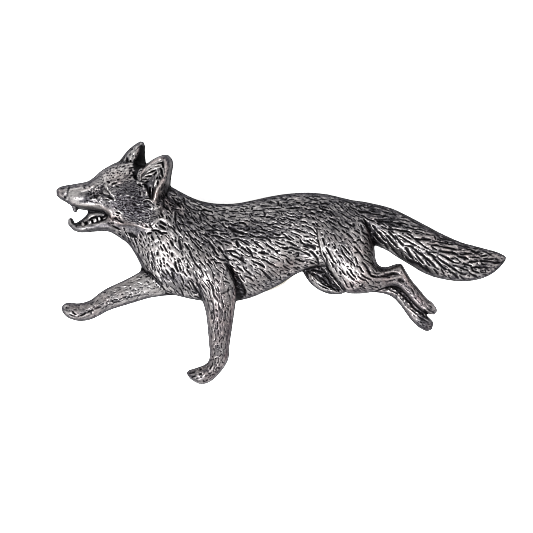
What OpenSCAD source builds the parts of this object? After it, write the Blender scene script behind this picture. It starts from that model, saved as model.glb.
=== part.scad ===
// Running fox lapel pin: a cast pewter relief with a flat back, a steel post
// glued to the back and a round clutch on the post.
// It lies face up on its clutch: +X towards the tail, +Y towards the ears,
// +Z out of the face. The origin is under the middle of the fox, on the
// surface that the clutch rests on. All sizes are in millimetres.

/* [Fox] */
// Length of the fox from its nose to the tip of its tail
fox_len = 50; // [42:1:60]
// Height of the highest point of the relief above the flat back
relief_h = 5.6; // [5:0.1:6.5]
// Steps between two rows of a section table
sub_steps = 2; // [1:1:2]
// Flats across the crown of each section
crown_flats = 10; // [6:2:10]

/* [Fastening] */
// Diameter of the post
post_d = 1.1; // [0.9:0.05:1.2]
// Free length of the post below its pad
post_len = 6; // [5.5:0.1:6]
// Diameter of the pad that the post stands on
pad_d = 5.2; // [4:0.1:7]
// Thickness of the pad
pad_t = 0.5; // [0.4:0.05:0.8]
// Diameter of the clutch
clutch_d = 10; // [9:0.1:11]
// Height of the clutch
clutch_h = 5.2; // [5:0.1:5.6]
// Room for the cloth between the clutch and the pad
cloth_gap = 1.2; // [1.2:0.1:2]
// Line of glue between the pad and the fox
glue_gap = 0.03; // [0.02:0.01:0.05]

/* [Hidden] */

// The section tables are drawn on a grid of 449 units to the fox's length,
// with x to the right and y down. Heights are in millimetres above the back.
grid_len = 449;
unit = fox_len / grid_len;
rise = relief_h / 5.6;
mid_x = 281.5;
mid_y = 262.6;
post_x = 258;
post_y = 247;
back_z = clutch_h + cloth_gap + pad_t + glue_gap;
sink = 1;

function gx(x) = (x - mid_x) * unit;
function gy(y) = (mid_y - y) * unit;

// Every body part is lofted through the rows of its table. A row is one
// section across the part, from edge A to edge B:
// [ax, ay, bx, by, height at A, height at B, height of the crown]

trunk = [
    [152, 176, 108, 228, 1.0, 1.0, 3.2],
    [163, 181, 114, 233, 0.8, 0.8, 3.4],
    [170, 186.3, 121, 237.2, 0.7, 0.7, 3.6],
    [178, 190.8, 129.5, 244.5, 0.7, 0.7, 3.8],
    [188, 196.2, 136.5, 255, 0.7, 0.7, 4.0],
    [198, 200.3, 142.7, 267.5, 0.7, 0.8, 4.2],
    [208, 202.8, 150, 279, 0.7, 1.3, 4.2],
    [218, 204, 162, 290.5, 0.7, 1.2, 4.2],
    [228, 204.2, 178, 295.2, 0.7, 0.8, 4.2],
    [238, 203.4, 195, 299, 0.7, 0.7, 4.15],
    [248, 201.6, 213, 301, 0.7, 0.7, 4.1],
    [258, 199.4, 232, 300.8, 0.7, 0.7, 4.05],
    [268, 197.2, 250, 297, 0.7, 0.7, 4.0],
    [279, 195.2, 266, 290.5, 0.7, 0.7, 3.95],
    [290, 193.8, 281, 283, 0.7, 0.7, 3.9],
    [302, 193.1, 295, 274, 0.7, 0.7, 3.85],
    [315, 193.3, 311, 267.5, 0.7, 1.4, 3.85],
    [328, 194.8, 328, 266, 0.7, 1.6, 3.9],
    [341, 197.8, 346, 262, 0.7, 1.6, 3.9],
    [354, 200.8, 362, 252, 0.7, 1.6, 3.7],
    [366, 202.6, 372, 238, 0.7, 1.5, 3.2],
    [376, 206, 378, 228, 0.7, 1.2, 2.2]
];

near_hind = [
    [330, 203, 352, 203, 3.0, 3.0, 3.2],
    [321, 214, 366, 212, 3.4, 1.5, 3.9],
    [317, 228, 371.5, 226, 3.9, 1.0, 4.4],
    [318.5, 242, 373.5, 240, 4.0, 0.8, 4.7],
    [322, 255, 374.3, 251, 3.6, 0.8, 4.7],
    [328, 267, 375.5, 260, 2.9, 0.7, 4.6],
    [336, 279, 378.5, 265.3, 2.2, 0.7, 4.4],
    [345.5, 291.2, 383, 267.2, 1.2, 0.7, 4.1],
    [358, 293, 388, 267, 0.8, 0.7, 3.8],
    [371, 291.5, 393, 265.3, 1.2, 0.7, 3.5],
    [382, 288, 397.5, 264.1, 1.6, 0.7, 3.4],
    [391, 285.6, 401.5, 264.5, 1.6, 0.7, 3.4],
    [398.5, 287, 405, 270.3, 1.6, 0.7, 3.3],
    [405.5, 293.5, 411.5, 280.5, 1.6, 0.7, 3.1],
    [412.5, 301.5, 419.5, 290, 1.6, 0.7, 3.0],
    [419, 308, 427, 299, 1.5, 0.7, 2.9],
    [425, 312, 431.5, 302.3, 1.2, 0.7, 2.9],
    [430.5, 313.6, 435.3, 306.8, 0.8, 0.7, 2.5],
    [434.5, 314, 437, 310.5, 0.7, 0.7, 1.6]
];

far_thigh = [
    [303, 270.5, 316, 258, 0.6, 0.6, 1.5],
    [306.5, 277, 328, 262, 0.6, 0.6, 2.0],
    [312.5, 284.3, 336, 269, 0.6, 0.6, 2.1],
    [320, 289.7, 343, 277, 0.6, 0.6, 2.1],
    [330, 293.3, 349, 283, 0.6, 0.6, 2.0],
    [341, 293.4, 354, 288, 0.6, 0.6, 1.7]
];

far_hind = [
    [366, 284, 366, 290.5, 0.6, 0.6, 1.4],
    [380, 282, 377, 291.8, 0.6, 0.6, 1.7],
    [391, 284, 386.5, 293.6, 0.6, 0.6, 1.9],
    [399, 289, 393.5, 297, 0.6, 0.6, 2.0],
    [406, 296.5, 399, 302.5, 0.6, 0.6, 2.0],
    [412.5, 304, 404.8, 310, 0.6, 0.6, 2.0],
    [419, 310.5, 410.5, 318.2, 0.6, 0.6, 2.0],
    [425, 314.5, 417, 325, 0.6, 0.6, 2.1],
    [428.5, 317.5, 422, 328.4, 0.6, 0.6, 2.1],
    [431.5, 320.5, 427, 330.5, 0.6, 0.6, 1.9],
    [433.3, 323, 431.5, 329, 0.6, 0.6, 1.2]
];

tail = [
    [352, 201, 358, 232, 0.8, 1.5, 3.2],
    [366, 202.6, 369, 240, 0.7, 1.2, 3.4],
    [379, 205.2, 377.5, 245.4, 0.7, 0.8, 3.4],
    [391, 208.5, 387.5, 249.8, 0.7, 0.7, 3.5],
    [403, 213.8, 399, 257.4, 0.7, 0.7, 3.7],
    [415, 220, 411, 264.6, 0.7, 0.7, 3.8],
    [427, 226.3, 423, 271.8, 0.7, 0.7, 3.8],
    [439, 232.7, 435, 276.4, 0.7, 0.7, 3.7],
    [451, 238.4, 447.5, 279.2, 0.7, 0.7, 3.5],
    [463, 243.1, 460, 280.6, 0.7, 0.7, 3.2],
    [475, 246.3, 473, 279.9, 0.7, 0.7, 2.8],
    [486, 249.2, 485, 276.7, 0.7, 0.7, 2.4],
    [495, 251.6, 494.5, 271.4, 0.65, 0.65, 1.9],
    [501.5, 254.2, 501, 265.4, 0.6, 0.6, 1.4],
    [505.8, 256.8, 505.3, 259.8, 0.5, 0.5, 0.8]
];

near_fore = [
    [186, 232, 206, 230, 4.0, 4.0, 4.2],
    [183, 244, 219, 240, 4.0, 4.1, 4.5],
    [186, 258, 225.5, 253, 3.9, 4.2, 4.8],
    [190.5, 271, 229.5, 264.5, 3.5, 4.2, 4.9],
    [195.5, 283, 233.5, 275, 2.6, 3.8, 4.8],
    [200, 293.5, 236.2, 284.5, 1.6, 3.2, 4.5],
    [203.3, 302, 236.2, 294, 0.9, 2.2, 4.2],
    [206, 311, 234.6, 306, 0.7, 0.9, 3.9],
    [207.5, 321, 232.7, 319.5, 0.7, 0.7, 3.6],
    [208.6, 333, 230.7, 333, 0.7, 0.7, 3.4],
    [209.6, 345, 229, 345.5, 0.7, 0.7, 3.3],
    [210.4, 354.5, 228.4, 356.5, 0.7, 0.7, 3.3],
    [208.5, 361.8, 225.3, 364.3, 0.7, 0.7, 3.3],
    [203.5, 365.6, 220.5, 371, 0.7, 0.7, 3.2],
    [197.5, 367.8, 213, 379, 0.7, 0.7, 3.1],
    [192.5, 369.4, 203, 383.6, 0.7, 0.7, 2.9],
    [188.7, 370.7, 194, 380.8, 0.7, 0.7, 2.4],
    [187, 372.5, 188.3, 375.8, 0.6, 0.6, 1.5]
];

far_fore = [
    [158, 262, 176, 288, 0.8, 0.8, 2.0],
    [147, 267.5, 162, 294.8, 0.7, 0.7, 2.3],
    [137.5, 273.6, 149, 297.3, 0.7, 0.7, 2.4],
    [127, 279.3, 137, 300.8, 0.7, 0.7, 2.4],
    [116, 284.4, 124.5, 304.6, 0.7, 0.7, 2.4],
    [107, 288.6, 114.5, 307.6, 0.7, 0.7, 2.4],
    [99, 293.8, 106, 311, 0.7, 0.7, 2.4],
    [92.3, 299.2, 98.5, 315.2, 0.7, 0.7, 2.4],
    [86, 302.1, 89.5, 319.1, 0.7, 0.7, 2.4],
    [78.5, 303.6, 80, 320.4, 0.7, 0.7, 2.4],
    [71.5, 303.2, 71.8, 318.7, 0.7, 0.7, 2.3],
    [65.8, 303.4, 66.5, 316, 0.7, 0.7, 2.0],
    [62, 306.5, 62.6, 311.5, 0.6, 0.6, 1.3]
];

head = [
    [57.2, 190, 57.4, 194.5, 0.6, 0.6, 1.4],
    [59.8, 187.2, 60.5, 198.3, 0.7, 0.7, 2.2],
    [65, 185.7, 66.5, 201.8, 0.7, 0.7, 2.7],
    [72, 184.6, 73.5, 206.2, 0.7, 0.9, 3.1],
    [80, 183.2, 81, 208.8, 0.7, 1.2, 3.4],
    [88, 181.4, 89, 210, 0.7, 1.4, 3.6],
    [94.5, 177, 98, 211.2, 0.7, 1.6, 3.8],
    [101, 171.2, 106, 214.5, 0.7, 1.8, 4.1],
    [108, 166.9, 112.5, 220, 0.7, 2.0, 4.4],
    [116, 162.9, 121, 224, 0.7, 2.2, 4.6],
    [125, 160.5, 132, 226.8, 0.9, 2.4, 4.8],
    [134.5, 160, 144, 228.8, 1.2, 2.6, 4.9],
    [144, 163.5, 153.5, 226.5, 1.4, 2.8, 4.9],
    [152, 169, 160.5, 219.5, 1.6, 3.0, 4.7],
    [159, 177, 164.5, 209, 1.8, 3.2, 4.3]
];

jaw = [
    [69, 219.2, 69.3, 221.8, 0.6, 0.6, 1.2],
    [71.3, 221.8, 71.5, 226.6, 0.7, 0.6, 1.8],
    [75, 223.2, 75.5, 230, 0.8, 0.7, 2.2],
    [80.5, 223.6, 81.5, 231.8, 0.9, 0.7, 2.4],
    [88, 222.2, 89, 231.5, 1.0, 0.7, 2.5],
    [96, 219.8, 97.5, 230.7, 1.1, 0.7, 2.6],
    [103, 217, 106, 230.5, 1.3, 0.7, 2.8],
    [108.5, 213.5, 114, 232.8, 1.6, 0.7, 3.0],
    [117, 212, 123, 239, 1.8, 0.8, 3.2]
];

mouth_floor = [
    [77.2, 222.6, 78, 225, 0.5, 0.5, 0.8],
    [82.5, 219, 84, 226, 0.6, 0.6, 1.0],
    [87, 214.8, 89, 225, 0.6, 0.6, 1.1],
    [90, 209, 95, 223, 0.7, 0.7, 1.2],
    [98, 207, 103, 220, 0.8, 0.8, 1.3],
    [106, 208, 112, 220, 1.0, 1.0, 1.5]
];

far_ear = [
    [114, 168, 147, 172, 0.8, 0.8, 2.4],
    [120.8, 159.7, 145.4, 163.3, 0.7, 0.7, 2.5],
    [126, 152.9, 144.5, 156, 0.7, 0.7, 2.4],
    [131, 147.8, 144.4, 149.5, 0.6, 0.6, 2.2],
    [136.5, 143.8, 144.2, 145.3, 0.6, 0.6, 1.8],
    [140.3, 141.6, 142.9, 142.3, 0.5, 0.5, 1.1]
];

near_ear = [
    [162.5, 155.3, 167.5, 154.9, 0.9, 0.9, 2.0],
    [156.5, 157.7, 171, 158.4, 1.1, 1.0, 3.6],
    [150.5, 161.3, 172.8, 164, 1.4, 1.0, 4.6],
    [145, 165.8, 171.5, 171.5, 2.4, 1.0, 5.2],
    [141, 171.8, 170.3, 179, 3.4, 1.0, 5.5],
    [138.6, 178.8, 169.6, 186, 4.4, 1.6, 5.6],
    [141, 187, 166, 195, 4.6, 2.6, 5.5],
    [148, 196, 160, 204, 4.6, 3.2, 5.0]
];

// Small rounded ridges that each join two balls, such as toes and teeth:
// [x1, y1, z1, x2, y2, z2, radius 1, radius 2], radii in grid units
ridges = [
    // toes of the near forefoot
    [203, 369.5, 2.6, 191.5, 372.5, 1.9, 3.2, 2.2],
    [205, 374, 2.8, 192.5, 376.5, 1.9, 3.2, 2.2],
    [208, 378, 2.4, 198.5, 380.6, 1.6, 3.0, 2.2],
    // toes of the far forefoot
    [73, 307, 1.8, 66, 307.2, 1.5, 3.0, 2.4],
    [75, 311.5, 2.0, 67, 311.8, 1.5, 3.0, 2.4],
    // toes of the hind feet
    [426, 304.5, 2.4, 433.5, 309.3, 1.6, 3.0, 2.2],
    [422, 323, 1.7, 430, 325.2, 1.2, 2.8, 2.2],
    // upper and lower canine teeth
    [76, 206.5, 1.8, 75.2, 210.9, 1.5, 2.6, 0.9],
    [71.8, 223, 1.3, 70.6, 218.8, 1.2, 1.7, 0.9],
    // cheek teeth of the lower jaw
    [84, 225, 2.0, 83.4, 222.2, 1.8, 1.2, 0.8],
    [90.5, 223, 2.1, 90, 221, 1.9, 1.3, 1.0],
    [95, 221.8, 2.2, 94.4, 219.8, 2.0, 1.3, 1.0],
    [99.5, 220.2, 2.3, 98.8, 218.2, 2.1, 1.3, 1.0],
    // webs left by the mould in the corners between the limbs and the trunk
    [145.4, 268, 0.6, 144.5, 270.5, 0.6, 3.6, 3.6],
    [160, 292.8, 0.6, 176, 291.5, 0.6, 2.6, 2.6],
    [391, 286, 0.5, 403, 293, 0.5, 3.4, 3.6],
    [403, 293, 0.5, 423.5, 314, 0.5, 3.6, 3.2],
    [372, 242.6, 0.4, 375, 242.8, 0.4, 2.6, 2.2],
    // brow over the eye
    [101, 187, 3.9, 112, 197, 4.2, 2.4, 1.8]
];

// Hollows, each hulled from three balls: the near ear's cup, the dark side
// of the far ear and the crease behind the elbow.
// [x, y, z, radius in grid units]
ear_cup = [[163.5, 163, 5.6, 3], [151, 177, 6.6, 6], [155.5, 194, 6.2, 3.5]];
far_cup = [[143, 150, 2.6, 2], [140, 160, 3.2, 3.4], [143, 167, 3.2, 3.4]];

function section_mid(s) = [(s[0] + s[2]) / 2, (s[1] + s[3]) / 2];

// One smooth step between rows b and c of a table, by a Catmull-Rom spline
function between(a, b, c, d, t) =
    0.5 * (2 * b + (c - a) * t + (2 * a - 5 * b + 4 * c - d) * t * t
        + (3 * b - a - 3 * c + d) * t * t * t);

function row_at(rows, i) =
    i < 0 ? 2 * rows[0] - rows[1]
    : i >= len(rows) ? 2 * rows[len(rows) - 1] - rows[len(rows) - 2]
    : rows[i];

function smooth_rows(rows) = [
    for (i = [0 : len(rows) - 2], k = [0 : sub_steps - 1])
        between(row_at(rows, i - 1), rows[i], rows[i + 1], row_at(rows, i + 2), k / sub_steps),
    rows[len(rows) - 1]
];

// The outline of one section: down at A, over the crown and down at B
function section_points(s) = concat(
    [[gx(s[0]), gy(s[1]), -sink]],
    [for (k = [0 : crown_flats])
        let (a = 180 * k / crown_flats, u = (1 - cos(a)) / 2,
             edge = s[4] * (1 - u) + s[5] * u)
        [gx(s[0] * (1 - u) + s[2] * u), gy(s[1] * (1 - u) + s[3] * u),
         rise * (edge + (s[6] - edge) * sin(a))]],
    [[gx(s[2]), gy(s[3]), -sink]]
);

module loft(rows) {
    fine = smooth_rows(rows);
    n = crown_flats + 3;
    m = len(fine);
    a = fine[0];
    ahead = section_mid(fine[1]) - section_mid(a);
    flip = cross([a[2] - a[0], a[3] - a[1]], ahead) > 0;
    points = [for (s = fine) each section_points(s)];
    walls = [for (i = [0 : m - 2], k = [0 : n - 1])
        let (p = i * n + k, q = i * n + (k + 1) % n)
        each [[p, q, q + n], [p, q + n, p + n]]];
    first = [for (k = [n - 1 : -1 : 0]) k];
    last = [for (k = [0 : n - 1]) (m - 1) * n + k];
    faces = concat(walls, [first], [last]);
    polyhedron(points, flip ? faces : [for (f = faces) [for (k = [len(f) - 1 : -1 : 0]) f[k]]]);
}

module ball(x, y, z, r) {
    translate([gx(x), gy(y), z * rise]) sphere(r * unit, $fn = 12);
}

module ridge(r) {
    hull() {
        ball(r[0], r[1], r[2], r[6]);
        ball(r[3], r[4], r[5], r[7]);
    }
}

module hollow(balls) {
    hull() for (b = balls) ball(b[0], b[1], b[2], b[3]);
}

// The casting is one piece of pewter, so its parts are joined in one solid.
module fox_casting() {
    color("dimgray") translate([0, 0, back_z]) difference() {
        union() {
            loft(trunk);
            loft(near_hind);
            loft(far_thigh);
            loft(far_hind);
            loft(tail);
            loft(near_fore);
            loft(far_fore);
            loft(head);
            loft(jaw);
            loft(mouth_floor);
            loft(far_ear);
            loft(near_ear);
            for (r = ridges) ridge(r);
        }
        hollow(ear_cup);
        hollow(far_cup);
        translate([-fox_len, -fox_len, -3]) cube([2 * fox_len, 2 * fox_len, 3]);
    }
}

// Post and pad: one turned piece with a pointed tip
module pin_post() {
    pad_z = clutch_h + cloth_gap;
    tip_z = pad_z - post_len;
    color("silver") translate([gx(post_x), gy(post_y), 0]) rotate_extrude($fn = 64)
        polygon([
            [0, tip_z], [post_d * 0.12, tip_z], [post_d / 2, tip_z + 1.1],
            [post_d / 2, pad_z - 0.15], [post_d / 2 + 0.25, pad_z],
            [pad_d / 2, pad_z], [pad_d / 2, pad_z + pad_t], [0, pad_z + pad_t]
        ]);
}

// Clutch: a plain round cap with a hole for the post and two finger tabs
module clutch() {
    r = clutch_d / 2;
    tab_w = 4.4;
    tab_reach = r + 2;
    color("silver") translate([gx(post_x), gy(post_y), 0]) difference() {
        union() {
            rotate_extrude($fn = 96) polygon([
                [0, 0], [r - 0.5, 0], [r - 0.15, 0.15], [r, 0.5], [r, clutch_h - 1.6],
                [r - 0.35, clutch_h - 0.95], [r - 1.1, clutch_h - 0.55],
                [1.6, clutch_h - 0.3], [1.3, clutch_h], [0, clutch_h]
            ]);
            for (side = [-1, 1]) translate([side * (tab_reach - tab_w / 2), 0, 0])
                cylinder(h = 1.1, r = tab_w / 2, $fn = 48);
            translate([-(tab_reach - tab_w / 2), -tab_w / 2, 0])
                cube([2 * (tab_reach - tab_w / 2), tab_w, 1.1]);
        }
        translate([0, 0, -1]) cylinder(h = clutch_h + 2, r = post_d / 2 + 0.05, $fn = 48);
    }
}

fox_casting();
pin_post();
clutch();
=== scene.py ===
import math

import bpy
import numpy as np
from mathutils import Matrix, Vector


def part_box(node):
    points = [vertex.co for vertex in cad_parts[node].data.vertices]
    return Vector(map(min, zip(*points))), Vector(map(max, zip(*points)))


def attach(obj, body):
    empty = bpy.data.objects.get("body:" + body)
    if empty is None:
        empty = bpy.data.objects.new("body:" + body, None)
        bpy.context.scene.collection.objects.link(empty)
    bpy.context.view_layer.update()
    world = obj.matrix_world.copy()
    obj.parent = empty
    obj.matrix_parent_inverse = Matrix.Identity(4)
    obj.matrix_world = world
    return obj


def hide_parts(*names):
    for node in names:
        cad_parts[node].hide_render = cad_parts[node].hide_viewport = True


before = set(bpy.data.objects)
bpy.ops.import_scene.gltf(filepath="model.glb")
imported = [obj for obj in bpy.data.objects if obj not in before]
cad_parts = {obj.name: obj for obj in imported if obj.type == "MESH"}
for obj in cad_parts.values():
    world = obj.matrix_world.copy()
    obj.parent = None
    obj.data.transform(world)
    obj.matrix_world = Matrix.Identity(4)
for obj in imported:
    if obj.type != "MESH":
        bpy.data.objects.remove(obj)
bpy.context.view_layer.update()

fox_lo, fox_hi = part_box("fox_casting")

# ---------------------------------------------------------------------------
# The drawing grid of the part: 449 units to the fox's length, x right, y down.
# Heights are in millimetres above the flat back.
# ---------------------------------------------------------------------------
UNIT = 0.050 / 449
MM = 0.001
MID_X, MID_Y = 281.5, 262.6
BACK_Z = fox_lo.z
S = 4                                   # samples per unit of the height map
X0, Y0, X1, Y1 = 50.0, 136.0, 512.0, 390.0
NX, NY = int((X1 - X0) * S) + 1, int((Y1 - Y0) * S) + 1
GX = (X0 + np.arange(NX) / S).astype(np.float32)
GY = (Y0 + np.arange(NY) / S).astype(np.float32)
PX, PY = np.meshgrid(GX, GY)
UNIT_MM = UNIT / MM
rng = np.random.default_rng(20)

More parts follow.
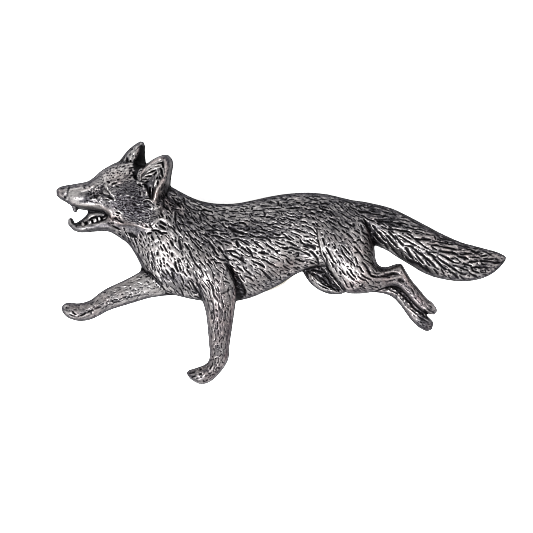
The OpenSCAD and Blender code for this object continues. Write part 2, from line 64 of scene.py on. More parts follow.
# Section tables: [ax, ay, bx, by, height at A, height at B, height of the crown]
PARTS = {
    "trunk": [
        [152, 176, 108, 228, 1.0, 1.0, 3.2],
        [163, 181, 114, 233, 0.8, 0.8, 3.4],
        [170, 186.3, 121, 237.2, 0.7, 0.7, 3.6],
        [178, 190.8, 129.5, 244.5, 0.7, 0.7, 3.8],
        [188, 196.2, 136.5, 255, 0.7, 0.7, 4.0],
        [198, 200.3, 142.7, 267.5, 0.7, 0.8, 4.2],
        [208, 202.8, 150, 279, 0.7, 1.3, 4.2],
        [218, 204, 162, 290.5, 0.7, 1.2, 4.2],
        [228, 204.2, 178, 295.2, 0.7, 0.8, 4.2],
        [238, 203.4, 195, 299, 0.7, 0.7, 4.15],
        [248, 201.6, 213, 301, 0.7, 0.7, 4.1],
        [258, 199.4, 232, 300.8, 0.7, 0.7, 4.05],
        [268, 197.2, 250, 297, 0.7, 0.7, 4.0],
        [279, 195.2, 266, 290.5, 0.7, 0.7, 3.95],
        [290, 193.8, 281, 283, 0.7, 0.7, 3.9],
        [302, 193.1, 295, 274, 0.7, 0.7, 3.85],
        [315, 193.3, 311, 267.5, 0.7, 1.4, 3.85],
        [328, 194.8, 328, 266, 0.7, 1.6, 3.9],
        [341, 197.8, 346, 262, 0.7, 1.6, 3.9],
        [354, 200.8, 362, 252, 0.7, 1.6, 3.7],
        [366, 202.6, 372, 238, 0.7, 1.5, 3.2],
        [376, 206, 378, 228, 0.7, 1.2, 2.2],
    ],
    "near_hind": [
        [330, 203, 352, 203, 3.0, 3.0, 3.2],
        [321, 214, 366, 212, 3.4, 1.5, 3.9],
        [317, 228, 371.5, 226, 3.9, 1.0, 4.4],
        [318.5, 242, 373.5, 240, 4.0, 0.8, 4.7],
        [322, 255, 374.3, 251, 3.6, 0.8, 4.7],
        [328, 267, 375.5, 260, 2.9, 0.7, 4.6],
        [336, 279, 378.5, 265.3, 2.2, 0.7, 4.4],
        [345.5, 291.2, 383, 267.2, 1.2, 0.7, 4.1],
        [358, 293, 388, 267, 0.8, 0.7, 3.8],
        [371, 291.5, 393, 265.3, 1.2, 0.7, 3.5],
        [382, 288, 397.5, 264.1, 1.6, 0.7, 3.4],
        [391, 285.6, 401.5, 264.5, 1.6, 0.7, 3.4],
        [398.5, 287, 405, 270.3, 1.6, 0.7, 3.3],
        [405.5, 293.5, 411.5, 280.5, 1.6, 0.7, 3.1],
        [412.5, 301.5, 419.5, 290, 1.6, 0.7, 3.0],
        [419, 308, 427, 299, 1.5, 0.7, 2.9],
        [425, 312, 431.5, 302.3, 1.2, 0.7, 2.9],
        [430.5, 313.6, 435.3, 306.8, 0.8, 0.7, 2.5],
        [434.5, 314, 437, 310.5, 0.7, 0.7, 1.6],
    ],
    "far_thigh": [
        [303, 270.5, 316, 258, 0.6, 0.6, 1.5],
        [306.5, 277, 328, 262, 0.6, 0.6, 2.0],
        [312.5, 284.3, 336, 269, 0.6, 0.6, 2.1],
        [320, 289.7, 343, 277, 0.6, 0.6, 2.1],
        [330, 293.3, 349, 283, 0.6, 0.6, 2.0],
        [341, 293.4, 354, 288, 0.6, 0.6, 1.7],
    ],
    "far_hind": [
        [366, 284, 366, 290.5, 0.6, 0.6, 1.4],
        [380, 282, 377, 291.8, 0.6, 0.6, 1.7],
        [391, 284, 386.5, 293.6, 0.6, 0.6, 1.9],
        [399, 289, 393.5, 297, 0.6, 0.6, 2.0],
        [406, 296.5, 399, 302.5, 0.6, 0.6, 2.0],
        [412.5, 304, 404.8, 310, 0.6, 0.6, 2.0],
        [419, 310.5, 410.5, 318.2, 0.6, 0.6, 2.0],
        [425, 314.5, 417, 325, 0.6, 0.6, 2.1],
        [428.5, 317.5, 422, 328.4, 0.6, 0.6, 2.1],
        [431.5, 320.5, 427, 330.5, 0.6, 0.6, 1.9],
        [433.3, 323, 431.5, 329, 0.6, 0.6, 1.2],
    ],
    "tail": [
        [352, 201, 358, 232, 0.8, 1.5, 3.2],
        [366, 202.6, 369, 240, 0.7, 1.2, 3.4],
        [379, 205.2, 377.5, 245.4, 0.7, 0.8, 3.4],
        [391, 208.5, 387.5, 249.8, 0.7, 0.7, 3.5],
        [403, 213.8, 399, 257.4, 0.7, 0.7, 3.7],
        [415, 220, 411, 264.6, 0.7, 0.7, 3.8],
        [427, 226.3, 423, 271.8, 0.7, 0.7, 3.8],
        [439, 232.7, 435, 276.4, 0.7, 0.7, 3.7],
        [451, 238.4, 447.5, 279.2, 0.7, 0.7, 3.5],
        [463, 243.1, 460, 280.6, 0.7, 0.7, 3.2],
        [475, 246.3, 473, 279.9, 0.7, 0.7, 2.8],
        [486, 249.2, 485, 276.7, 0.7, 0.7, 2.4],
        [495, 251.6, 494.5, 271.4, 0.65, 0.65, 1.9],
        [501.5, 254.2, 501, 265.4, 0.6, 0.6, 1.4],
        [505.8, 256.8, 505.3, 259.8, 0.5, 0.5, 0.8],
    ],
    "near_fore": [
        [186, 232, 206, 230, 4.0, 4.0, 4.2],
        [183, 244, 219, 240, 4.0, 4.1, 4.5],
        [186, 258, 225.5, 253, 3.9, 4.2, 4.8],
        [190.5, 271, 229.5, 264.5, 3.5, 4.2, 4.9],
        [195.5, 283, 233.5, 275, 2.6, 3.8, 4.8],
        [200, 293.5, 236.2, 284.5, 1.6, 3.2, 4.5],
        [203.3, 302, 236.2, 294, 0.9, 2.2, 4.2],
        [206, 311, 234.6, 306, 0.7, 0.9, 3.9],
        [207.5, 321, 232.7, 319.5, 0.7, 0.7, 3.6],
        [208.6, 333, 230.7, 333, 0.7, 0.7, 3.4],
        [209.6, 345, 229, 345.5, 0.7, 0.7, 3.3],
        [210.4, 354.5, 228.4, 356.5, 0.7, 0.7, 3.3],
        [208.5, 361.8, 225.3, 364.3, 0.7, 0.7, 3.3],
        [203.5, 365.6, 220.5, 371, 0.7, 0.7, 3.2],
        [197.5, 367.8, 213, 379, 0.7, 0.7, 3.1],
        [192.5, 369.4, 203, 383.6, 0.7, 0.7, 2.9],
        [188.7, 370.7, 194, 380.8, 0.7, 0.7, 2.4],
        [187, 372.5, 188.3, 375.8, 0.6, 0.6, 1.5],
    ],
    "far_fore": [
        [158, 262, 176, 288, 0.8, 0.8, 2.0],
        [147, 267.5, 162, 294.8, 0.7, 0.7, 2.3],
        [137.5, 273.6, 149, 297.3, 0.7, 0.7, 2.4],
        [127, 279.3, 137, 300.8, 0.7, 0.7, 2.4],
        [116, 284.4, 124.5, 304.6, 0.7, 0.7, 2.4],
        [107, 288.6, 114.5, 307.6, 0.7, 0.7, 2.4],
        [99, 293.8, 106, 311, 0.7, 0.7, 2.4],
        [92.3, 299.2, 98.5, 315.2, 0.7, 0.7, 2.4],
        [86, 302.1, 89.5, 319.1, 0.7, 0.7, 2.4],
        [78.5, 303.6, 80, 320.4, 0.7, 0.7, 2.4],
        [71.5, 303.2, 71.8, 318.7, 0.7, 0.7, 2.3],
        [65.8, 303.4, 66.5, 316, 0.7, 0.7, 2.0],
        [62, 306.5, 62.6, 311.5, 0.6, 0.6, 1.3],
    ],
    "head": [
        [56.6, 189.4, 56.8, 195.0, 0.6, 0.6, 1.5],
        [59.8, 187.2, 60.5, 198.3, 0.7, 0.7, 2.2],
        [65, 185.7, 66.5, 201.8, 0.7, 0.7, 2.7],
        [72, 184.6, 73.5, 206.2, 0.7, 0.9, 3.1],
        [80, 183.2, 81, 208.8, 0.7, 1.2, 3.4],
        [88, 181.4, 89, 210, 0.7, 1.4, 3.6],
        [94.5, 177, 98, 211.2, 0.7, 1.6, 3.8],
        [101, 171.2, 106, 214.5, 0.7, 1.8, 4.1],
        [108, 166.9, 112.5, 220, 0.7, 2.0, 4.4],
        [116, 162.9, 121, 224, 0.7, 2.2, 4.6],
        [125, 160.5, 132, 226.8, 0.9, 2.4, 4.8],
        [134.5, 160, 144, 228.8, 1.2, 2.6, 4.9],
        [144, 163.5, 153.5, 226.5, 1.4, 2.8, 4.9],
        [152, 169, 160.5, 219.5, 1.6, 3.0, 4.7],
        [159, 177, 164.5, 209, 1.8, 3.2, 4.3],
    ],
    "jaw": [
        [69, 219.2, 69.3, 221.8, 0.6, 0.6, 1.2],
        [71.3, 221.8, 71.3, 227.2, 0.7, 0.6, 1.8],
        [75, 223.2, 75.2, 230.4, 0.8, 0.7, 2.2],
        [80.5, 223.6, 81.5, 231.8, 0.9, 0.7, 2.4],
        [88, 222.2, 89, 231.5, 1.0, 0.7, 2.5],
        [96, 219.8, 97.5, 230.7, 1.1, 0.7, 2.6],
        [103, 217, 106, 230.5, 1.3, 0.7, 2.8],
        [108.5, 213.5, 114, 232.8, 1.6, 0.7, 2.8],
        [117, 212, 123, 239, 1.5, 0.6, 2.1],
    ],
    "mouth_floor": [
        [77.2, 222.6, 78, 225, 0.5, 0.7, 0.9],
        [82.5, 219, 84, 226, 0.7, 1.2, 1.4],
        [87, 214.8, 89, 225, 0.8, 1.5, 1.6],
        [90, 209, 95, 223, 1.2, 1.6, 1.8],
        [98, 207, 103, 220, 1.5, 1.7, 1.9],
        [106, 208, 112, 220, 1.7, 1.7, 2.0],
    ],
    "far_ear": [
        [114, 168, 147, 172, 0.8, 0.8, 2.4],
        [120.8, 159.7, 145.4, 163.3, 0.7, 0.7, 2.5],
        [126, 152.9, 144.5, 156, 0.7, 0.7, 2.4],
        [131, 147.8, 144.4, 149.5, 0.6, 0.6, 2.2],
        [136.5, 143.8, 144.2, 145.3, 0.6, 0.6, 1.8],
        [140.3, 141.6, 142.9, 142.3, 0.5, 0.5, 1.1],
    ],
    "near_ear": [
        [162.5, 155.3, 167.5, 154.9, 0.9, 0.9, 2.0],
        [156.5, 157.7, 171, 158.4, 1.1, 1.0, 3.6],
        [150.5, 161.3, 172.8, 164, 1.4, 1.0, 4.6],
        [145, 165.8, 171.5, 171.5, 2.4, 1.0, 5.2],
        [141, 171.8, 170.3, 179, 3.4, 1.0, 5.5],
        [138.6, 178.8, 169.6, 186, 4.4, 1.6, 5.6],
        [141, 187, 166, 195, 4.6, 2.6, 5.5],
        [148, 196, 160, 204, 4.6, 3.2, 5.0],
    ],
}

# How each part is laid over the ones before it:
# name: (softness of the join in mm, fullness of the crown: one value, or body, limb and the row between)
LAYERS = {
    "trunk": (0.0, 2.3),
    "far_ear": (0.10, 2.0),
    "far_fore": (0.10, 2.8),
    "far_thigh": (0.08, 2.2),
    "far_hind": (0.08, 3.0),
    "mouth_floor": (0.05, 2.0),
    "tail": (0.35, 2.3),
    "near_hind": (0.35, (2.2, 3.8, 9)),
    "near_fore": (0.35, (2.1, 3.0, 7)),
    "jaw": (0.70, 3.0),
    "head": (0.25, 2.2),
    "near_ear": (0.10, 2.0),
}
NAMES = list(LAYERS)
MELT = {"near_hind": (0.0, 2.6), "near_fore": (0.0, 2.4), "tail": (0.0, 1.6)}

# Small rounded ridges: [x1, y1, z1, x2, y2, z2, radius 1, radius 2]
RIDGES = [
    [203, 369.5, 2.6, 191.5, 372.5, 1.9, 3.2, 2.2],
    [205, 374, 2.8, 192.5, 376.5, 1.9, 3.2, 2.2],
    [208, 378, 2.4, 198.5, 380.6, 1.6, 3.0, 2.2],
    [73, 307, 1.8, 66, 307.2, 1.5, 3.0, 2.4],
    [75, 311.5, 2.0, 67, 311.8, 1.5, 3.0, 2.4],
    [426, 304.5, 2.4, 433.5, 309.3, 1.6, 3.0, 2.2],
    [422, 323, 1.7, 430, 325.2, 1.2, 2.8, 2.2],
    [75.3, 206.4, 1.5, 75.2, 209.9, 1.4, 3.4, 1.7],
    [71.3, 223.4, 1.4, 70.6, 220.4, 1.4, 2.8, 2.2],
    [145.4, 268, 0.6, 144.5, 270.5, 0.6, 3.6, 3.6],
    [160, 292.8, 0.6, 176, 291.5, 0.6, 2.6, 2.6],
    [391, 286, 1.45, 403, 293, 1.45, 3.4, 3.8],
    [403, 293, 1.45, 423.5, 314, 1.35, 3.8, 3.2],
    [372, 242.6, 1.2, 375, 242.8, 1.2, 2.6, 2.2],
]


# ---------------------------------------------------------------------------
# Height map
# ---------------------------------------------------------------------------
def spline(rows, steps):
    """Catmull-Rom through the rows of a table."""
    r = np.array(rows, float)
    ext = np.vstack([2 * r[0] - r[1], r, 2 * r[-1] - r[-2]])
    out = []
    for i in range(len(r) - 1):
        a, b, c, d = ext[i : i + 4]
        for k in range(steps):
            t = k / steps
            out.append(0.5 * (2 * b + (c - a) * t + (2 * a - 5 * b + 4 * c - d) * t * t
                              + (3 * b - a - 3 * c + d) * t ** 3))
    out.append(r[-1])
    return np.array(out)


def cross2(ax, ay, bx, by):
    return ax * by - ay * bx


def window(x0, y0, x1, y1, pad):
    i0 = max(0, int((x0 - pad - X0) * S)); i1 = min(NX, int((x1 + pad - X0) * S) + 2)
    j0 = max(0, int((y0 - pad - Y0) * S)); j1 = min(NY, int((y1 + pad - Y0) * S) + 2)
    return slice(j0, j1), slice(i0, i1)


def polygon_distance(poly, pad):
    """Signed distance in units to a closed polygon, below 0 inside, on a window of the map."""
    win = window(poly[:, 0].min(), poly[:, 1].min(), poly[:, 0].max(), poly[:, 1].max(), pad)
    x, y = PX[win], PY[win]
    d2 = np.full(x.shape, 1e9, np.float32)
    odd = np.zeros(x.shape, bool)
    n = len(poly)
    for i in range(n):
        ax, ay = poly[i]
        bx, by = poly[(i + 1) % n]
        ex, ey = bx - ax, by - ay
        ll = ex * ex + ey * ey
        if ll < 1e-12:
            continue
        wx, wy = x - ax, y - ay
        t = np.clip((wx * ex + wy * ey) / ll, 0, 1)
        d2 = np.minimum(d2, (wx - t * ex) ** 2 + (wy - t * ey) ** 2)
        hit = ((ay > y) != (by > y)) & (x < (bx - ax) * (y - ay) / ((by - ay) if by != ay else 1e-9) + ax)
        odd ^= hit
    d = np.sqrt(d2)
    return win, np.where(odd, -d, d)


def part_field(rows, full, steps=4):
    """Height, place along and flow direction of one lofted part, and its distance to the outline."""
    fine = spline(rows, steps)
    poly = np.vstack([fine[:, 0:2], fine[::-1, 2:4]])
    win, dist = polygon_distance(poly, 5)
    x, y = PX[win], PY[win]
    h = np.full(x.shape, -9.0, np.float32)
    along = np.full(x.shape, -1.0, np.float32)
    across = np.full(x.shape, 0.5, np.float32)
    fx = np.zeros(x.shape, np.float32)
    fy = np.zeros(x.shape, np.float32)
    mids = (fine[:, 0:2] + fine[:, 2:4]) / 2
    i_off, j_off = win[1].start, win[0].start
    for i in range(len(fine) - 1):
        a, b = fine[i, 0:2], fine[i, 2:4]
        d, c = fine[i + 1, 0:2], fine[i + 1, 2:4]
        q = np.array([a, b, c, d])
        sub = window(q[:, 0].min(), q[:, 1].min(), q[:, 0].max(), q[:, 1].max(), 0.4)
        loc = (slice(sub[0].start - j_off, sub[0].stop - j_off), slice(sub[1].start - i_off, sub[1].stop - i_off))
        px, py = PX[sub], PY[sub]
        ex, ey = b - a
        f = d - a
        g = a - b + c - d
        hx, hy = px - a[0], py - a[1]
        k2 = cross2(g[0], g[1], f[0], f[1])
        k1 = cross2(ex, ey, f[0], f[1]) + cross2(hx, hy, g[0], g[1])
        k0 = cross2(hx, hy, ex, ey)
        if abs(k2) < 1e-6:
            v = -k0 / np.where(np.abs(k1) < 1e-9, 1e-9, k1)
        else:
            w = np.sqrt(np.maximum(k1 * k1 - 4 * k0 * k2, 0))
            v1 = (-k1 - w) / (2 * k2)
            v2 = (-k1 + w) / (2 * k2)
            v = np.where(np.abs(v1 - 0.5) < np.abs(v2 - 0.5), v1, v2)
        dx, dy = ex + g[0] * v, ey + g[1] * v
        u = ((hx - f[0] * v) * dx + (hy - f[1] * v) * dy) / (dx * dx + dy * dy)
        ok = (v >= -0.02) & (v <= 1.02) & (u >= -0.001) & (u <= 1.001)
        u = np.clip(u, 0, 1)
        v = np.clip(v, 0, 1)
        row = [fine[i, k] * (1 - v) + fine[i + 1, k] * v for k in (4, 5, 6)]
        edge = row[0] * (1 - u) + row[1] * u
        power = full if np.isscalar(full) else float(np.interp(i / steps, [full[2] - 1.5, full[2] + 1.5], full[:2]))
        dome = (1 - np.abs(2 * u - 1) ** power) ** (1 / power)
        hh = edge + (row[2] - edge) * dome
        better = ok & (hh > h[loc])
        h[loc] = np.where(better, hh, h[loc])
        along[loc] = np.where(better, (i + v) / steps, along[loc])
        across[loc] = np.where(better, u, across[loc])
        m = mids[i + 1] - mids[i]
        m = m / (np.hypot(*m) + 1e-9)
        fx[loc] = np.where(better, m[0], fx[loc])
        fy[loc] = np.where(better, m[1], fy[loc])
    inside = h > -8
    h = np.where(inside, h, 0.62 - 0.35 * np.maximum(dist, 0)).astype(np.float32)
    return win, dist, h, along, across, fx, fy


def smooth_max(a, b, k):
    if np.isscalar(k) and k <= 0:
        return np.maximum(a, b)
    m = np.maximum(k - np.abs(a - b), 0) / np.maximum(k, 1e-6)
    return np.maximum(a, b) + m * m * k * 0.25


def smooth_min(a, b, k):
    m = np.maximum(k - np.abs(a - b), 0) / k
    return np.minimum(a, b) - m * m * k * 0.25


def blur(a, sigma):
    """Gaussian blur, sigma in units of the grid."""
    s = sigma * S
    r = int(math.ceil(3 * s))
    k = np.exp(-0.5 * (np.arange(-r, r + 1) / s) ** 2)
    k = (k / k.sum()).astype(np.float32)
    out = np.pad(a, ((r, r), (0, 0)), mode="edge")
    acc = np.zeros_like(a)
    for i, w in enumerate(k):
        acc += w * out[i : i + a.shape[0]]
    out = np.pad(acc, ((0, 0), (r, r)), mode="edge")
    acc = np.zeros_like(a)
    for i, w in enumerate(k):
        acc += w * out[:, i : i + a.shape[1]]
    return acc


FAR = 9.0
sdf = np.full((NY, NX), FAR, np.float32)
height = np.full((NY, NX), -1.0, np.float32)
label = np.full((NY, NX), -1, np.int8)
flow_x = np.ones((NY, NX), np.float32)
flow_y = np.zeros((NY, NX), np.float32)
fields = {}
for idx, name in enumerate(NAMES):
    soft, full = LAYERS[name]
    win, dist, h, along, across, fx, fy = part_field(PARTS[name], full)
    sdf[win] = smooth_min(sdf[win], dist, 1.2)
    top = (dist < 0.2) & (h > height[win] - 0.02)
    if name in MELT:             # the limb grows out of the trunk over its first rows
        start, end = MELT[name]
        w = np.clip((along - start) / (end - start), 0, 1)
        w = w * w * (3 - 2 * w)
        h = np.where(along >= 0, height[win] * (1 - w) + h * w, h).astype(np.float32)
        top &= w > 0.55
        soft = np.interp(along, [0, end, end + 2.5], [0.7, 0.45, 0.12]).astype(np.float32)
    height[win] = smooth_max(height[win], h, soft)
    label[win] = np.where(top, idx, label[win])
    flow_x[win] = np.where(top, fx, flow_x[win])
    flow_y[win] = np.where(top, fy, flow_y[win])
    fields[name] = (win, dist, along, across)

for x1, y1, z1, x2, y2, z2, r1, r2 in RIDGES:
    win = window(min(x1, x2), min(y1, y2), max(x1, x2), max(y1, y2), 6)
    x, y = PX[win], PY[win]
    ex, ey = x2 - x1, y2 - y1
    t = np.clip(((x - x1) * ex + (y - y1) * ey) / (ex * ex + ey * ey), 0, 1)
    d = np.hypot(x - x1 - t * ex, y - y1 - t * ey)
    r = r1 + (r2 - r1) * t
    z = z1 + (z2 - z1) * t + np.sqrt(np.maximum(r * r - d * d, 0)) * UNIT_MM
    inside = d < r
    z = np.where(inside, z, 0.6 - 0.35 * np.maximum(d - r, 0))
    height[win] = smooth_max(height[win], z.astype(np.float32), 0.1)
    sdf[win] = smooth_min(sdf[win], (d - r).astype(np.float32), 0.5)

sdf -= 0.54                   # the outline stands a little outside the tables

L = {n: i for i, n in enumerate(NAMES)}


# ---------------------------------------------------------------------------
# Sculpted lines: (width in units, height in mm, tone, points)
# A height below 0 cuts a line, above 0 raises one. The tone is how much lighter
# or darker the metal is painted there: patina and wear, and in hollows, gaps and
# on ridges painted shade and painted highlight as well.
# ---------------------------------------------------------------------------
tone = np.zeros((NY, NX), np.float32)
warm = np.zeros((NY, NX), np.float32)
calm = np.zeros((NY, NX), np.float32)       # 1 where no fur is cut


def polyline_field(pts, pad):
    p = np.array(pts, float)
    win = window(p[:, 0].min(), p[:, 1].min(), p[:, 0].max(), p[:, 1].max(), pad)
    x, y = PX[win], PY[win]
    seg = np.hypot(*(p[1:] - p[:-1]).T)
    cum = np.concatenate([[0], np.cumsum(seg)])
    best = np.full(x.shape, 1e9, np.float32)
    pos = np.zeros(x.shape, np.float32)
    for i in range(len(p) - 1):
        e = p[i + 1] - p[i]
        t = np.clip(((x - p[i, 0]) * e[0] + (y - p[i, 1]) * e[1]) / max(e @ e, 1e-9), 0, 1)
        d = np.hypot(x - p[i, 0] - t * e[0], y - p[i, 1] - t * e[1])
        nearer = d < best
        best = np.where(nearer, d, best)
        pos = np.where(nearer, (cum[i] + t * seg[i]) / max(cum[-1], 1e-9), pos)
    return win, best, pos


def rounded(pts, steps=5):
    if len(pts) < 3:
        return pts
    return [tuple(p) for p in spline(pts, steps)]


def line(width, rise, shade, pts, taper=0.0, brown=0.0, power=2.0):
    """Cuts or raises a line with a rounded profile."""
    win, d, pos = polyline_field(rounded(pts), width * 3.2)
    w = width * (1 - taper * pos)
    k = np.exp(-(d / np.maximum(w, 0.15)) ** power)
    height[win] += (rise * k).astype(np.float32)
    tone[win] += (shade * k).astype(np.float32)
    if brown:
        warm[win] += (brown * k).astype(np.float32)


def dash(x1, y1, x2, y2, width, rise, shade):
    """A short cut or a short tuft, pointed at both ends and crisp at its sides."""
    win = window(min(x1, x2), min(y1, y2), max(x1, x2), max(y1, y2), width * 3 + 0.5)
    ex, ey = x2 - x1, y2 - y1
    n = math.hypot(ex, ey) + 1e-9
    dx, dy = PX[win] - (x1 + x2) / 2, PY[win] - (y1 + y2) / 2
    u = np.abs((dx * ex + dy * ey) / n) / (n / 2 + width * 0.6)
    v = np.abs(-dx * ey + dy * ex) / n
    taper = np.sqrt(np.clip(1 - u ** 2.4, 0, 1))
    k = np.exp(-(v / (width * (0.25 + 0.75 * taper))) ** 2.6) * taper
    height[win] += (rise * k).astype(np.float32)
    tone[win] += (shade * k).astype(np.float32)
    calm[win] = np.maximum(calm[win], (np.exp(-(v / (width * 1.5 + 0.7)) ** 4) * (u < 1.15)).astype(np.float32))


def spot(x, y, rx, ry, angle, rise, shade, power=2.0):
    """Raises or sinks a soft oval, its long axis at angle degrees below the x axis."""
    win = window(x, y, x, y, 2.6 * max(rx, ry))
    c, s = math.cos(math.radians(angle)), math.sin(math.radians(angle))
    dx, dy = PX[win] - x, PY[win] - y
    k = np.exp(-(((dx * c + dy * s) / rx) ** 2 + ((-dx * s + dy * c) / ry) ** 2) ** (power / 2))
    height[win] += (rise * k).astype(np.float32)
    tone[win] += (shade * k).astype(np.float32)


def area(pts, soft, rise, shade, still=0.0):
    """Raises or sinks a whole area with a soft border; still keeps the fur off it."""
    win, d = polygon_distance(np.array(rounded(list(pts) + [pts[0]])[:-1], float), soft * 2 + 1)
    k = 1 / (1 + np.exp(np.clip(d / soft * 3, -30, 30)))
    height[win] += (rise * k).astype(np.float32)
    tone[win] += (shade * k).astype(np.float32)
    if still:
        calm[win] = np.maximum(calm[win], (still * k).astype(np.float32))


# Muscles and hollows of the body
spot(204, 238, 22, 15, 40, 0.20, -0.02)
spot(262, 238, 34, 18, 15, 0.12, 0.0)
spot(301, 254, 9, 15, 15, -0.30, 0.0)
spot(178, 262, 12, 26, -28, 0.15, 0.04)
spot(344, 243, 13, 24, -20, 0.15, 0.0)
area([(160, 190), (166, 185), (171, 187.5), (180, 194), (184, 200), (176, 206), (166, 206), (159, 203)], 2.4, -0.35, -0.08)
spot(172, 201, 10, 8, 35, -0.20, -0.06)

# The hollow behind the elbow, with the flank's fur reaching into it; its dark tone is patina and painted shade
area([(225, 263), (229, 264), (233, 269), (238, 276), (242, 283), (245.5, 290), (245, 295), (237.5, 300.5), (236.6, 292), (234.4, 281), (229, 270)], 1.5, -0.45, -0.34)
for x1, y1, x2, y2 in [(238, 281, 241, 284), (240, 288, 243, 289), (241, 291.5, 244, 293)]:
    dash(x1, y1, x2, y2, 0.5, 0.05, 0.20)

# The crease between the thigh and the tail, painted dark with patina and painted shade
area([(363, 219.5), (368, 223), (373, 229), (380, 240), (378, 244), (374.5, 243), (370.5, 236), (366, 228)], 1.6, -0.30, -0.36, 0.8)
for x1, y1, x2, y2, w, t in [(370.4, 224.8, 373.4, 229.6, 1.0, 0.55), (371, 231.6, 372, 233.4, 0.6, 0.30), (371.2, 236, 372.2, 238.6, 0.6, 0.30),
                             (373.8, 236, 377.6, 241.6, 0.6, 0.36), (375.6, 231.8, 377.2, 233.8, 0.6, 0.24), (377.6, 236, 378.8, 238, 0.6, 0.26),
                             (379.6, 245.8, 384.4, 248, 0.8, 0.40), (374.6, 243, 376.4, 244.4, 0.6, 0.16), (368, 226, 369.4, 229.6, 0.5, 0.20)]:
    dash(x1, y1, x2, y2, w, 0.10, t)

# Where the chest lies over the far foreleg: a cut painted dark, patina and painted shade between the parts
line(1.0, -0.22, -0.16, [(143.5, 269), (149, 274), (155, 279.5), (160, 285), (164.5, 289.5)])

# The far thigh, painted black with patina and painted shade behind the near thigh, its outer rim light, part wear and
# part painted highlight
area([(306.5, 270.5), (318, 266), (326, 272), (334, 282), (341, 290), (334, 290), (324, 284.5), (314, 276.5)], 1.6, -0.4, -0.34)
for x1, y1, x2, y2 in [(324, 273, 327, 277), (329, 279, 332, 283)]:
    dash(x1, y1, x2, y2, 0.5, 0.10, 0.25)

# Front edge of the near thigh
line(1.2, 0.18, 0.08, [(318, 233), (319, 240), (321, 250), (323, 259), (326, 266)])
line(2.2, 0.06, 0.03, [(329, 266), (335, 275), (341.5, 283.5), (349, 289.6)])
line(1.0, 0.05, 0.10, [(365, 226), (368, 233), (371, 241), (373, 249), (374, 256)], 0, 0.8)

# Hind legs
line(1.0, -0.22, -0.36, [(371.5, 275.8), (377, 276.6), (383, 276), (389, 274.8), (393, 273.6)])
line(0.8, 0.06, 0.18, [(378, 271.8), (385, 271.6), (391, 270.4), (396, 268.8)])
line(0.8, 0.06, 0.18, [(376, 280.3), (384, 279.6), (391, 278.3), (396, 277), (400, 276.6)])
for x1, y1, x2, y2 in [(378.6, 276.6, 380, 276), (384.6, 276.2, 386, 275.2), (389.6, 277.2, 391, 277.6), (391.4, 274.6, 392.8, 275.4)]:
    dash(x1, y1, x2, y2, 0.55, 0.06, 0.26)
line(0.7, -0.15, -0.26, [(366, 270.5), (372, 272.5), (378, 273.6)])
# a band painted light along the far hind leg as painted highlight, and a line painted dark in the gap between the hind
# legs as painted shade
line(3.2, 0.0, 0.16, [(379, 289.4), (386, 286.8), (393, 287), (399.5, 291), (407, 299), (415, 307.5), (422.5, 313.5), (427, 316)])
line(1.1, 0.0, -0.20, [(379, 289.4), (386, 286.8), (393, 287.4), (399.5, 292), (407, 300), (415, 308.2), (422.5, 313.8), (427, 316)])
line(0.9, 0.12, 0.16, [(385, 290.4), (393, 292.8), (399, 297.5), (403.5, 303), (407, 307.5), (411, 311), (417, 315.5)])
line(0.9, 0.05, 0.06, [(404, 276), (410, 286), (417, 296), (424, 303)], 0, 0.9)
line(0.7, -0.18, -0.34, [(427, 308.5), (430.5, 310.8), (433.5, 312.4)])
line(0.6, -0.14, -0.24, [(429, 305.5), (432, 307.6)])
dash(423.5, 309.5, 427.5, 313.2, 1.0, -0.2, -0.4)
for x1, y1, x2, y2, t in [(390.5, 287.6, 392, 288.6, 0.26), (394, 289.2, 396.2, 291, 0.30), (398, 292.6, 399.4, 294.6, 0.24), (400.8, 296, 402.6, 297.2, 0.30),
                          (404, 299, 405, 301.2, 0.24), (407.4, 302.6, 409.6, 304.2, 0.28), (411.4, 307.6, 413.2, 308.8, 0.26), (416, 311.2, 418.4, 313, 0.34),
                          (421, 312.6, 421.8, 315.4, 0.26), (424.4, 313.8, 425.6, 316.6, 0.40), (387.4, 289, 389, 290.4, 0.22)]:
    dash(x1, y1, x2, y2, 0.65, 0.12, 1.25 * t)

# Near foreleg and its paw
line(1.3, 0.08, 0.08, [(233.2, 268), (236, 278), (236, 290), (234, 303), (232, 318)], 0, 1.0)
line(1.6, 0.0, -0.04, [(235, 286), (233.4, 303), (231.6, 318), (229.4, 334), (227.6, 348), (226, 358)], 0, 0.9)
line(0.8, -0.12, -0.22, [(222, 293.5), (226.5, 291.5), (231, 289)])
line(1.1, -0.06, -0.10, [(212, 298), (212.5, 310), (213, 322)])
line(0.8, 0.04, 0.02, [(218, 302), (218.5, 318), (219, 336), (217.5, 352)])
line(0.8, 0.12, 0.18, [(213, 367), (216.5, 362.5), (217.5, 358)])

# Far foreleg and its paw
spot(66.8, 307.6, 1.0, 0.7, 20, 0.0, -0.42)
line(0.6, -0.04, -0.44, [(72.4, 310.4), (73.6, 312.8), (76, 313.8)])
line(0.5, -0.04, -0.40, [(78.8, 316.4), (84, 313.8), (89, 311.4), (93.6, 309.0)])
line(0.5, -0.04, -0.36, [(94, 307.4), (99, 305.4), (104, 303.4)])
spot(114, 300.8, 3.4, 1.0, -14, -0.03, -0.34)
line(0.45, 0.0, -0.34, [(124, 299.6), (131, 297.2), (139, 295.4), (147, 293.6)])
line(0.7, -0.12, -0.22, [(70, 314.5), (75, 316.5)])
line(0.9, 0.08, 0.12, [(90, 308), (100, 303.5), (112, 296.5), (124, 292)])

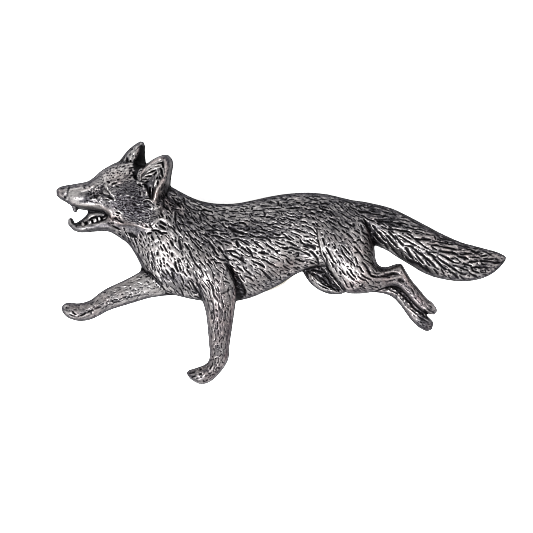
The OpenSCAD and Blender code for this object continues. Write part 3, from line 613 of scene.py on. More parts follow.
# ---------------------------------------------------------------------------
# Head. Nose and muzzle
# ---------------------------------------------------------------------------
area([(57, 189), (62, 186), (69, 185), (80, 183), (90, 181), (97, 178), (98, 183), (97, 200), (103, 203), (108, 208),
      (112, 214), (108, 222), (112, 224), (117, 226), (113, 231.5), (104, 233), (80, 234), (68, 228),
      (66, 217), (74, 212), (60, 200)], 1.2, 0.0, -0.10, 1.0)
spot(62, 192.5, 3.4, 3.4, 10, 0.10, -0.10)
line(1.0, 0.05, 0.14, [(60, 191), (63, 190.5), (66, 191.2)])
spot(66.6, 191.4, 1.0, 0.9, 0, 0.06, 0.16)
line(0.75, 0.03, 0.26, [(70.4, 190), (77, 189.9), (83, 190.3), (88, 189.4), (92, 187.3), (94.4, 185.8)], 0.2, 0.5)
line(0.7, 0.06, 0.22, [(60.3, 195.6), (62.5, 196.2), (64.3, 197.5)])
line(1.2, -0.12, -0.15, [(69.4, 186.6), (68.8, 189.4), (68.2, 192.5), (66.8, 195.5), (65.6, 198), (63.8, 200.2)])
spot(65.4, 197.2, 1.0, 0.9, 60, -0.25, -0.25)
line(0.8, 0.08, 0.20, [(66.5, 199.8), (68, 199.2), (68.6, 197.8)])
line(1.0, 0.12, 0.16, [(71.5, 189.6), (77, 188.6), (83, 188.3)])
line(0.8, 0.12, 0.26, [(82, 190.7), (86.5, 190.4), (90, 188.8), (93, 187), (94.6, 185.8)])
dash(86.5, 188.4, 90, 187, 0.9, 0.08, 0.22)
spot(92.6, 186.4, 1.1, 0.8, -20, 0.08, 0.22)
spot(85, 187.6, 0.9, 0.7, 0, -0.1, -0.28)
# the bulge of the muzzle is painted lighter as painted highlight, and flecked light and dark
area([(70, 192), (74, 190.6), (80, 190.8), (84, 193), (85, 198), (81, 202), (76, 203.4), (71.5, 201), (69.6, 197)], 2.6, 0.06, 0.10)
for x, y, r, t in [(73.5, 192.8, 1.6, 0.12), (78, 193.4, 1.8, 0.10), (71.8, 197.8, 1.3, 0.14), (74.2, 199.6, 1.5, 0.12), (77, 197, 1.2, -0.10),
                   (81.5, 196.5, 1.8, -0.10), (84, 200, 1.8, -0.16), (87.5, 196.5, 2.6, -0.20), (74.8, 195.6, 0.9, -0.10)]:
    spot(x, y, r, r * 0.85, 0, 0.02, t)

# Pitted hollow in front of the eye
spot(95.5, 193.5, 6.5, 4.6, 20, -0.22, -0.20)
for x, y, r in [(91.6, 194.6, 1.0), (91.5, 198.1, 1.0), (87.4, 200.5, 0.8), (94.4, 193.3, 0.9), (96.8, 190.9, 1.0), (95, 195.6, 1.0),
                (97.8, 193.6, 0.9), (100.2, 190.8, 1.0), (98.6, 195.6, 1.3), (101.2, 193.2, 1.4), (90, 191.4, 0.8), (97.5, 197.6, 0.8),
                (93, 196.8, 0.7), (89.4, 193.6, 0.8), (99, 188.4, 0.8)]:
    spot(x, y, r, r, 0, -0.14, -0.30)
for x, y, r in [(93, 191.8, 0.7), (96, 188.6, 0.8), (99.4, 192.3, 0.6), (96.4, 192.8, 0.5), (93.4, 198.6, 0.6), (100.5, 196.6, 0.6)]:
    spot(x, y, r, r, 0, 0.05, 0.26)
for x, y in [(99.4, 186.8), (101.2, 188.8), (98, 190.4), (99.8, 193.2), (101.6, 195.6), (96.4, 195.2), (94.8, 190.6), (93, 193), (91.4, 192.2), (89.6, 195.8),
             (97.2, 188.2), (103.2, 196.6), (95.6, 197.4), (100.4, 197.6), (98.8, 191.8), (102.4, 190.6), (103.6, 186.4), (92.2, 190), (96.2, 187.2)]:
    spot(x, y, 0.62, 0.55, 0, -0.05, -0.26)
for x, y in [(97.4, 191.6), (95.4, 194), (99.2, 194.8), (92, 195.6), (101.6, 192), (90.4, 193), (94, 188.6), (98.4, 197), (102, 198)]:
    spot(x, y, 0.5, 0.45, 0, 0.02, 0.24)
spot(92.6, 199.8, 1.4, 0.8, 0, 0.06, 0.26)
spot(95.8, 198.9, 1.0, 0.6, -30, 0.06, 0.26)
line(0.65, 0.06, 0.28, [(96.6, 199.6), (97.6, 201.4), (99.6, 202), (101.4, 200.6), (101, 198.4), (99.6, 197.4)])
spot(99.4, 199.8, 0.8, 0.7, 0, -0.05, -0.10)

# fine speckle over the muzzle and the nose
scatter = np.random.default_rng(41)
for _ in range(190):
    x, y = scatter.uniform(58, 101), scatter.uniform(184, 207)
    spot(x, y, scatter.uniform(0.45, 1.0), scatter.uniform(0.4, 0.65), scatter.uniform(-30, 60), 0.0, scatter.choice([-0.36, -0.22, 0.18, 0.28]))

# Eye in its socket: the socket painted dark with patina and painted shade, the eye painted light
area([(99.5, 186.5), (103, 184.6), (105.2, 187), (106.6, 190), (111, 194), (115, 198.5), (112, 199.6), (107, 197), (103, 196.2), (100.5, 193)], 1.2, -0.14, -0.20)
spot(102.6, 187.2, 1.6, 1.8, 30, -0.1, -0.2)
area([(103.4, 191.2), (105.2, 189.9), (107.4, 191.2), (109.4, 193.4), (110.2, 195), (107.6, 194.9), (105, 194.2), (103.6, 192.6)], 0.5, 0.42, 0.36)
spot(108.8, 193.9, 1.0, 0.6, 30, 0.04, 0.14)
for x1, y1, x2, y2 in [(105.5, 198.2, 109, 198.6), (110, 199.8, 113, 200.4), (107, 200.8, 110.5, 201.4)]:
    dash(x1, y1, x2, y2, 0.6, 0.05, 0.30)
for x1, y1, x2, y2 in [(106, 199.6, 110, 200.3), (108, 196.8, 113, 198.6)]:
    dash(x1, y1, x2, y2, 0.7, -0.08, -0.35)

# Brow and the ridge behind the eye
line(1.0, 0.06, 0.24, [(105.8, 176), (105.9, 180), (106.6, 184.5), (107.8, 188)])
line(1.0, 0.06, 0.42, [(107.6, 187), (109, 190.3), (111.2, 193.6), (113.6, 196.6), (115.6, 199.4)])
spot(115.4, 200.6, 1.1, 1.0, 0, 0.05, 0.26)
spot(107.7, 184.3, 0.7, 1.0, 0, 0.04, 0.22)

# Lips, their ridges painted light, part wear and part painted highlight
line(1.7, 0.10, 0.22, [(73.5, 203), (77.5, 204.6), (82, 205.2), (87, 205.4), (92, 205.2), (96.5, 205)], 0, 0.5)
line(0.8, 0.10, 0.40, [(96.5, 204), (99, 204.4), (101.5, 205.4)])
line(1.6, 0.12, 0.24, [(100, 205), (103.5, 207.2), (107, 209.4), (110.5, 212.4), (112.3, 216), (112, 220)], 0, 0.4)
line(1.0, 0.04, 0.04, [(80, 208), (88, 208.8), (96, 208.6), (101, 209)])
line(1.8, 0.04, 0.20, [(84, 207.6), (90, 208.0), (96, 207.8), (100, 208.4), (104, 210.2), (107.6, 213), (109, 216.4), (108.4, 219)])
spot(89, 202.4, 3.0, 1.1, 10, 0.02, 0.14)
spot(106.3, 205.2, 0.8, 1.0, 0, 0.04, 0.22)
spot(86, 201.8, 1.4, 0.8, 20, -0.05, -0.14)
spot(94, 203.5, 2.6, 0.8, 0, -0.04, -0.14)
area([(73.2, 206.5), (77.6, 207.6), (76.4, 209.6), (75, 211), (73.8, 209.6)], 0.8, 0.0, -0.06)

# Open mouth, its inside painted lighter as painted light against the shade of its depth
area([(79.5, 209.8), (86, 210.3), (92, 210.4), (98, 210.6), (103.5, 211.2), (107.2, 214), (108, 217), (105.5, 220), (99, 222.6), (91, 223.6),
      (85, 225), (88, 218), (90.5, 213.5), (88.6, 211.8)], 1.0, 0.0, 0.16)
line(0.9, -0.14, -0.14, [(81, 209.9), (86, 211), (90.5, 212), (97, 211.2), (102.5, 211.6)])
line(0.7, -0.15, -0.30, [(103.5, 211.4), (106.8, 214), (107.6, 216.6), (105.8, 219)])
for x, y, rx, ry, t in [(94.6, 216, 2.6, 1.0, 0.16), (103.4, 215, 1.5, 1.2, 0.14), (100.5, 214.4, 1.0, 0.7, 0.10), (89.6, 217.4, 0.9, 1.0, 0.26),
                        (92, 214.6, 1.4, 0.8, 0.08), (104.6, 217.4, 0.9, 1.1, 0.10)]:
    spot(x, y, rx, ry, 0, 0.05, 0.6 * t)
line(0.75, -0.20, -0.36, [(84.8, 225), (87.8, 223.6), (92.4, 222.6), (97, 222), (101, 220.8), (104.6, 219.2)])
line(0.6, -0.20, -0.30, [(90, 219.6), (93, 217.4), (97, 216.2)])
# teeth: (x, y, half width, half height, slant, level in mm)
for tx, ty, rx, ry, ang, level in [(83.2, 224.2, 1.3, 2.5, -8, 2.2), (90.1, 222.1, 2.1, 1.9, -10, 2.5), (95.2, 220.2, 2.15, 2.3, -20, 2.6), (99.6, 218.6, 1.6, 2.1, -20, 2.6)]:
    win = window(tx, ty, tx, ty, 4)
    c_, s_ = math.cos(math.radians(ang)), math.sin(math.radians(ang))
    dx, dy = PX[win] - tx, PY[win] - ty
    r4 = (np.abs((dx * c_ + dy * s_) / rx) ** 4 + np.abs((-dx * s_ + dy * c_) / ry) ** 4) ** 0.25
    k = np.exp(-r4 ** 9)
    height[win] += ((level - height[win]) * k).astype(np.float32)
spot(88.8, 222.2, 0.9, 0.9, 0, -0.05, -0.16)
spot(94.3, 220.4, 0.9, 0.9, 0, -0.04, -0.12)
for x1, y1, x2, y2 in [(85.8, 222.2, 86.8, 224.4), (92.5, 219.8, 92.8, 222.8), (97.7, 217.4, 97.9, 220.8), (101.8, 217.6, 102.4, 220.4)]:
    dash(x1, y1, x2, y2, 0.8, -0.35, -0.5)
line(0.8, 0.05, 0.20, [(93.5, 224.2), (98, 223.9), (102.8, 222.4)])
spot(102, 225.4, 9, 2.4, -4, 0.0, -0.14)
spot(83, 228, 2.6, 1.3, 8, 0.0, 0.16)

# Lower jaw and chin
line(1.4, 0.04, 0.02, [(87, 226.6), (94, 226.2), (101, 224.8), (106.5, 222.6)])
line(0.9, -0.12, -0.34, [(72, 219.4), (73, 222), (75.2, 223.8), (78, 224.4), (81, 223.9)])
spot(76.6, 226, 0.9, 0.9, 0, -0.15, -0.34)
spot(70.6, 222.4, 1.0, 1.8, -10, 0.06, 0.14)
spot(74.5, 226.2, 1.8, 1.0, 40, 0.03, 0.10)
spot(87.4, 229, 0.7, 1.0, 0, -0.08, -0.26)

# Whisker pits behind the mouth
spot(118, 217, 6.0, 4.5, 25, 0.10, 0.22)
for x1, y1, x2, y2, w in [(116.6, 212.4, 120.6, 213.4, 0.8), (117, 215.5, 119.4, 215.7, 0.6), (114.6, 218.6, 118.4, 219.6, 0.9), (118, 220.2, 124, 223, 0.85),
                          (115.8, 217.4, 117.4, 218.4, 0.7), (119.6, 217.6, 120.6, 219, 0.5)]:
    dash(x1, y1, x2, y2, w, -0.20, -0.60)
for x1, y1, x2, y2, w in [(116, 210.8, 120.4, 211.4, 0.6), (120.6, 211.8, 123.6, 214.6, 0.7), (111.4, 215, 113, 218.6, 0.9), (113.4, 216.6, 116.4, 216.4, 0.7),
                          (121, 217, 123.6, 220.6, 1.0), (119.4, 214.6, 121.6, 216, 0.6)]:
    dash(x1, y1, x2, y2, w, 0.08, 0.34)

# Lower edge of the ruff and the throat, its rim painted light as painted highlight
line(1.25, 0.14, 0.22, [(111.6, 217.6), (113, 220.2), (116.5, 222.4), (121.5, 223.8), (127, 224.2), (133, 225), (140, 226.4), (146, 228), (151, 228.8)], 0, 0.6)
line(1.6, 0.04, 0.12, [(126, 222), (132, 222.4), (140, 224), (148, 226)], 0, 0.5)
area([(112, 219), (120, 222.4), (132, 223), (144, 225.6), (152, 228.6), (150, 232), (140, 231.5), (128, 229), (118, 226.4)], 1.2, 0.0, -0.02, 0.9)
dash(113, 225.6, 121, 230, 0.75, -0.16, -0.55)
area([(128, 233), (131, 232.8), (135, 234.6), (136.5, 237), (133.5, 237.4), (130, 236)], 0.8, -0.20, -0.34)
for x1, y1, x2, y2, w in [(119, 233.4, 121, 235, 0.8), (134.6, 238, 137.4, 245, 0.8), 
                          (129, 240.4, 131, 242, 0.7), (125.5, 231.5, 128, 235.6, 0.6), (133, 242, 135, 247, 0.6)]:
    dash(x1, y1, x2, y2, w, -0.18, -0.52)

# Rear edge of the ruff with its bold tufts
# the edge of the ruff is painted bright, a painted highlight
line(1.2, 0.08, 0.50, [(152.4, 226.8), (154.4, 225), (156.6, 222.4), (158.8, 219.6), (160.8, 218.4), (163.4, 218.8), (166, 220.2), (168.6, 222.4), (170.2, 224.4)], 0, 0.3)
for x1, y1, x2, y2, w in [
    (160.6, 221.4, 166.4, 225.2, 1.2), (159.8, 225.2, 165.8, 229, 1.2), (152.6, 230.2, 159.4, 230.6, 0.9), (158.4, 231, 163.6, 234.4, 1.0),
    (163, 232.4, 167.6, 233.2, 0.9), (147.6, 233.8, 152, 232.6, 0.9), 
    
    (161.2, 212.6, 163.6, 217, 0.8), (166.6, 215.6, 167.4, 219, 0.7),
    (163.4, 205.8, 168.6, 210, 0.9), (157, 204.2, 160.4, 205.4, 0.8), 
    
]:
    dash(x1, y1, x2, y2, w, -0.24, -0.62)
for x1, y1, x2, y2, w in [
    (161.4, 224.6, 166.2, 226.6, 0.6), (160.6, 230, 166.6, 231.6, 0.9), 
    (148.6, 236, 151, 238.4, 0.7), 
    (168.8, 230.4, 174, 235.4, 0.9), (161.6, 206.6, 163.8, 211.6, 0.9), (163.6, 214.6, 166.8, 217.6, 0.9),
    (176.6, 229.6, 183, 236.6, 0.7),
]:
    dash(x1, y1, x2, y2, w, 0.05, 0.42)

# Tufts of the cheek under the near ear
line(0.7, 0.08, 0.26, [(136.6, 204), (140, 204.4), (144.6, 204.3)], 0.2)
line(0.75, 0.08, 0.26, [(143.6, 201.4), (146, 199.9), (149.4, 199.8), (151.6, 201.2), (153.6, 202.8)])
line(0.7, -0.10, -0.34, [(145.2, 202), (147.4, 201), (150, 201.4), (152.4, 203.2)])
dash(145, 206.2, 152.4, 207.4, 0.75, -0.18, -0.60)
line(0.9, 0.12, 0.36, [(152.4, 207.6), (155.6, 208.8), (159, 208.4), (160.6, 206.2)])
line(0.7, 0.08, 0.24, [(152, 209.6), (157, 210.4), (160.4, 212)])
for x1, y1, x2, y2, w in [(132, 197.4, 134.4, 196.6, 0.8), (142.6, 192, 142.8, 196.2, 0.6), (147, 191.6, 147.6, 194.4, 0.6), (120.6, 196.4, 122.6, 195, 0.6),
                          (126, 195, 130.5, 195.6, 0.6), (131, 212.4, 134, 213.4, 0.6), (143, 211, 146, 212, 0.6)]:
    dash(x1, y1, x2, y2, w, 0.08, 0.30)
for x1, y1, x2, y2, w in [(133.4, 198.4, 136, 199, 1.0), (138.4, 197.2, 143.4, 197.8, 0.7), (146, 198.4, 151, 198.8, 0.7), (133, 203.6, 137, 205.4, 1.1),
                          (138.2, 211.6, 142.4, 212.6, 0.8), (131, 212.6, 134, 215, 0.7), (145.6, 215.4, 149.6, 215.8, 0.7), (134.6, 208.4, 140, 208.8, 0.6),
                          (128, 210.6, 131, 211.4, 0.6), (116, 207.4, 117.6, 208.8, 0.7), (139.6, 219.4, 140.4, 220.6, 0.7), (126.4, 188.6, 127.6, 190.6, 0.7),
                          (131, 191.4, 135.6, 191.8, 0.7), (140.4, 191, 141, 195, 0.7), (152.6, 213.6, 156, 214.4, 0.6)]:
    dash(x1, y1, x2, y2, w, -0.10, -0.40)

# Forehead: pits and light tufts
spot(116, 175, 12, 6.5, -20, 0.05, 0.16)
for x1, y1, x2, y2, w in [
    (106.8, 173, 109.6, 173.2, 0.8), (113, 173, 115, 173.8, 0.9), (117.6, 172.6, 119, 173.4, 0.7), (108, 181.6, 110.6, 182.6, 1.1),
    (113, 177.2, 114.4, 177.8, 0.7), (112.6, 184.4, 117.6, 182.8, 0.9), (118, 180.2, 120, 179, 0.8), (116.6, 186, 119.6, 187.4, 0.8),
    (116, 168.4, 118, 168, 0.7), (121, 172.2, 123, 171.2, 0.6), (111.6, 176, 112.8, 175.4, 0.5), (124.6, 174.4, 126.4, 173.4, 0.6),
    (110, 178.6, 111.6, 178, 0.5), (122.4, 167.4, 126, 165.8, 0.6), (126.4, 160, 128.4, 161.8, 1.1), (130.6, 160.6, 131.4, 161.6, 0.8),
    (129.8, 168.4, 133.8, 167.6, 1.1), (130, 171.6, 132.6, 170, 1.2), (133, 171.6, 134.6, 174, 1.0), (129.8, 173, 130.8, 174.2, 0.8),
    (131, 176.2, 134.6, 175.2, 1.1), (129.8, 177.8, 131.6, 178.4, 0.8), (134.4, 178, 136.4, 176, 1.0), (121.4, 161, 123, 159.6, 0.9),
]:
    dash(x1, y1, x2, y2, w, -0.16, -0.58)
for x1, y1, x2, y2, w in [
    (129, 163.4, 133.4, 163.8, 0.9), (130.6, 166.6, 133.2, 166.2, 1.0), (125, 165.2, 128.4, 164.4, 0.6), (126.4, 173.8, 129.4, 172.4, 1.2),
    (130.8, 174.2, 132.8, 173.6, 0.5), (133.4, 171.8, 135.2, 170.6, 0.5), (129.6, 179.4, 134.2, 178.8, 0.7), (115.4, 177.8, 117, 176.8, 0.8),
    (121, 178.4, 123.6, 176.6, 0.8), (111, 184, 114.4, 181.8, 0.8), (113.6, 185.8, 116, 185.2, 0.6), (116.6, 176.2, 119.6, 175.2, 0.6),
    (109.4, 185, 110.6, 184, 0.6), (121, 169.8, 124, 168.8, 0.9), (112.4, 169.6, 113.2, 169, 0.6), (115.2, 171, 116.4, 170.6, 0.7),
    (108, 177, 110, 180, 0.7), (105.4, 178, 106.4, 182, 0.7), (125.6, 170.4, 128, 169.4, 0.8), (118.6, 183.4, 121, 182.6, 0.6),
]:
    dash(x1, y1, x2, y2, w, 0.07, 0.34)
area([(134.4, 162), (138.5, 165), (142.5, 166.4), (139.4, 170.5), (137.4, 176), (137.2, 180), (134.6, 178), (134.2, 170)], 0.9, -0.35, -0.40, 0.8)

# ---------------------------------------------------------------------------
# Far ear: ribs in front, a hollow behind painted black with patina and painted shade
# ---------------------------------------------------------------------------
area([(140.4, 144.8), (143.6, 146), (144.6, 151), (145, 158), (145.4, 166), (139, 168), (133.6, 165), (136.4, 159), (138.6, 152)], 2.0, -0.6, -0.46, 0.9)
line(1.1, 0.06, 0.06, [(139, 147), (138.8, 150), (137.8, 154), (135.6, 159)], 0, 0.9)
dash(135.6, 151.6, 133.4, 154.2, 0.8, 0.10, 0.34)
dash(132.4, 155.4, 130.2, 158.8, 0.9, 0.10, 0.34)
dash(133.6, 150, 129.6, 154.6, 0.7, 0.06, 0.20)
dash(129.4, 152.6, 127.4, 156.6, 0.7, 0.04, 0.14)
spot(137, 148.6, 1.2, 1.4, 20, 0.06, 0.24)
spot(132.6, 149.3, 0.8, 0.6, 0, -0.12, -0.45)
dash(131.8, 152.2, 129.4, 155, 0.6, -0.10, -0.28)
dash(134, 154.4, 131.8, 157.6, 0.6, -0.08, -0.24)
spot(130.6, 155, 0.7, 0.6, 0, -0.06, -0.28)
spot(127.4, 158.8, 0.9, 1.8, -10, -0.16, -0.45)
spot(124.4, 157.6, 0.7, 1.4, 30, -0.05, -0.18)
spot(122, 160.2, 1.2, 1.4, 0, -0.12, -0.28)

# ---------------------------------------------------------------------------
# Near ear: a thick rim round a deep cup full of hair
# ---------------------------------------------------------------------------
CUP = [(141.6, 178.6), (142.8, 174.6), (146.4, 169.8), (151.4, 165), (156.8, 161.4), (161.6, 160.2), (164.3, 162.4), (165.4, 168), (164.6, 175),
       (161.6, 181), (157.8, 187), (154.8, 193), (153, 198.4), (151, 197.6), (149.0, 191), (146, 186), (143.4, 182.6)]
area(CUP, 1.8, -0.75, 0.0, 1.0)
area([(150.5, 176.6), (155, 174.6), (156.4, 178.6), (154.4, 184), (154.6, 191), (153.6, 197.4), (151, 195), (149, 189.4), (146.4, 184.6)], 1.2, -0.25, -0.32)
area([(157, 170), (160, 168.6), (162.6, 169), (163, 175), (160.8, 179.4), (157.6, 178.6), (156, 174)], 1.0, -0.20, -0.22)
# hair: tufts painted light, part painted highlight
for x1, y1, x2, y2, w, t in [
    (156.6, 163.4, 162.4, 161.4, 0.65, 0.34), (155.4, 165.8, 161.8, 164.4, 0.75, 0.40), (154.6, 168.6, 160.4, 167.6, 0.75, 0.46), (151, 167.4, 154.2, 165.6, 0.9, 0.46),
    (147.4, 170.4, 151, 168, 0.8, 0.26), (147.2, 172.8, 151.4, 171.2, 0.8, 0.30), (144.6, 176.2, 149.6, 174.8, 0.8, 0.44), (149.6, 174.9, 154.8, 173.4, 0.9, 0.56),
    (141.8, 179.6, 145, 176.4, 0.9, 0.26), (143, 181.2, 147.2, 181, 0.9, 0.40), (146.6, 179, 151.4, 178.2, 0.8, 0.36), (143.6, 173.4, 146, 171, 0.6, 0.14),
    (157.4, 180, 156.4, 184.2, 1.0, 0.60), (159.8, 183.4, 160.2, 179.6, 0.8, 0.40), (158.6, 174.4, 158, 170.8, 0.75, 0.34), (163.8, 176.4, 163.4, 170.6, 0.6, 0.36),
    (161.8, 179, 161.4, 175, 0.6, 0.36), (160, 173, 160.8, 169.4, 0.5, 0.20), (155.2, 186.4, 154.6, 183.6, 0.7, 0.30), (162.6, 167, 162.2, 165.4, 0.8, 0.38),
    (152.2, 193, 151.8, 188, 0.5, 0.26), (153.4, 181, 154.4, 177.6, 0.5, 0.12), (164.8, 168.4, 164.6, 164.4, 0.5, 0.26),
]:
    dash(x1, y1, x2, y2, w, 0.12, 1.15 * t)
# and the gaps between them, painted black with patina and painted shade
for x1, y1, x2, y2, w in [
    (157.6, 163.8, 163, 162.8, 0.7), (163.2, 163, 163.8, 168, 0.8), (155.6, 167.2, 160.4, 166, 0.5), (151, 172.6, 156.4, 170.4, 1.0), (146, 176.8, 152.6, 176.2, 0.65),
    (148, 173.4, 151, 172.6, 0.5), (154.6, 175.4, 157, 172, 0.8), (161, 168.6, 163, 172.6, 0.8), (162.4, 173, 163.6, 177, 0.55), (160.4, 176.4, 160.4, 179, 0.6),
    (158.2, 177, 157, 179.6, 0.7), (158.6, 181, 158.4, 186, 0.65), (150.6, 187, 150.6, 193.6, 0.8), (153.4, 188, 153.2, 195, 0.6), (143.4, 179.6, 149.4, 179.8, 0.35),
    (146, 182.6, 149, 181.6, 0.7), (148.6, 169.6, 152.6, 168.6, 0.35),
]:
    dash(x1, y1, x2, y2, w, -0.30, -0.45)
# rim
line(1.1, 0.10, 0.10, [(141, 178.4), (141.8, 174.6), (144.8, 169.8), (149, 165.6), (153.6, 162), (158.6, 159.2), (163.4, 158.4)], 0, 0.7)
line(1.6, 0.10, 0.04, [(165.6, 160.4), (167, 164.6), (166.8, 170.4), (165.6, 176.4), (163.8, 182), (161.6, 187.4)], 0, 0.9)
line(2.2, 0.10, 0.10, [(163.6, 181), (161, 186.4), (158.4, 191.4), (157, 196), (155.8, 201)], 0, 0.9)
line(1.4, 0.08, 0.14, [(157.2, 187.6), (156, 191.6), (154.8, 196.4), (154.6, 200.4)], 0, 0.4)
spot(159.2, 187.2, 0.9, 0.9, 0, 0.06, 0.30)
for x, y in [(158.6, 159.6), (162.4, 158.2), (168.6, 163), (168.4, 171), (166.8, 178)]:
    spot(x, y, 1.0, 0.8, 0, -0.04, -0.14)
for x1, y1, x2, y2, w in [(137.6, 182, 140.4, 183.4, 0.8), (141, 183.6, 145, 183.2, 0.8)]:
    dash(x1, y1, x2, y2, w, 0.14, 0.44)
for x1, y1, x2, y2, w in [(139.4, 181.2, 145, 181.6, 0.6), (138, 184.8, 142, 185.8, 0.6), (142.6, 184.9, 146.6, 185.2, 0.7), (140, 185.8, 144, 187.2, 0.6)]:
    dash(x1, y1, x2, y2, w, -0.18, -0.50)
area([(146.6, 184.8), (149, 189.4), (151, 196), (147.4, 191.6), (144.6, 187)], 0.8, -0.25, -0.32)

body = height.copy()          # the form without its fur
print("fields done")

# ---------------------------------------------------------------------------
# Direction of the fur: (x, y, angle below the x axis towards the tail)
# ---------------------------------------------------------------------------
FLOW_BODY = [
    (170, 190, 38), (180, 200, 38), (200, 206, 22), (190, 215, 42), (165, 220, 48), (160, 238, 62),
    (175, 230, 52), (150, 240, 66), (140, 246, 66), (160, 255, 66), (180, 255, 62), (172, 275, 62),
    (186, 285, 62), (200, 240, 48), (205, 225, 38), (220, 215, 18), (222, 235, 32), (205, 258, 58),
    (228, 250, 28), (240, 235, 22), (232, 208, 6), (260, 206, 0), (290, 203, 2), (320, 203, 14),
    (250, 222, 12), (280, 220, 14), (262, 238, 22), (250, 255, 26), (270, 250, 24), (290, 240, 22),
    (300, 230, 24), (305, 250, 20), (310, 215, 26), (330, 210, 32), (350, 208, 30), (330, 222, 38),
    (285, 262, 24), (265, 272, 28), (250, 282, 34), (240, 290, 44), (300, 262, 18), (290, 270, 10),
]
FLOW_THIGH = [
    (325, 212, 36), (345, 212, 38), (330, 228, 48), (350, 225, 42), (362, 222, 50), (322, 245, 72),
    (332, 250, 64), (345, 245, 54), (360, 242, 56), (370, 250, 62), (330, 268, 64), (345, 268, 56),
    (358, 262, 50), (366, 270, 44), (350, 282, 46), (362, 284, 32), (340, 284, 60),
]
FLOW_TAIL = [
    (362, 208, 14), (380, 212, 6), (395, 217, 12), (375, 228, 48), (388, 232, 42), (400, 228, 24),
    (400, 245, 42), (415, 232, 24), (415, 250, 38), (432, 238, 18), (432, 255, 38), (445, 246, 10),
    (450, 262, 36), (465, 252, 4), (465, 268, 30), (480, 256, 2), (480, 268, 16), (495, 260, 4),
]
FLOW_HEAD = [
    (92, 182, -25), (105, 172, -35), (120, 170, -30), (132, 168, -32), (118, 185, -10), (135, 190, 6),
    (148, 196, 10), (125, 205, 8), (140, 212, 12), (150, 220, 16), (110, 208, 30), (80, 196, 0),
    (155, 208, 40), (118, 220, 22),
]
FLOW_SHOULDER = [
    (196, 236, 48), (190, 250, 60), (205, 250, 56), (215, 245, 40), (198, 265, 62), (212, 262, 60),
    (222, 258, 48), (205, 280, 66), (220, 275, 72), (210, 292, 72), (226, 290, 84), (218, 304, 84),
    (220, 320, 88), (220, 345, 92), (214, 362, 115), (200, 374, 160),
]


def idw(table, x, y, power=3.0):
    """Angle of the flow at each point, from the nearest entries of a table."""
    sx = np.zeros(x.shape, np.float32)
    sy = np.zeros(x.shape, np.float32)
    for tx, ty, a in table:
        w = 1.0 / ((x - tx) ** 2 + (y - ty) ** 2 + 4.0) ** (power / 2)
        sx += w * math.cos(math.radians(a))
        sy += w * math.sin(math.radians(a))
    n = np.hypot(sx, sy) + 1e-12
    return sx / n, sy / n


def set_flow(part, table, win=None):
    win = fields[part][0]
    here = label[win] == L[part]
    fx, fy = idw(table, PX[win], PY[win])
    flow_x[win] = np.where(here, fx, flow_x[win])
    flow_y[win] = np.where(here, fy, flow_y[win])


set_flow("trunk", FLOW_BODY)
set_flow("tail", FLOW_TAIL)
set_flow("head", FLOW_HEAD)
set_flow("near_fore", FLOW_SHOULDER)
# the lower hind leg keeps the direction of the limb
win, dist, along, across = fields["near_hind"]
fx, fy = idw(FLOW_THIGH, PX[win], PY[win])
w = np.clip((along - 8.5) / 2.0, 0, 1)
here = label[win] == L["near_hind"]
fx, fy = fx * (1 - w) + flow_x[win] * w, fy * (1 - w) + flow_y[win] * w
n = np.hypot(fx, fy) + 1e-9
flow_x[win] = np.where(here, fx / n, flow_x[win])
flow_y[win] = np.where(here, fy / n, flow_y[win])
flow_x, flow_y = blur(flow_x, 1.2), blur(flow_y, 1.2)
n = np.hypot(flow_x, flow_y) + 1e-9
flow_x, flow_y = flow_x / n, flow_y / n
flow_angle = np.arctan2(flow_y, flow_x)

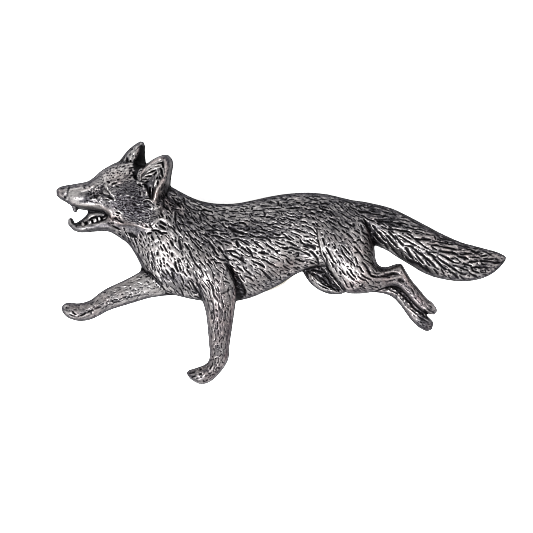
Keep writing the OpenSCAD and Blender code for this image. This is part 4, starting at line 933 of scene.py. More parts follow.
# ---------------------------------------------------------------------------
# How the fur is cut: (x, y, length, gap across, width, depth in mm)
# Each entry rules round its own place.
# ---------------------------------------------------------------------------
STYLE = {
    "trunk": [
        (190, 200, 7.5, 3.6, 0.70, 0.18), (170, 215, 7.0, 3.6, 0.85, 0.22), (165, 238, 8.0, 3.5, 0.82, 0.22), (165, 258, 8.0, 3.3, 0.70, 0.19),
        (180, 285, 10, 4.0, 0.62, 0.15), (145, 245, 8.5, 4.2, 0.60, 0.11), (205, 225, 8.0, 3.5, 0.85, 0.19),
        (230, 206, 7.0, 3.4, 0.56, 0.11), (260, 204, 7.0, 3.4, 0.58, 0.13), (290, 198, 6.0, 3.2, 0.52, 0.11), (320, 200, 7.0, 3.2, 0.58, 0.13),
        (240, 220, 7.5, 3.6, 0.82, 0.21), (290, 216, 7.0, 3.4, 0.76, 0.19), (260, 236, 9.0, 3.8, 0.85, 0.20),
        (245, 255, 9.5, 3.9, 0.95, 0.24), (285, 245, 9.0, 3.6, 0.85, 0.22), (280, 265, 7.0, 3.6, 0.62, 0.15),
        (250, 285, 7.0, 3.6, 0.55, 0.12), (335, 210, 8.5, 3.5, 0.74, 0.17), (305, 255, 7.0, 3.2, 0.75, 0.19), (325, 225, 8.0, 3.6, 0.70, 0.15),
        (350, 210, 9.0, 3.6, 0.70, 0.16),
    ],
    "near_hind": [
        (325, 245, 8.0, 3.6, 0.60, 0.13), (340, 235, 8.0, 4.0, 0.55, 0.11), (360, 235, 8.5, 3.8, 0.80, 0.18), (362, 252, 8.0, 3.8, 0.80, 0.18),
        (345, 270, 8.5, 3.8, 0.74, 0.18), (362, 268, 8.0, 3.8, 0.76, 0.18), (360, 288, 4.5, 3.6, 0.55, 0.10), (338, 278, 8.0, 3.8, 0.60, 0.12),
        (390, 278, 5.0, 3.4, 0.50, 0.07), (412, 290, 5.0, 3.2, 0.50, 0.08), (428, 306, 3.6, 3.2, 0.45, 0.06),
    ],
    "tail": [
        (370, 210, 9.0, 3.4, 0.62, 0.14), (395, 216, 11, 3.4, 0.65, 0.15), (385, 236, 13, 4.4, 1.10, 0.30), (410, 232, 12, 4.2, 0.95, 0.25),
        (415, 250, 14, 4.4, 1.15, 0.31), (430, 236, 12, 3.8, 0.80, 0.20), (430, 266, 12, 4.2, 1.0, 0.26), (445, 260, 13, 4.3, 1.10, 0.29),
        (450, 246, 12, 3.8, 0.95, 0.26), (470, 262, 10, 4.0, 1.15, 0.32), (472, 275, 9, 3.8, 1.0, 0.27), (490, 258, 7.5, 3.6, 0.95, 0.24), (500, 261, 5.0, 3.8, 0.50, 0.07),
    ],
    "near_fore": [
        (200, 240, 8.5, 3.6, 0.80, 0.19), (205, 260, 9.5, 3.8, 0.80, 0.19), (208, 285, 12, 4.0, 0.75, 0.19),
        (226, 275, 9.0, 4.0, 0.60, 0.12), (215, 312, 6.0, 2.9, 0.54, 0.095), (220, 340, 4.5, 2.8, 0.48, 0.08),
        (212, 365, 3.6, 3.4, 0.50, 0.08), (198, 376, 4.0, 4.0, 0.45, 0.05),
    ],
    "far_fore": [
        (150, 280, 4.5, 3.4, 0.58, 0.10), (130, 290, 5.5, 3.4, 0.54, 0.095), (105, 303, 5.5, 3.2, 0.54, 0.095),
        (75, 311, 4.0, 3.8, 0.55, 0.08),
    ],
    "far_thigh": [(320, 280, 5.0, 2.8, 0.60, 0.16)],
    "far_hind": [(395, 295, 5.5, 3.4, 0.70, 0.14), (420, 320, 4.0, 3.4, 0.50, 0.09)],
    "head": [
        (95, 181, 2.4, 2.6, 0.50, 0.05), (110, 175, 3.0, 3.0, 0.55, 0.08), (128, 170, 3.2, 2.6, 0.52, 0.09), (115, 190, 2.6, 2.0, 0.40, 0.05),
        (125, 195, 2.6, 1.9, 0.40, 0.05), (140, 192, 2.6, 1.9, 0.40, 0.05), (125, 210, 2.6, 1.9, 0.40, 0.05), (140, 210, 2.8, 1.9, 0.40, 0.05),
        (150, 217, 3.2, 2.1, 0.50, 0.08), (108, 205, 2.4, 2.8, 0.45, 0.05), (160, 205, 5.0, 2.8, 0.60, 0.11),
    ],
    "jaw": [(118, 230, 5.5, 3.6, 0.55, 0.08), (130, 235, 6.0, 3.6, 0.60, 0.12)],
    "far_ear": [(130, 155, 5.0, 2.8, 0.50, 0.07)],
    "near_ear": [(166, 162, 2.6, 2.6, 0.40, 0.035), (150, 164, 2.6, 2.8, 0.35, 0.025), (166, 180, 4.0, 2.8, 0.50, 0.07), (164, 194, 5.5, 2.8, 0.65, 0.13)],
}


def style_maps(part):
    """Length, gap, width and depth of the strokes over one part's window."""
    win = fields[part][0]
    x, y = PX[win], PY[win]
    total = np.zeros(x.shape, np.float32)
    out = [np.zeros(x.shape, np.float32) for _ in range(4)]
    for row in STYLE[part]:
        w = 1.0 / ((x - row[0]) ** 2 + (y - row[1]) ** 2 + 9.0) ** 2
        total += w
        for k in range(4):
            out[k] += w * row[2 + k]
    return win, [o / total for o in out]


groove = np.zeros((NY, NX), np.float32)     # 0 to 1, how deep inside a cut
cut = np.zeros((NY, NX), np.float32)        # depth of the fur in mm
lip = np.zeros((NY, NX), np.float32)        # 0 to 1, on the lip beside a cut
wobble = blur(rng.standard_normal((NY, NX)).astype(np.float32), 1.6)
wobble *= 0.17 / wobble.std()
swell = blur(rng.standard_normal((NY, NX)).astype(np.float32), 1.1)
swell = np.clip(1 + 0.26 * swell / swell.std(), 0.45, 1.7)

# ---------------------------------------------------------------------------
# The larger cuts of the fur, one by one: [full width, x, y, x, y, ...]
# ---------------------------------------------------------------------------
SLITS = [
    # neck and chest
    [1.6, 157.5, 235.3, 160.8, 240.2], [2.0, 151.8, 236, 154.3, 240.3], [1.4, 148.4, 237.3, 149.9, 239.6], [1.0, 151.4, 240.4, 152.6, 241.8],
    [1.5, 158.4, 241.2, 159.6, 242.4], [1.5, 148.7, 243.9, 149.2, 246.4], [1.1, 146.3, 246.4, 146.7, 247.8], [1.0, 152.4, 244.4, 153.8, 246.3],
    [1.7, 160.4, 245.3, 163.8, 250.8], [2.0, 163.6, 243.8, 166, 248.8, 168.7, 252.8], [1.7, 167.4, 242.3, 169.2, 244.8], [2.3, 170.4, 239.6, 173.9, 245.8],
    [1.1, 165.4, 234.9, 170, 239], [1.9, 175.4, 239.3, 176.6, 241.8], [2.6, 179, 239.6, 180.6, 244.4, 181.8, 250], [1.0, 179.6, 235.4, 179.8, 240],
    [0.8, 180.6, 236, 184, 240.2], [1.9, 184.4, 242.6, 187.4, 246.8, 190.2, 250.2], [2.4, 190.2, 250, 191, 254.4, 193.2, 258.8], [2.0, 193, 258.6, 196.6, 264.4, 201.6, 269.6],
    [1.6, 201, 269.2, 203.2, 273.4, 204.2, 275.4], [1.5, 194.2, 242.6, 199.4, 248.8, 204.4, 252.8], [1.5, 187.6, 231.2, 190.6, 236, 194.8, 239.8], [1.8, 194.3, 230.2, 198.2, 235.2],
    [1.6, 197.8, 239.8, 200.7, 243.2], [1.5, 201.3, 237.3, 203.3, 239.8], [1.8, 199.2, 259.8, 203.8, 265], [1.8, 196.3, 253.6, 197.9, 256.8],
    [1.4, 193.4, 248.8, 194.7, 250.8], [2.5, 172.2, 252.2, 172.8, 256.8], [1.2, 174.9, 257.8, 175.9, 260.3], [1.7, 178.2, 259.3, 179.1, 262.8],
    [1.8, 176, 260.8, 175.8, 265.2], [2.2, 175.2, 264.2, 178.9, 271.5], [1.8, 179.6, 265.8, 181.9, 270.8], [1.8, 171.5, 267.8, 175.3, 271.6],
    [2.0, 172.4, 271.8, 173.4, 275.6, 174.6, 279.3], [1.6, 184.3, 272.2, 187.9, 276.3], [1.7, 187.6, 265.7, 189.2, 268.2], [1.3, 187.3, 268.8, 189.5, 272.7],
    [1.6, 195.8, 270.8, 197.1, 273.8], [1.9, 195.3, 276.8, 197.9, 281.2], [1.2, 198.8, 274.3, 201.2, 277.7], [1.7, 189.8, 279.8, 194.2, 284.2],
    [1.7, 182.2, 259.3, 183.9, 258.2], [1.0, 186, 256.8, 187.2, 259.2], [1.9, 163.4, 257.3, 164.8, 260.8], [1.3, 164.1, 264.6, 165.4, 266.4],
    [1.4, 166.8, 262.8, 168.2, 265.2], [1.8, 160.2, 263.8, 161.8, 267.2], [1.2, 161.3, 268.3, 163.5, 271.6, 166.7, 275.2], [1.6, 165.8, 274, 166.6, 275],
    [1.0, 160.2, 272.8, 161.2, 276.4], [2.6, 158.3, 251.6, 157.9, 255.4], [1.9, 151.8, 250.8, 152.4, 254, 154.7, 258.8], [1.6, 147.4, 252.3, 148.4, 256.8, 148.8, 260.3],
    [1.2, 142.4, 250.8, 144.2, 256.3], [1.8, 139.3, 239.2, 141.2, 242], [1.5, 140.8, 244.3, 143.7, 247.7], [1.7, 151.9, 260.8, 152.5, 265.8, 153.7, 269.8],
    [1.4, 145.9, 265.3, 148.5, 269.8], [1.8, 142.3, 266.8, 143.6, 270.2], [1.0, 157, 266.8, 157.5, 268.7], [1.7, 147.8, 270.8, 152.8, 275, 157.2, 279.7],
    # shoulder and the back behind the ear
    [1.6, 186, 197, 188.9, 199.2], [1.1, 190.4, 199, 192.2, 200.2], [1.3, 176, 197.8, 178.7, 200.7], [1.6, 184.4, 199.3, 184.7, 203.6, 189, 207, 194.2, 209.7, 198, 210.6],
    [1.7, 175, 202.3, 179.4, 206, 181.2, 208.4], [1.4, 180.4, 203.8, 183.3, 205.3], [1.4, 171, 206.8, 175, 208.9, 180.2, 209.7], [1.6, 166.3, 205.8, 170, 210.6, 172.7, 214.3],
    [1.2, 184.9, 207.8, 188.3, 211.3], [1.4, 188.3, 213.2, 190.7, 211.8], [2.0, 191.3, 215.2, 195.2, 220.8], [2.2, 184.4, 213.2, 186.7, 217.8],
    [2.8, 187, 221.4, 192.8, 223.2], [2.2, 176.2, 210.6, 175.6, 216, 176.2, 223.4], [2.1, 176.2, 223.4, 178.9, 228.8, 181.2, 232.4], [1.5, 170.8, 226.3, 175.3, 230.8],
    [1.2, 181.8, 223.8, 184.3, 225.2], [1.6, 186.3, 224.8, 189.3, 228.4], [1.3, 194.8, 222, 197.3, 222.6], [1.9, 200.4, 215.8, 200.8, 218.6, 202.2, 221.6],
    [1.5, 203.3, 211.8, 206, 214, 209, 215.1, 214.4, 215.6], [1.7, 206.3, 217.3, 208.7, 219.8], [1.6, 212.3, 215.8, 215.7, 219.4], [1.7, 199.8, 226.8, 203.3, 229.8],
    [1.3, 205.8, 221.8, 209.3, 224.8], [1.8, 211.3, 226.3, 214.5, 228.6, 219.8, 230.2], [1.4, 205, 230.6, 211, 230.2, 219, 230.4, 223.8, 231.6], [1.8, 205.8, 232.3, 207.6, 235.8, 210.3, 237.2],
    [1.8, 210.8, 235.6, 217, 236, 223, 238, 225.3, 239.9], [1.4, 201.8, 233.3, 204.3, 234.7], [1.7, 216.4, 204.3, 217.2, 206.8],
    [1.1, 224.8, 205.5, 230.8, 205.6], [1.2, 208.3, 202.9, 211.3, 204.7], [1.1, 196.8, 200.8, 199.3, 202.2], [1.4, 200.3, 204.2, 202.8, 204.5],
    [1.1, 196.3, 205.6, 199.3, 206.7], [0.9, 215.8, 208.4, 219.3, 209.1], [1.2, 219.8, 210.4, 226.3, 210.9], [1.6, 228.8, 211.4, 238.2, 211.6],
    [1.6, 229.8, 216.1, 236.3, 216.4], [1.7, 221.8, 214.8, 225.3, 216.9], [2.0, 220.3, 220.6, 225, 220, 229.4, 221.7], [1.9, 222.3, 222.2, 224, 226, 227.8, 228.2],
    [4.4, 228.6, 226.6, 233, 229.6, 236.6, 231.8], [3.2, 235, 231, 240.2, 232.4, 244.6, 234], [1.7, 204, 233.7, 208.4, 237.2], [1.9, 204.3, 240.3, 208.3, 242.7],
    # flank behind the shoulder
    [2.0, 220.3, 233.8, 225, 233.6, 229.4, 234.2], [1.8, 231.2, 239.9, 237, 238.9, 241.4, 240.4, 246, 243.2, 249.8, 245.8], [2.4, 236.8, 239.8, 237.3, 243.8, 238.7, 247.4], [2.6, 240.8, 247, 246, 249.6],
    [2.0, 246.3, 246.8, 249, 249.6, 251, 252.6, 253.2, 257.8], [1.8, 243.8, 249.4, 248, 251.8, 252.2, 254.8], [0.9, 240.8, 250.4, 244.3, 253.8], [1.6, 244.8, 254.3, 248.8, 256.1, 252.8, 255.2],
    [1.4, 252.3, 257.2, 256.3, 257.4], [1.4, 255.8, 257.9, 259.6, 258.8], [2.5, 208.2, 240.4, 213, 246.8, 215, 251], [2.2, 214.8, 250.6, 217, 253.6, 219.2, 255.8],
    [2.8, 218.4, 246.6, 221.4, 250, 223.4, 253.2], [2.0, 223, 252.6, 224.6, 255.2, 228, 259, 232.6, 260.2], [2.1, 215.8, 240.3, 219, 242, 222.4, 244.8], [2.1, 220.8, 240.6, 226, 241.4, 232.4, 243.8],
    [1.8, 225.2, 251, 229, 250.9, 234, 251, 238.4, 253.8, 240.4, 255.4], [2.1, 229.8, 251.8, 233, 255.4, 238, 257.6, 241, 259.8, 246.4, 263.4], [3.4, 240.6, 257.6, 243.6, 260.8], [1.6, 207.8, 258.3, 210, 262, 213.3, 264.8],
    [1.6, 206.8, 262.8, 209, 265.2, 211.3, 268.4], [1.5, 206.8, 252.8, 209.3, 256.8], [2.3, 210.8, 259.6, 215.8, 259], [1.7, 214.3, 260.3, 217.3, 263.8],
    [1.9, 215.8, 255.8, 219, 258.1, 222.8, 260, 226.4, 259.4], [1.4, 216, 261.8, 222.3, 263.2], [1.3, 216.3, 267.8, 219, 270.4, 222.4, 272.8], [1.5, 220.8, 266.8, 223, 268, 225.3, 270.4],
    [1.3, 224.3, 275.8, 226, 277.6, 228.3, 279.3], [1.6, 213.8, 274.4, 215.2, 274.6], [1.0, 217.5, 271.8, 217.5, 274.3], [1.4, 215.3, 278.3, 218, 281, 219.3, 283.3],
    [1.4, 222.8, 280.8, 227, 281.6, 230.4, 283.2], [1.8, 206.8, 279.9, 210.3, 280.6], [1.5, 236.8, 264.8, 238.6, 267.5, 240.8, 269.8], [1.1, 236.3, 263.8, 240.3, 264.6],
    [1.8, 242.8, 265.2, 245, 269, 248.4, 272, 251.8, 275.3], [1.8, 243.8, 275.3, 247, 276.5, 251, 278.4, 253.8, 281.3], [1.6, 240, 274.2, 242, 278, 245.3, 281.8], [1.5, 253.8, 275.2, 257.3, 279.4],
    [1.5, 260.6, 275, 261.6, 275.8], [2.0, 254.8, 261.8, 259, 263.5, 262, 265.4, 264.8, 267.8], [1.2, 252.8, 263.8, 257.3, 265.7], [1.8, 259.8, 268.8, 263, 271, 266, 275, 269, 278, 272.3, 280.3],
    [1.4, 254.3, 268.8, 256.8, 270], [2.2, 260.8, 259.3, 265.5, 260.5, 270, 263.4, 275.3, 265.8], [3.0, 260.4, 252.4, 265.6, 252.8], [1.6, 258, 252.4, 261, 252.6], [1.4, 265.6, 253, 269.4, 254.2],
    [2.0, 253.8, 241.3, 257, 244, 260.4, 246.5, 263.8, 249.2], [1.4, 255.8, 246.3, 258.3, 247.7], [2.0, 265.8, 242.8, 269, 246, 272, 248, 275.3, 250.2], [1.8, 254.6, 236.8, 259, 237, 264, 237, 268, 238.8, 270, 241, 271.2, 243.8],
    [1.7, 249.8, 233.8, 253, 236, 256.2, 236.6], [1.7, 250.8, 239.6, 253.8, 240.1], [1.7, 256.3, 230.3, 259, 232, 263, 232.5, 266.3, 234.4], [1.5, 267.8, 231.4, 272.3, 231.7],
    [1.4, 269.8, 256.4, 274.3, 257.7], [1.0, 261.8, 256.3, 265.3, 257.7],
    # back
    [1.2, 230.8, 207.6, 232.8, 206.9], [1.5, 239.8, 208.8, 243, 209.2, 244.4, 211.4, 246.3, 211.6], [1.1, 244.8, 208.2, 250.3, 208.8], [1.9, 251.6, 209.8, 252.6, 207.3],
    [1.4, 252.4, 210.2, 256.5, 210.6, 262, 210.3, 264.8, 209.8], [2.1, 262.8, 211.3, 265, 213.4, 264.6, 216.2], [1.7, 244.8, 214, 248.3, 213.8], [1.2, 254.8, 214.2, 259.8, 214.4],
    [1.6, 259.8, 216.2, 265.8, 216.6], [2.1, 265.8, 217.1, 271, 216.5], [1.3, 271, 216.6, 275.4, 217.7], [0.9, 236.8, 216.9, 242.3, 217.4],
    [1.2, 249.6, 214.4, 250.6, 217.4], [1.2, 235.8, 220.2, 239.8, 220.4], [2.2, 249.8, 219.3, 252.4, 221, 253.8, 221.2], [1.1, 254.4, 219.4, 256.2, 219.6],
    [0.9, 258.8, 219.9, 262.3, 220.6], [2.0, 238.8, 222.8, 243.5, 222.8, 246.3, 224.8], [1.8, 229.8, 222.8, 231.5, 224, 234, 225, 238.4, 225.4], [0.9, 250.8, 223.9, 256.3, 224.6],
    [1.3, 262.8, 221.8, 266, 223.5], [2.0, 266, 223.3, 269, 224.5, 274.4, 224], [1.6, 279.3, 222.3, 281.5, 223.9, 285.3, 224.4], [1.2, 284.8, 222.8, 287.8, 223.7],
    [1.8, 274.3, 226.9, 278, 227.3, 280.8, 228.7], [1.0, 271.8, 228.4, 274.3, 228.9], [1.8, 239.8, 228.2, 243, 228.5, 245, 230, 248.5, 229.7, 249.6, 226.8], [1.4, 238.8, 235.9, 245.8, 236.6],
    [1.8, 272.3, 232.3, 275, 234, 278, 234.8, 280.3, 234.5], [1.5, 268.3, 235.8, 271, 237.5, 275, 237.8, 280, 237.5, 285.3, 237.6], [1.8, 281, 232.4, 283.2, 233], [2.4, 285.3, 235.8, 287.5, 238, 291.3, 240.2],
    [1.5, 290.8, 237.3, 294.3, 239.7], [1.4, 295.8, 235.8, 299.3, 238.2], [1.8, 274.8, 241.3, 279, 243, 284.3, 245.2], [2.2, 286.2, 241.3, 290, 242.5, 293, 244.5, 297.3, 246.2],
    [1.4, 265.3, 243.8, 267.3, 246.3], [1.8, 277.9, 202.3, 278.5, 204.8], [1.2, 281.5, 203.8, 281.6, 206.8], [1.9, 282.8, 202.7, 287.8, 202.8],
    [2.0, 295.8, 202.4, 299.8, 203.1], [0.9, 265.8, 203, 270.3, 202.2], [1.9, 260.2, 205.7, 266, 206, 270.8, 206], [1.1, 259.3, 200.5, 262.8, 200.2],
    [1.8, 268.6, 208.2, 275, 208.4, 281.4, 208.4], [1.2, 280.8, 206.8, 284.3, 207.7], [2.2, 288.8, 208.6, 293, 208, 297, 207.4, 300.4, 208.1], [0.8, 266.8, 212.2, 272.3, 212.6],
    [1.4, 280.8, 212.3, 282.6, 215.8], [1.0, 289.3, 213.2, 292.3, 213.6], [1.6, 280.3, 217.8, 282, 219.5, 286.3, 219.3], [1.8, 286, 217.3, 290, 219.4, 295.3, 220.2],
    [1.1, 276.8, 219.2, 278.8, 219.6], [1.3, 292.8, 228.9, 297.3, 230], [1.6, 287.2, 198.4, 284.9, 199.8],
    [0.8, 288.8, 199.5, 294.3, 199.7],
    # rump
    [1.2, 308.3, 196, 312, 196.3, 320.4, 196.7], [1.1, 305.3, 197.1, 309.2, 197.9], [1.7, 309.8, 199.2, 313.5, 200, 317.3, 200.2, 320.8, 199.6], [1.7, 303.8, 202.8, 306.5, 202.5, 309.3, 201.8],
    [1.4, 308.8, 203.2, 312, 203.6, 317.3, 203.2], [2.1, 319.8, 201.3, 321.2, 203.6, 325, 203.3, 328.4, 204.7], [1.2, 316.8, 204.3, 320.3, 204.6], [1.8, 300.3, 204.2, 303, 205.1, 305.3, 203.7],
    [2.2, 319, 205.3, 319.8, 208.2, 323, 209.5, 328.4, 210.6], [1.4, 322.8, 205.9, 325, 207.5, 327.5, 208, 328.8, 209.2], [1.9, 329.3, 210.3, 332, 213.4, 334.9, 216.6], [2.0, 316.8, 211.2, 320, 211.5, 323.8, 212.3],
    [2.4, 310.3, 211.9, 312, 212.8, 315, 214.6], [2.2, 304.3, 207.9, 307, 209.4], [1.5, 306.8, 209.3, 309.4, 209.8, 313.3, 209.5], [1.3, 300.9, 213.4, 302.5, 213.8],
    [1.5, 304.3, 213.8, 306.8, 216.2, 309.8, 217.7], [1.2, 294.3, 213.9, 297, 215.7, 299.3, 216.7], [2.0, 311.8, 217.6, 314.4, 218.5], [1.1, 313.3, 219, 315.8, 220.2],
    [1.8, 300, 221.2, 304, 221.5, 307.3, 223.2], [1.3, 289.8, 219.2, 295.3, 220.2], [0.9, 288.8, 221.2, 293.3, 222.7], [1.9, 312, 223.5, 314.9, 224.5],
    [1.4, 315.3, 222.3, 317, 225, 319.8, 226.8], [1.1, 316.8, 228.6, 321.3, 229.7], [1.9, 325.2, 221.3, 327.8, 222.3], [1.5, 324.3, 218.6, 327.2, 217.4],
    [1.7, 328.3, 217.3, 331, 218.6, 334.4, 219.7], [1.8, 326.8, 219.3, 329.5, 221.5, 332.8, 223.5, 335.3, 225.8], [1.8, 331.8, 225.8, 335.5, 228.5, 339.6, 231.9], [2.0, 337.2, 220.6, 339, 223.5, 341.5, 226, 345, 227.7, 348.8, 229.2],
    [1.9, 341.3, 229.2, 343.5, 231.5, 344.8, 233.2], [1.7, 333.9, 205.3, 335.7, 208.4], [1.6, 339.8, 205.8, 343.7, 209.6], [1.2, 336.3, 208.8, 338.7, 211.2],
    [1.0, 335.8, 216.3, 340.3, 216], [1.4, 328.8, 200.7, 332.3, 202.7], [1.0, 330.8, 196.5, 333.3, 196.7], [1.2, 342.9, 202.2, 343.7, 202.8],
    [1.1, 325.8, 230.3, 328.8, 232.8], [1.1, 324.8, 232.2, 327.3, 234.3], [1.7, 331.8, 234, 333.8, 235.2, 335.3, 238.6, 336.9, 240.6], [1.6, 320.8, 233.3, 322.9, 235.2],
    [2.0, 321.9, 237.3, 323.3, 240.8, 324.3, 245.4], [1.6, 317.4, 239.8, 318.9, 243.4], [1.2, 327.4, 236.8, 329.6, 240.8], [1.2, 341.1, 240.4, 342.8, 242.1],
    [1.5, 304.8, 225.2, 309.5, 227.4, 312.5, 229.5, 315, 232.5, 317, 235.2], [1.5, 309.3, 232.8, 312, 235, 316.3, 236.4], [1.5, 301.8, 225.3, 304.2, 226.5], [1.5, 295.8, 228.9, 300, 230.4, 305.4, 232.7],
    [1.4, 293.8, 233.3, 297.5, 234.6, 301.3, 236.7], [1.5, 303.8, 236.1, 308.8, 236.6], [1.7, 300.5, 238.8, 300.9, 241.5, 303.8, 243.8], [1.6, 306.3, 240.3, 309, 242, 311.3, 243.8],
    [0.9, 345.2, 203.4, 347.3, 203.9], [1.2, 345.8, 206.2, 349.2, 208.2], [1.0, 348.4, 204.3, 350.7, 206.7], [1.0, 347.8, 208.4, 352.3, 210.7],
    [1.1, 345.3, 210.8, 348.3, 213.2], [1.8, 341, 213.1, 343.5, 215, 347, 217.5, 351.5, 219.5], [1.4, 351.3, 215.3, 354.9, 217.2], [1.4, 353.9, 210.3, 356, 213, 359.3, 215.2],
    [1.1, 352.3, 201.7, 355.3, 202.9], [1.7, 355.3, 206.8, 358.5, 206, 362.3, 205.4], [1.8, 346, 232.8, 349, 235.5, 352, 238], [1.3, 343.8, 239.7, 346.3, 238.2],
    [1.3, 346.3, 243.3, 348.3, 244.5],
    # flank and belly
    [2.0, 274.8, 250.2, 278.3, 253.7], [1.8, 275.5, 250.9, 280.3, 250.4], [1.6, 276.8, 242.4, 281, 244, 286.3, 244.9], [1.3, 274.8, 244.3, 278.3, 245.6],
    [3.0, 282, 247.3, 285, 248.2, 288.6, 247.6], [1.9, 288.4, 247.4, 292, 247.5, 296, 249.3, 300.3, 250.2], [1.8, 299.3, 249.3, 302, 251.4, 306, 253, 310.3, 255.2],
    [2.0, 300.2, 241, 303, 243.5, 306, 245], [3.4, 305, 245, 309, 245.4, 312.6, 246.6, 315.4, 249.4], [1.9, 310.4, 242.4, 311.9, 243.9], [1.4, 302.8, 245.9, 306, 246.8, 309.3, 248.3],
    [2.1, 309.3, 250.8, 312.5, 253, 315, 255.5, 317.2, 258], [2.0, 317, 257.6, 318, 261.6, 318.7, 264.8], [1.5, 316.3, 250.8, 318.2, 253.9], [2.2, 287.8, 252.3, 292.4, 252.6],
    [2.2, 295.3, 252.8, 298.2, 253, 298.3, 255.4, 296, 256.4], [1.6, 280.8, 254.8, 285, 255.5, 287.3, 256.7], [1.6, 270.3, 255.8, 273.5, 257.5, 278, 259.5, 280.3, 261.2], [0.9, 271.3, 254.4, 274.3, 254.9],
    [2.0, 285.8, 258.3, 287.5, 261, 290, 263.4, 293.3, 264.2], [2.1, 294.3, 258.9, 298, 259.3, 301, 260.9, 304.8, 261.1], [1.4, 304.8, 260, 310, 259.7, 313.8, 260.6], [1.8, 309.3, 261.3, 312, 263, 314.8, 263.7],
    [1.6, 314.3, 260.8, 317.3, 262.8], [1.2, 283.4, 260.8, 284.2, 263.3], [1.9, 282.8, 264.8, 285.5, 267, 288, 268.4, 290.4, 269.2], [1.3, 292.8, 266.8, 296, 268, 297.8, 270.1],
    [1.8, 304.3, 264.6, 307.8, 266.5], [2.2, 261.8, 264.2, 264.8, 267.3], [1.4, 273.8, 266.4, 279.3, 267.5], [1.7, 261.8, 270.3, 265, 273, 268.5, 276, 272, 279.8, 276.4, 281.2],
    [1.0, 267.8, 270.3, 270.3, 272.8, 272.8, 275.2], [1.0, 270.8, 269.3, 274, 271.5, 277.4, 273.7], [1.2, 279.9, 270.8, 280.8, 273.4], [1.1, 280.2, 275.8, 280.7, 278.3],
    [2.2, 288.2, 273, 289.6, 274.4, 286.8, 274.9], [1.2, 290.8, 271.4, 292.2, 270.3], [1.2, 275.3, 276.3, 277.3, 277.7], [1.2, 263.3, 279.8, 265.3, 281.3],
    [1.2, 269.8, 279.8, 271.7, 282.3], [1.0, 271.3, 285.4, 273.8, 286.5],
    # far thigh
    [2.4, 305.4, 271, 307, 274.4, 308.6, 277.8], [2.0, 306, 270.2, 311, 267.4, 315.4, 266.8], [2.6, 312, 269.6, 318, 270.6, 323, 272.4], [1.8, 317.8, 283.3, 321, 286, 325, 287.6, 329.4, 289.4],
    [2.4, 319, 277, 323.4, 279.6, 327, 283.4], [2.4, 324, 274, 328.4, 278.4, 331.4, 283.6], [1.6, 313.4, 273.2, 315.6, 274.4], [1.4, 321.6, 282.6, 326, 285.4, 330.6, 286.8],
    # thigh
    [1.9, 325.3, 246.8, 327.4, 250, 329.5, 254, 331.5, 258, 333, 260.8, 335.8, 263.3], [1.9, 322.3, 251.3, 324.8, 255.8, 326.4, 259.2, 326.5, 263.8], [1.8, 328.1, 243.7, 329, 245.9], [1.0, 331.3, 243.3, 332.4, 245.3],
    [1.8, 333.3, 245.8, 334.9, 248.8], [1.5, 335.6, 250.3, 336.9, 252.3], [1.0, 337.3, 247.8, 338.6, 250.3], [1.8, 340.3, 244.8, 344, 248, 346.5, 251, 349.8, 254.8],
    [1.3, 347.1, 246.3, 349.3, 249.8], [2.2, 341, 249.3, 342.5, 253, 345, 256], [1.6, 344.8, 255.7, 349.5, 260.4, 353, 263.4, 354.7, 266.8], [1.7, 337.8, 255.3, 341.3, 256.8],
    [1.2, 337.9, 259.8, 339.5, 262.8, 339.1, 265.3], [1.8, 330.3, 261.8, 332.4, 264.8, 332.7, 267.8], [1.2, 345.8, 265.9, 348.8, 266.6], [2.2, 353.3, 245.8, 355.5, 248.5, 359, 252, 361, 255, 363.4, 257.9],
    [1.5, 353.8, 252.6, 357.3, 252.2], [2.2, 353.3, 257.1, 355, 257.5, 356, 260, 357.6, 264.7], [2.2, 355.8, 265.3, 359.4, 267, 361.5, 270.4, 363.7, 272.3], [1.5, 350.4, 262.3, 351.3, 265.3],
    [2.0, 348.3, 268.8, 350.5, 271, 352, 274, 355.3, 276.8], [2.0, 346.4, 270.3, 347.3, 273, 349.5, 275.5, 352, 278.4, 354.8, 279.7], [1.7, 341.3, 269.8, 343, 272.5, 345.3, 275.1], [1.8, 339.2, 270.8, 340.6, 274.3],
    [1.3, 337.8, 275.4, 341.3, 276.6], [1.0, 355.4, 271.3, 356.1, 273.3], [2.0, 357.3, 275.8, 359.5, 277.5, 362, 279.3, 366.4, 280.2], [1.8, 360.3, 273.3, 363.5, 276, 367, 278, 371.4, 279.7],
    [2.4, 361.3, 261.8, 364.4, 264.5, 366, 267, 368, 270.4, 369, 273, 372, 276, 375.4, 276.6], [1.5, 362.3, 258.3, 366, 260.5, 369, 262, 372, 264.4, 373.2, 266.3], [1.5, 363.3, 254.3, 367.4, 257, 370.2, 260.3], [1.4, 366.3, 250.4, 370.3, 251.7],
    [1.0, 367.8, 253.8, 370.3, 255.3], [2.0, 354, 230, 356.5, 231.5, 359.8, 233.2], [1.8, 343.3, 279.8, 345.5, 283, 347, 286.3, 349.3, 287.4], [2.3, 349.3, 281.8, 351.2, 285, 352.2, 287.4],
    [1.2, 352.8, 280.3, 357, 281.5, 360.3, 283.8], [1.9, 358.3, 285.3, 361, 286, 362.2, 284, 363.3, 283.3], [1.7, 361.8, 286.8, 365.3, 288.5], [1.5, 365.8, 280.8, 368.8, 283.8],
    [1.3, 368.3, 284.8, 371.5, 286, 374.4, 286.6], [1.1, 374.3, 281.2, 376.3, 282.2], [1.2, 378.6, 282.2, 379.6, 282.8], [1.1, 385.8, 281.3, 388.3, 281.6],
    [1.4, 381, 269.3, 381.8, 271.3], [2.2, 360, 224.3, 361.5, 227, 362.6, 230.8], [2.1, 360.8, 230.8, 364, 233.4, 367, 234.6, 369.2, 236.8], [1.5, 361.8, 235.3, 365, 238, 367.7, 241.3],
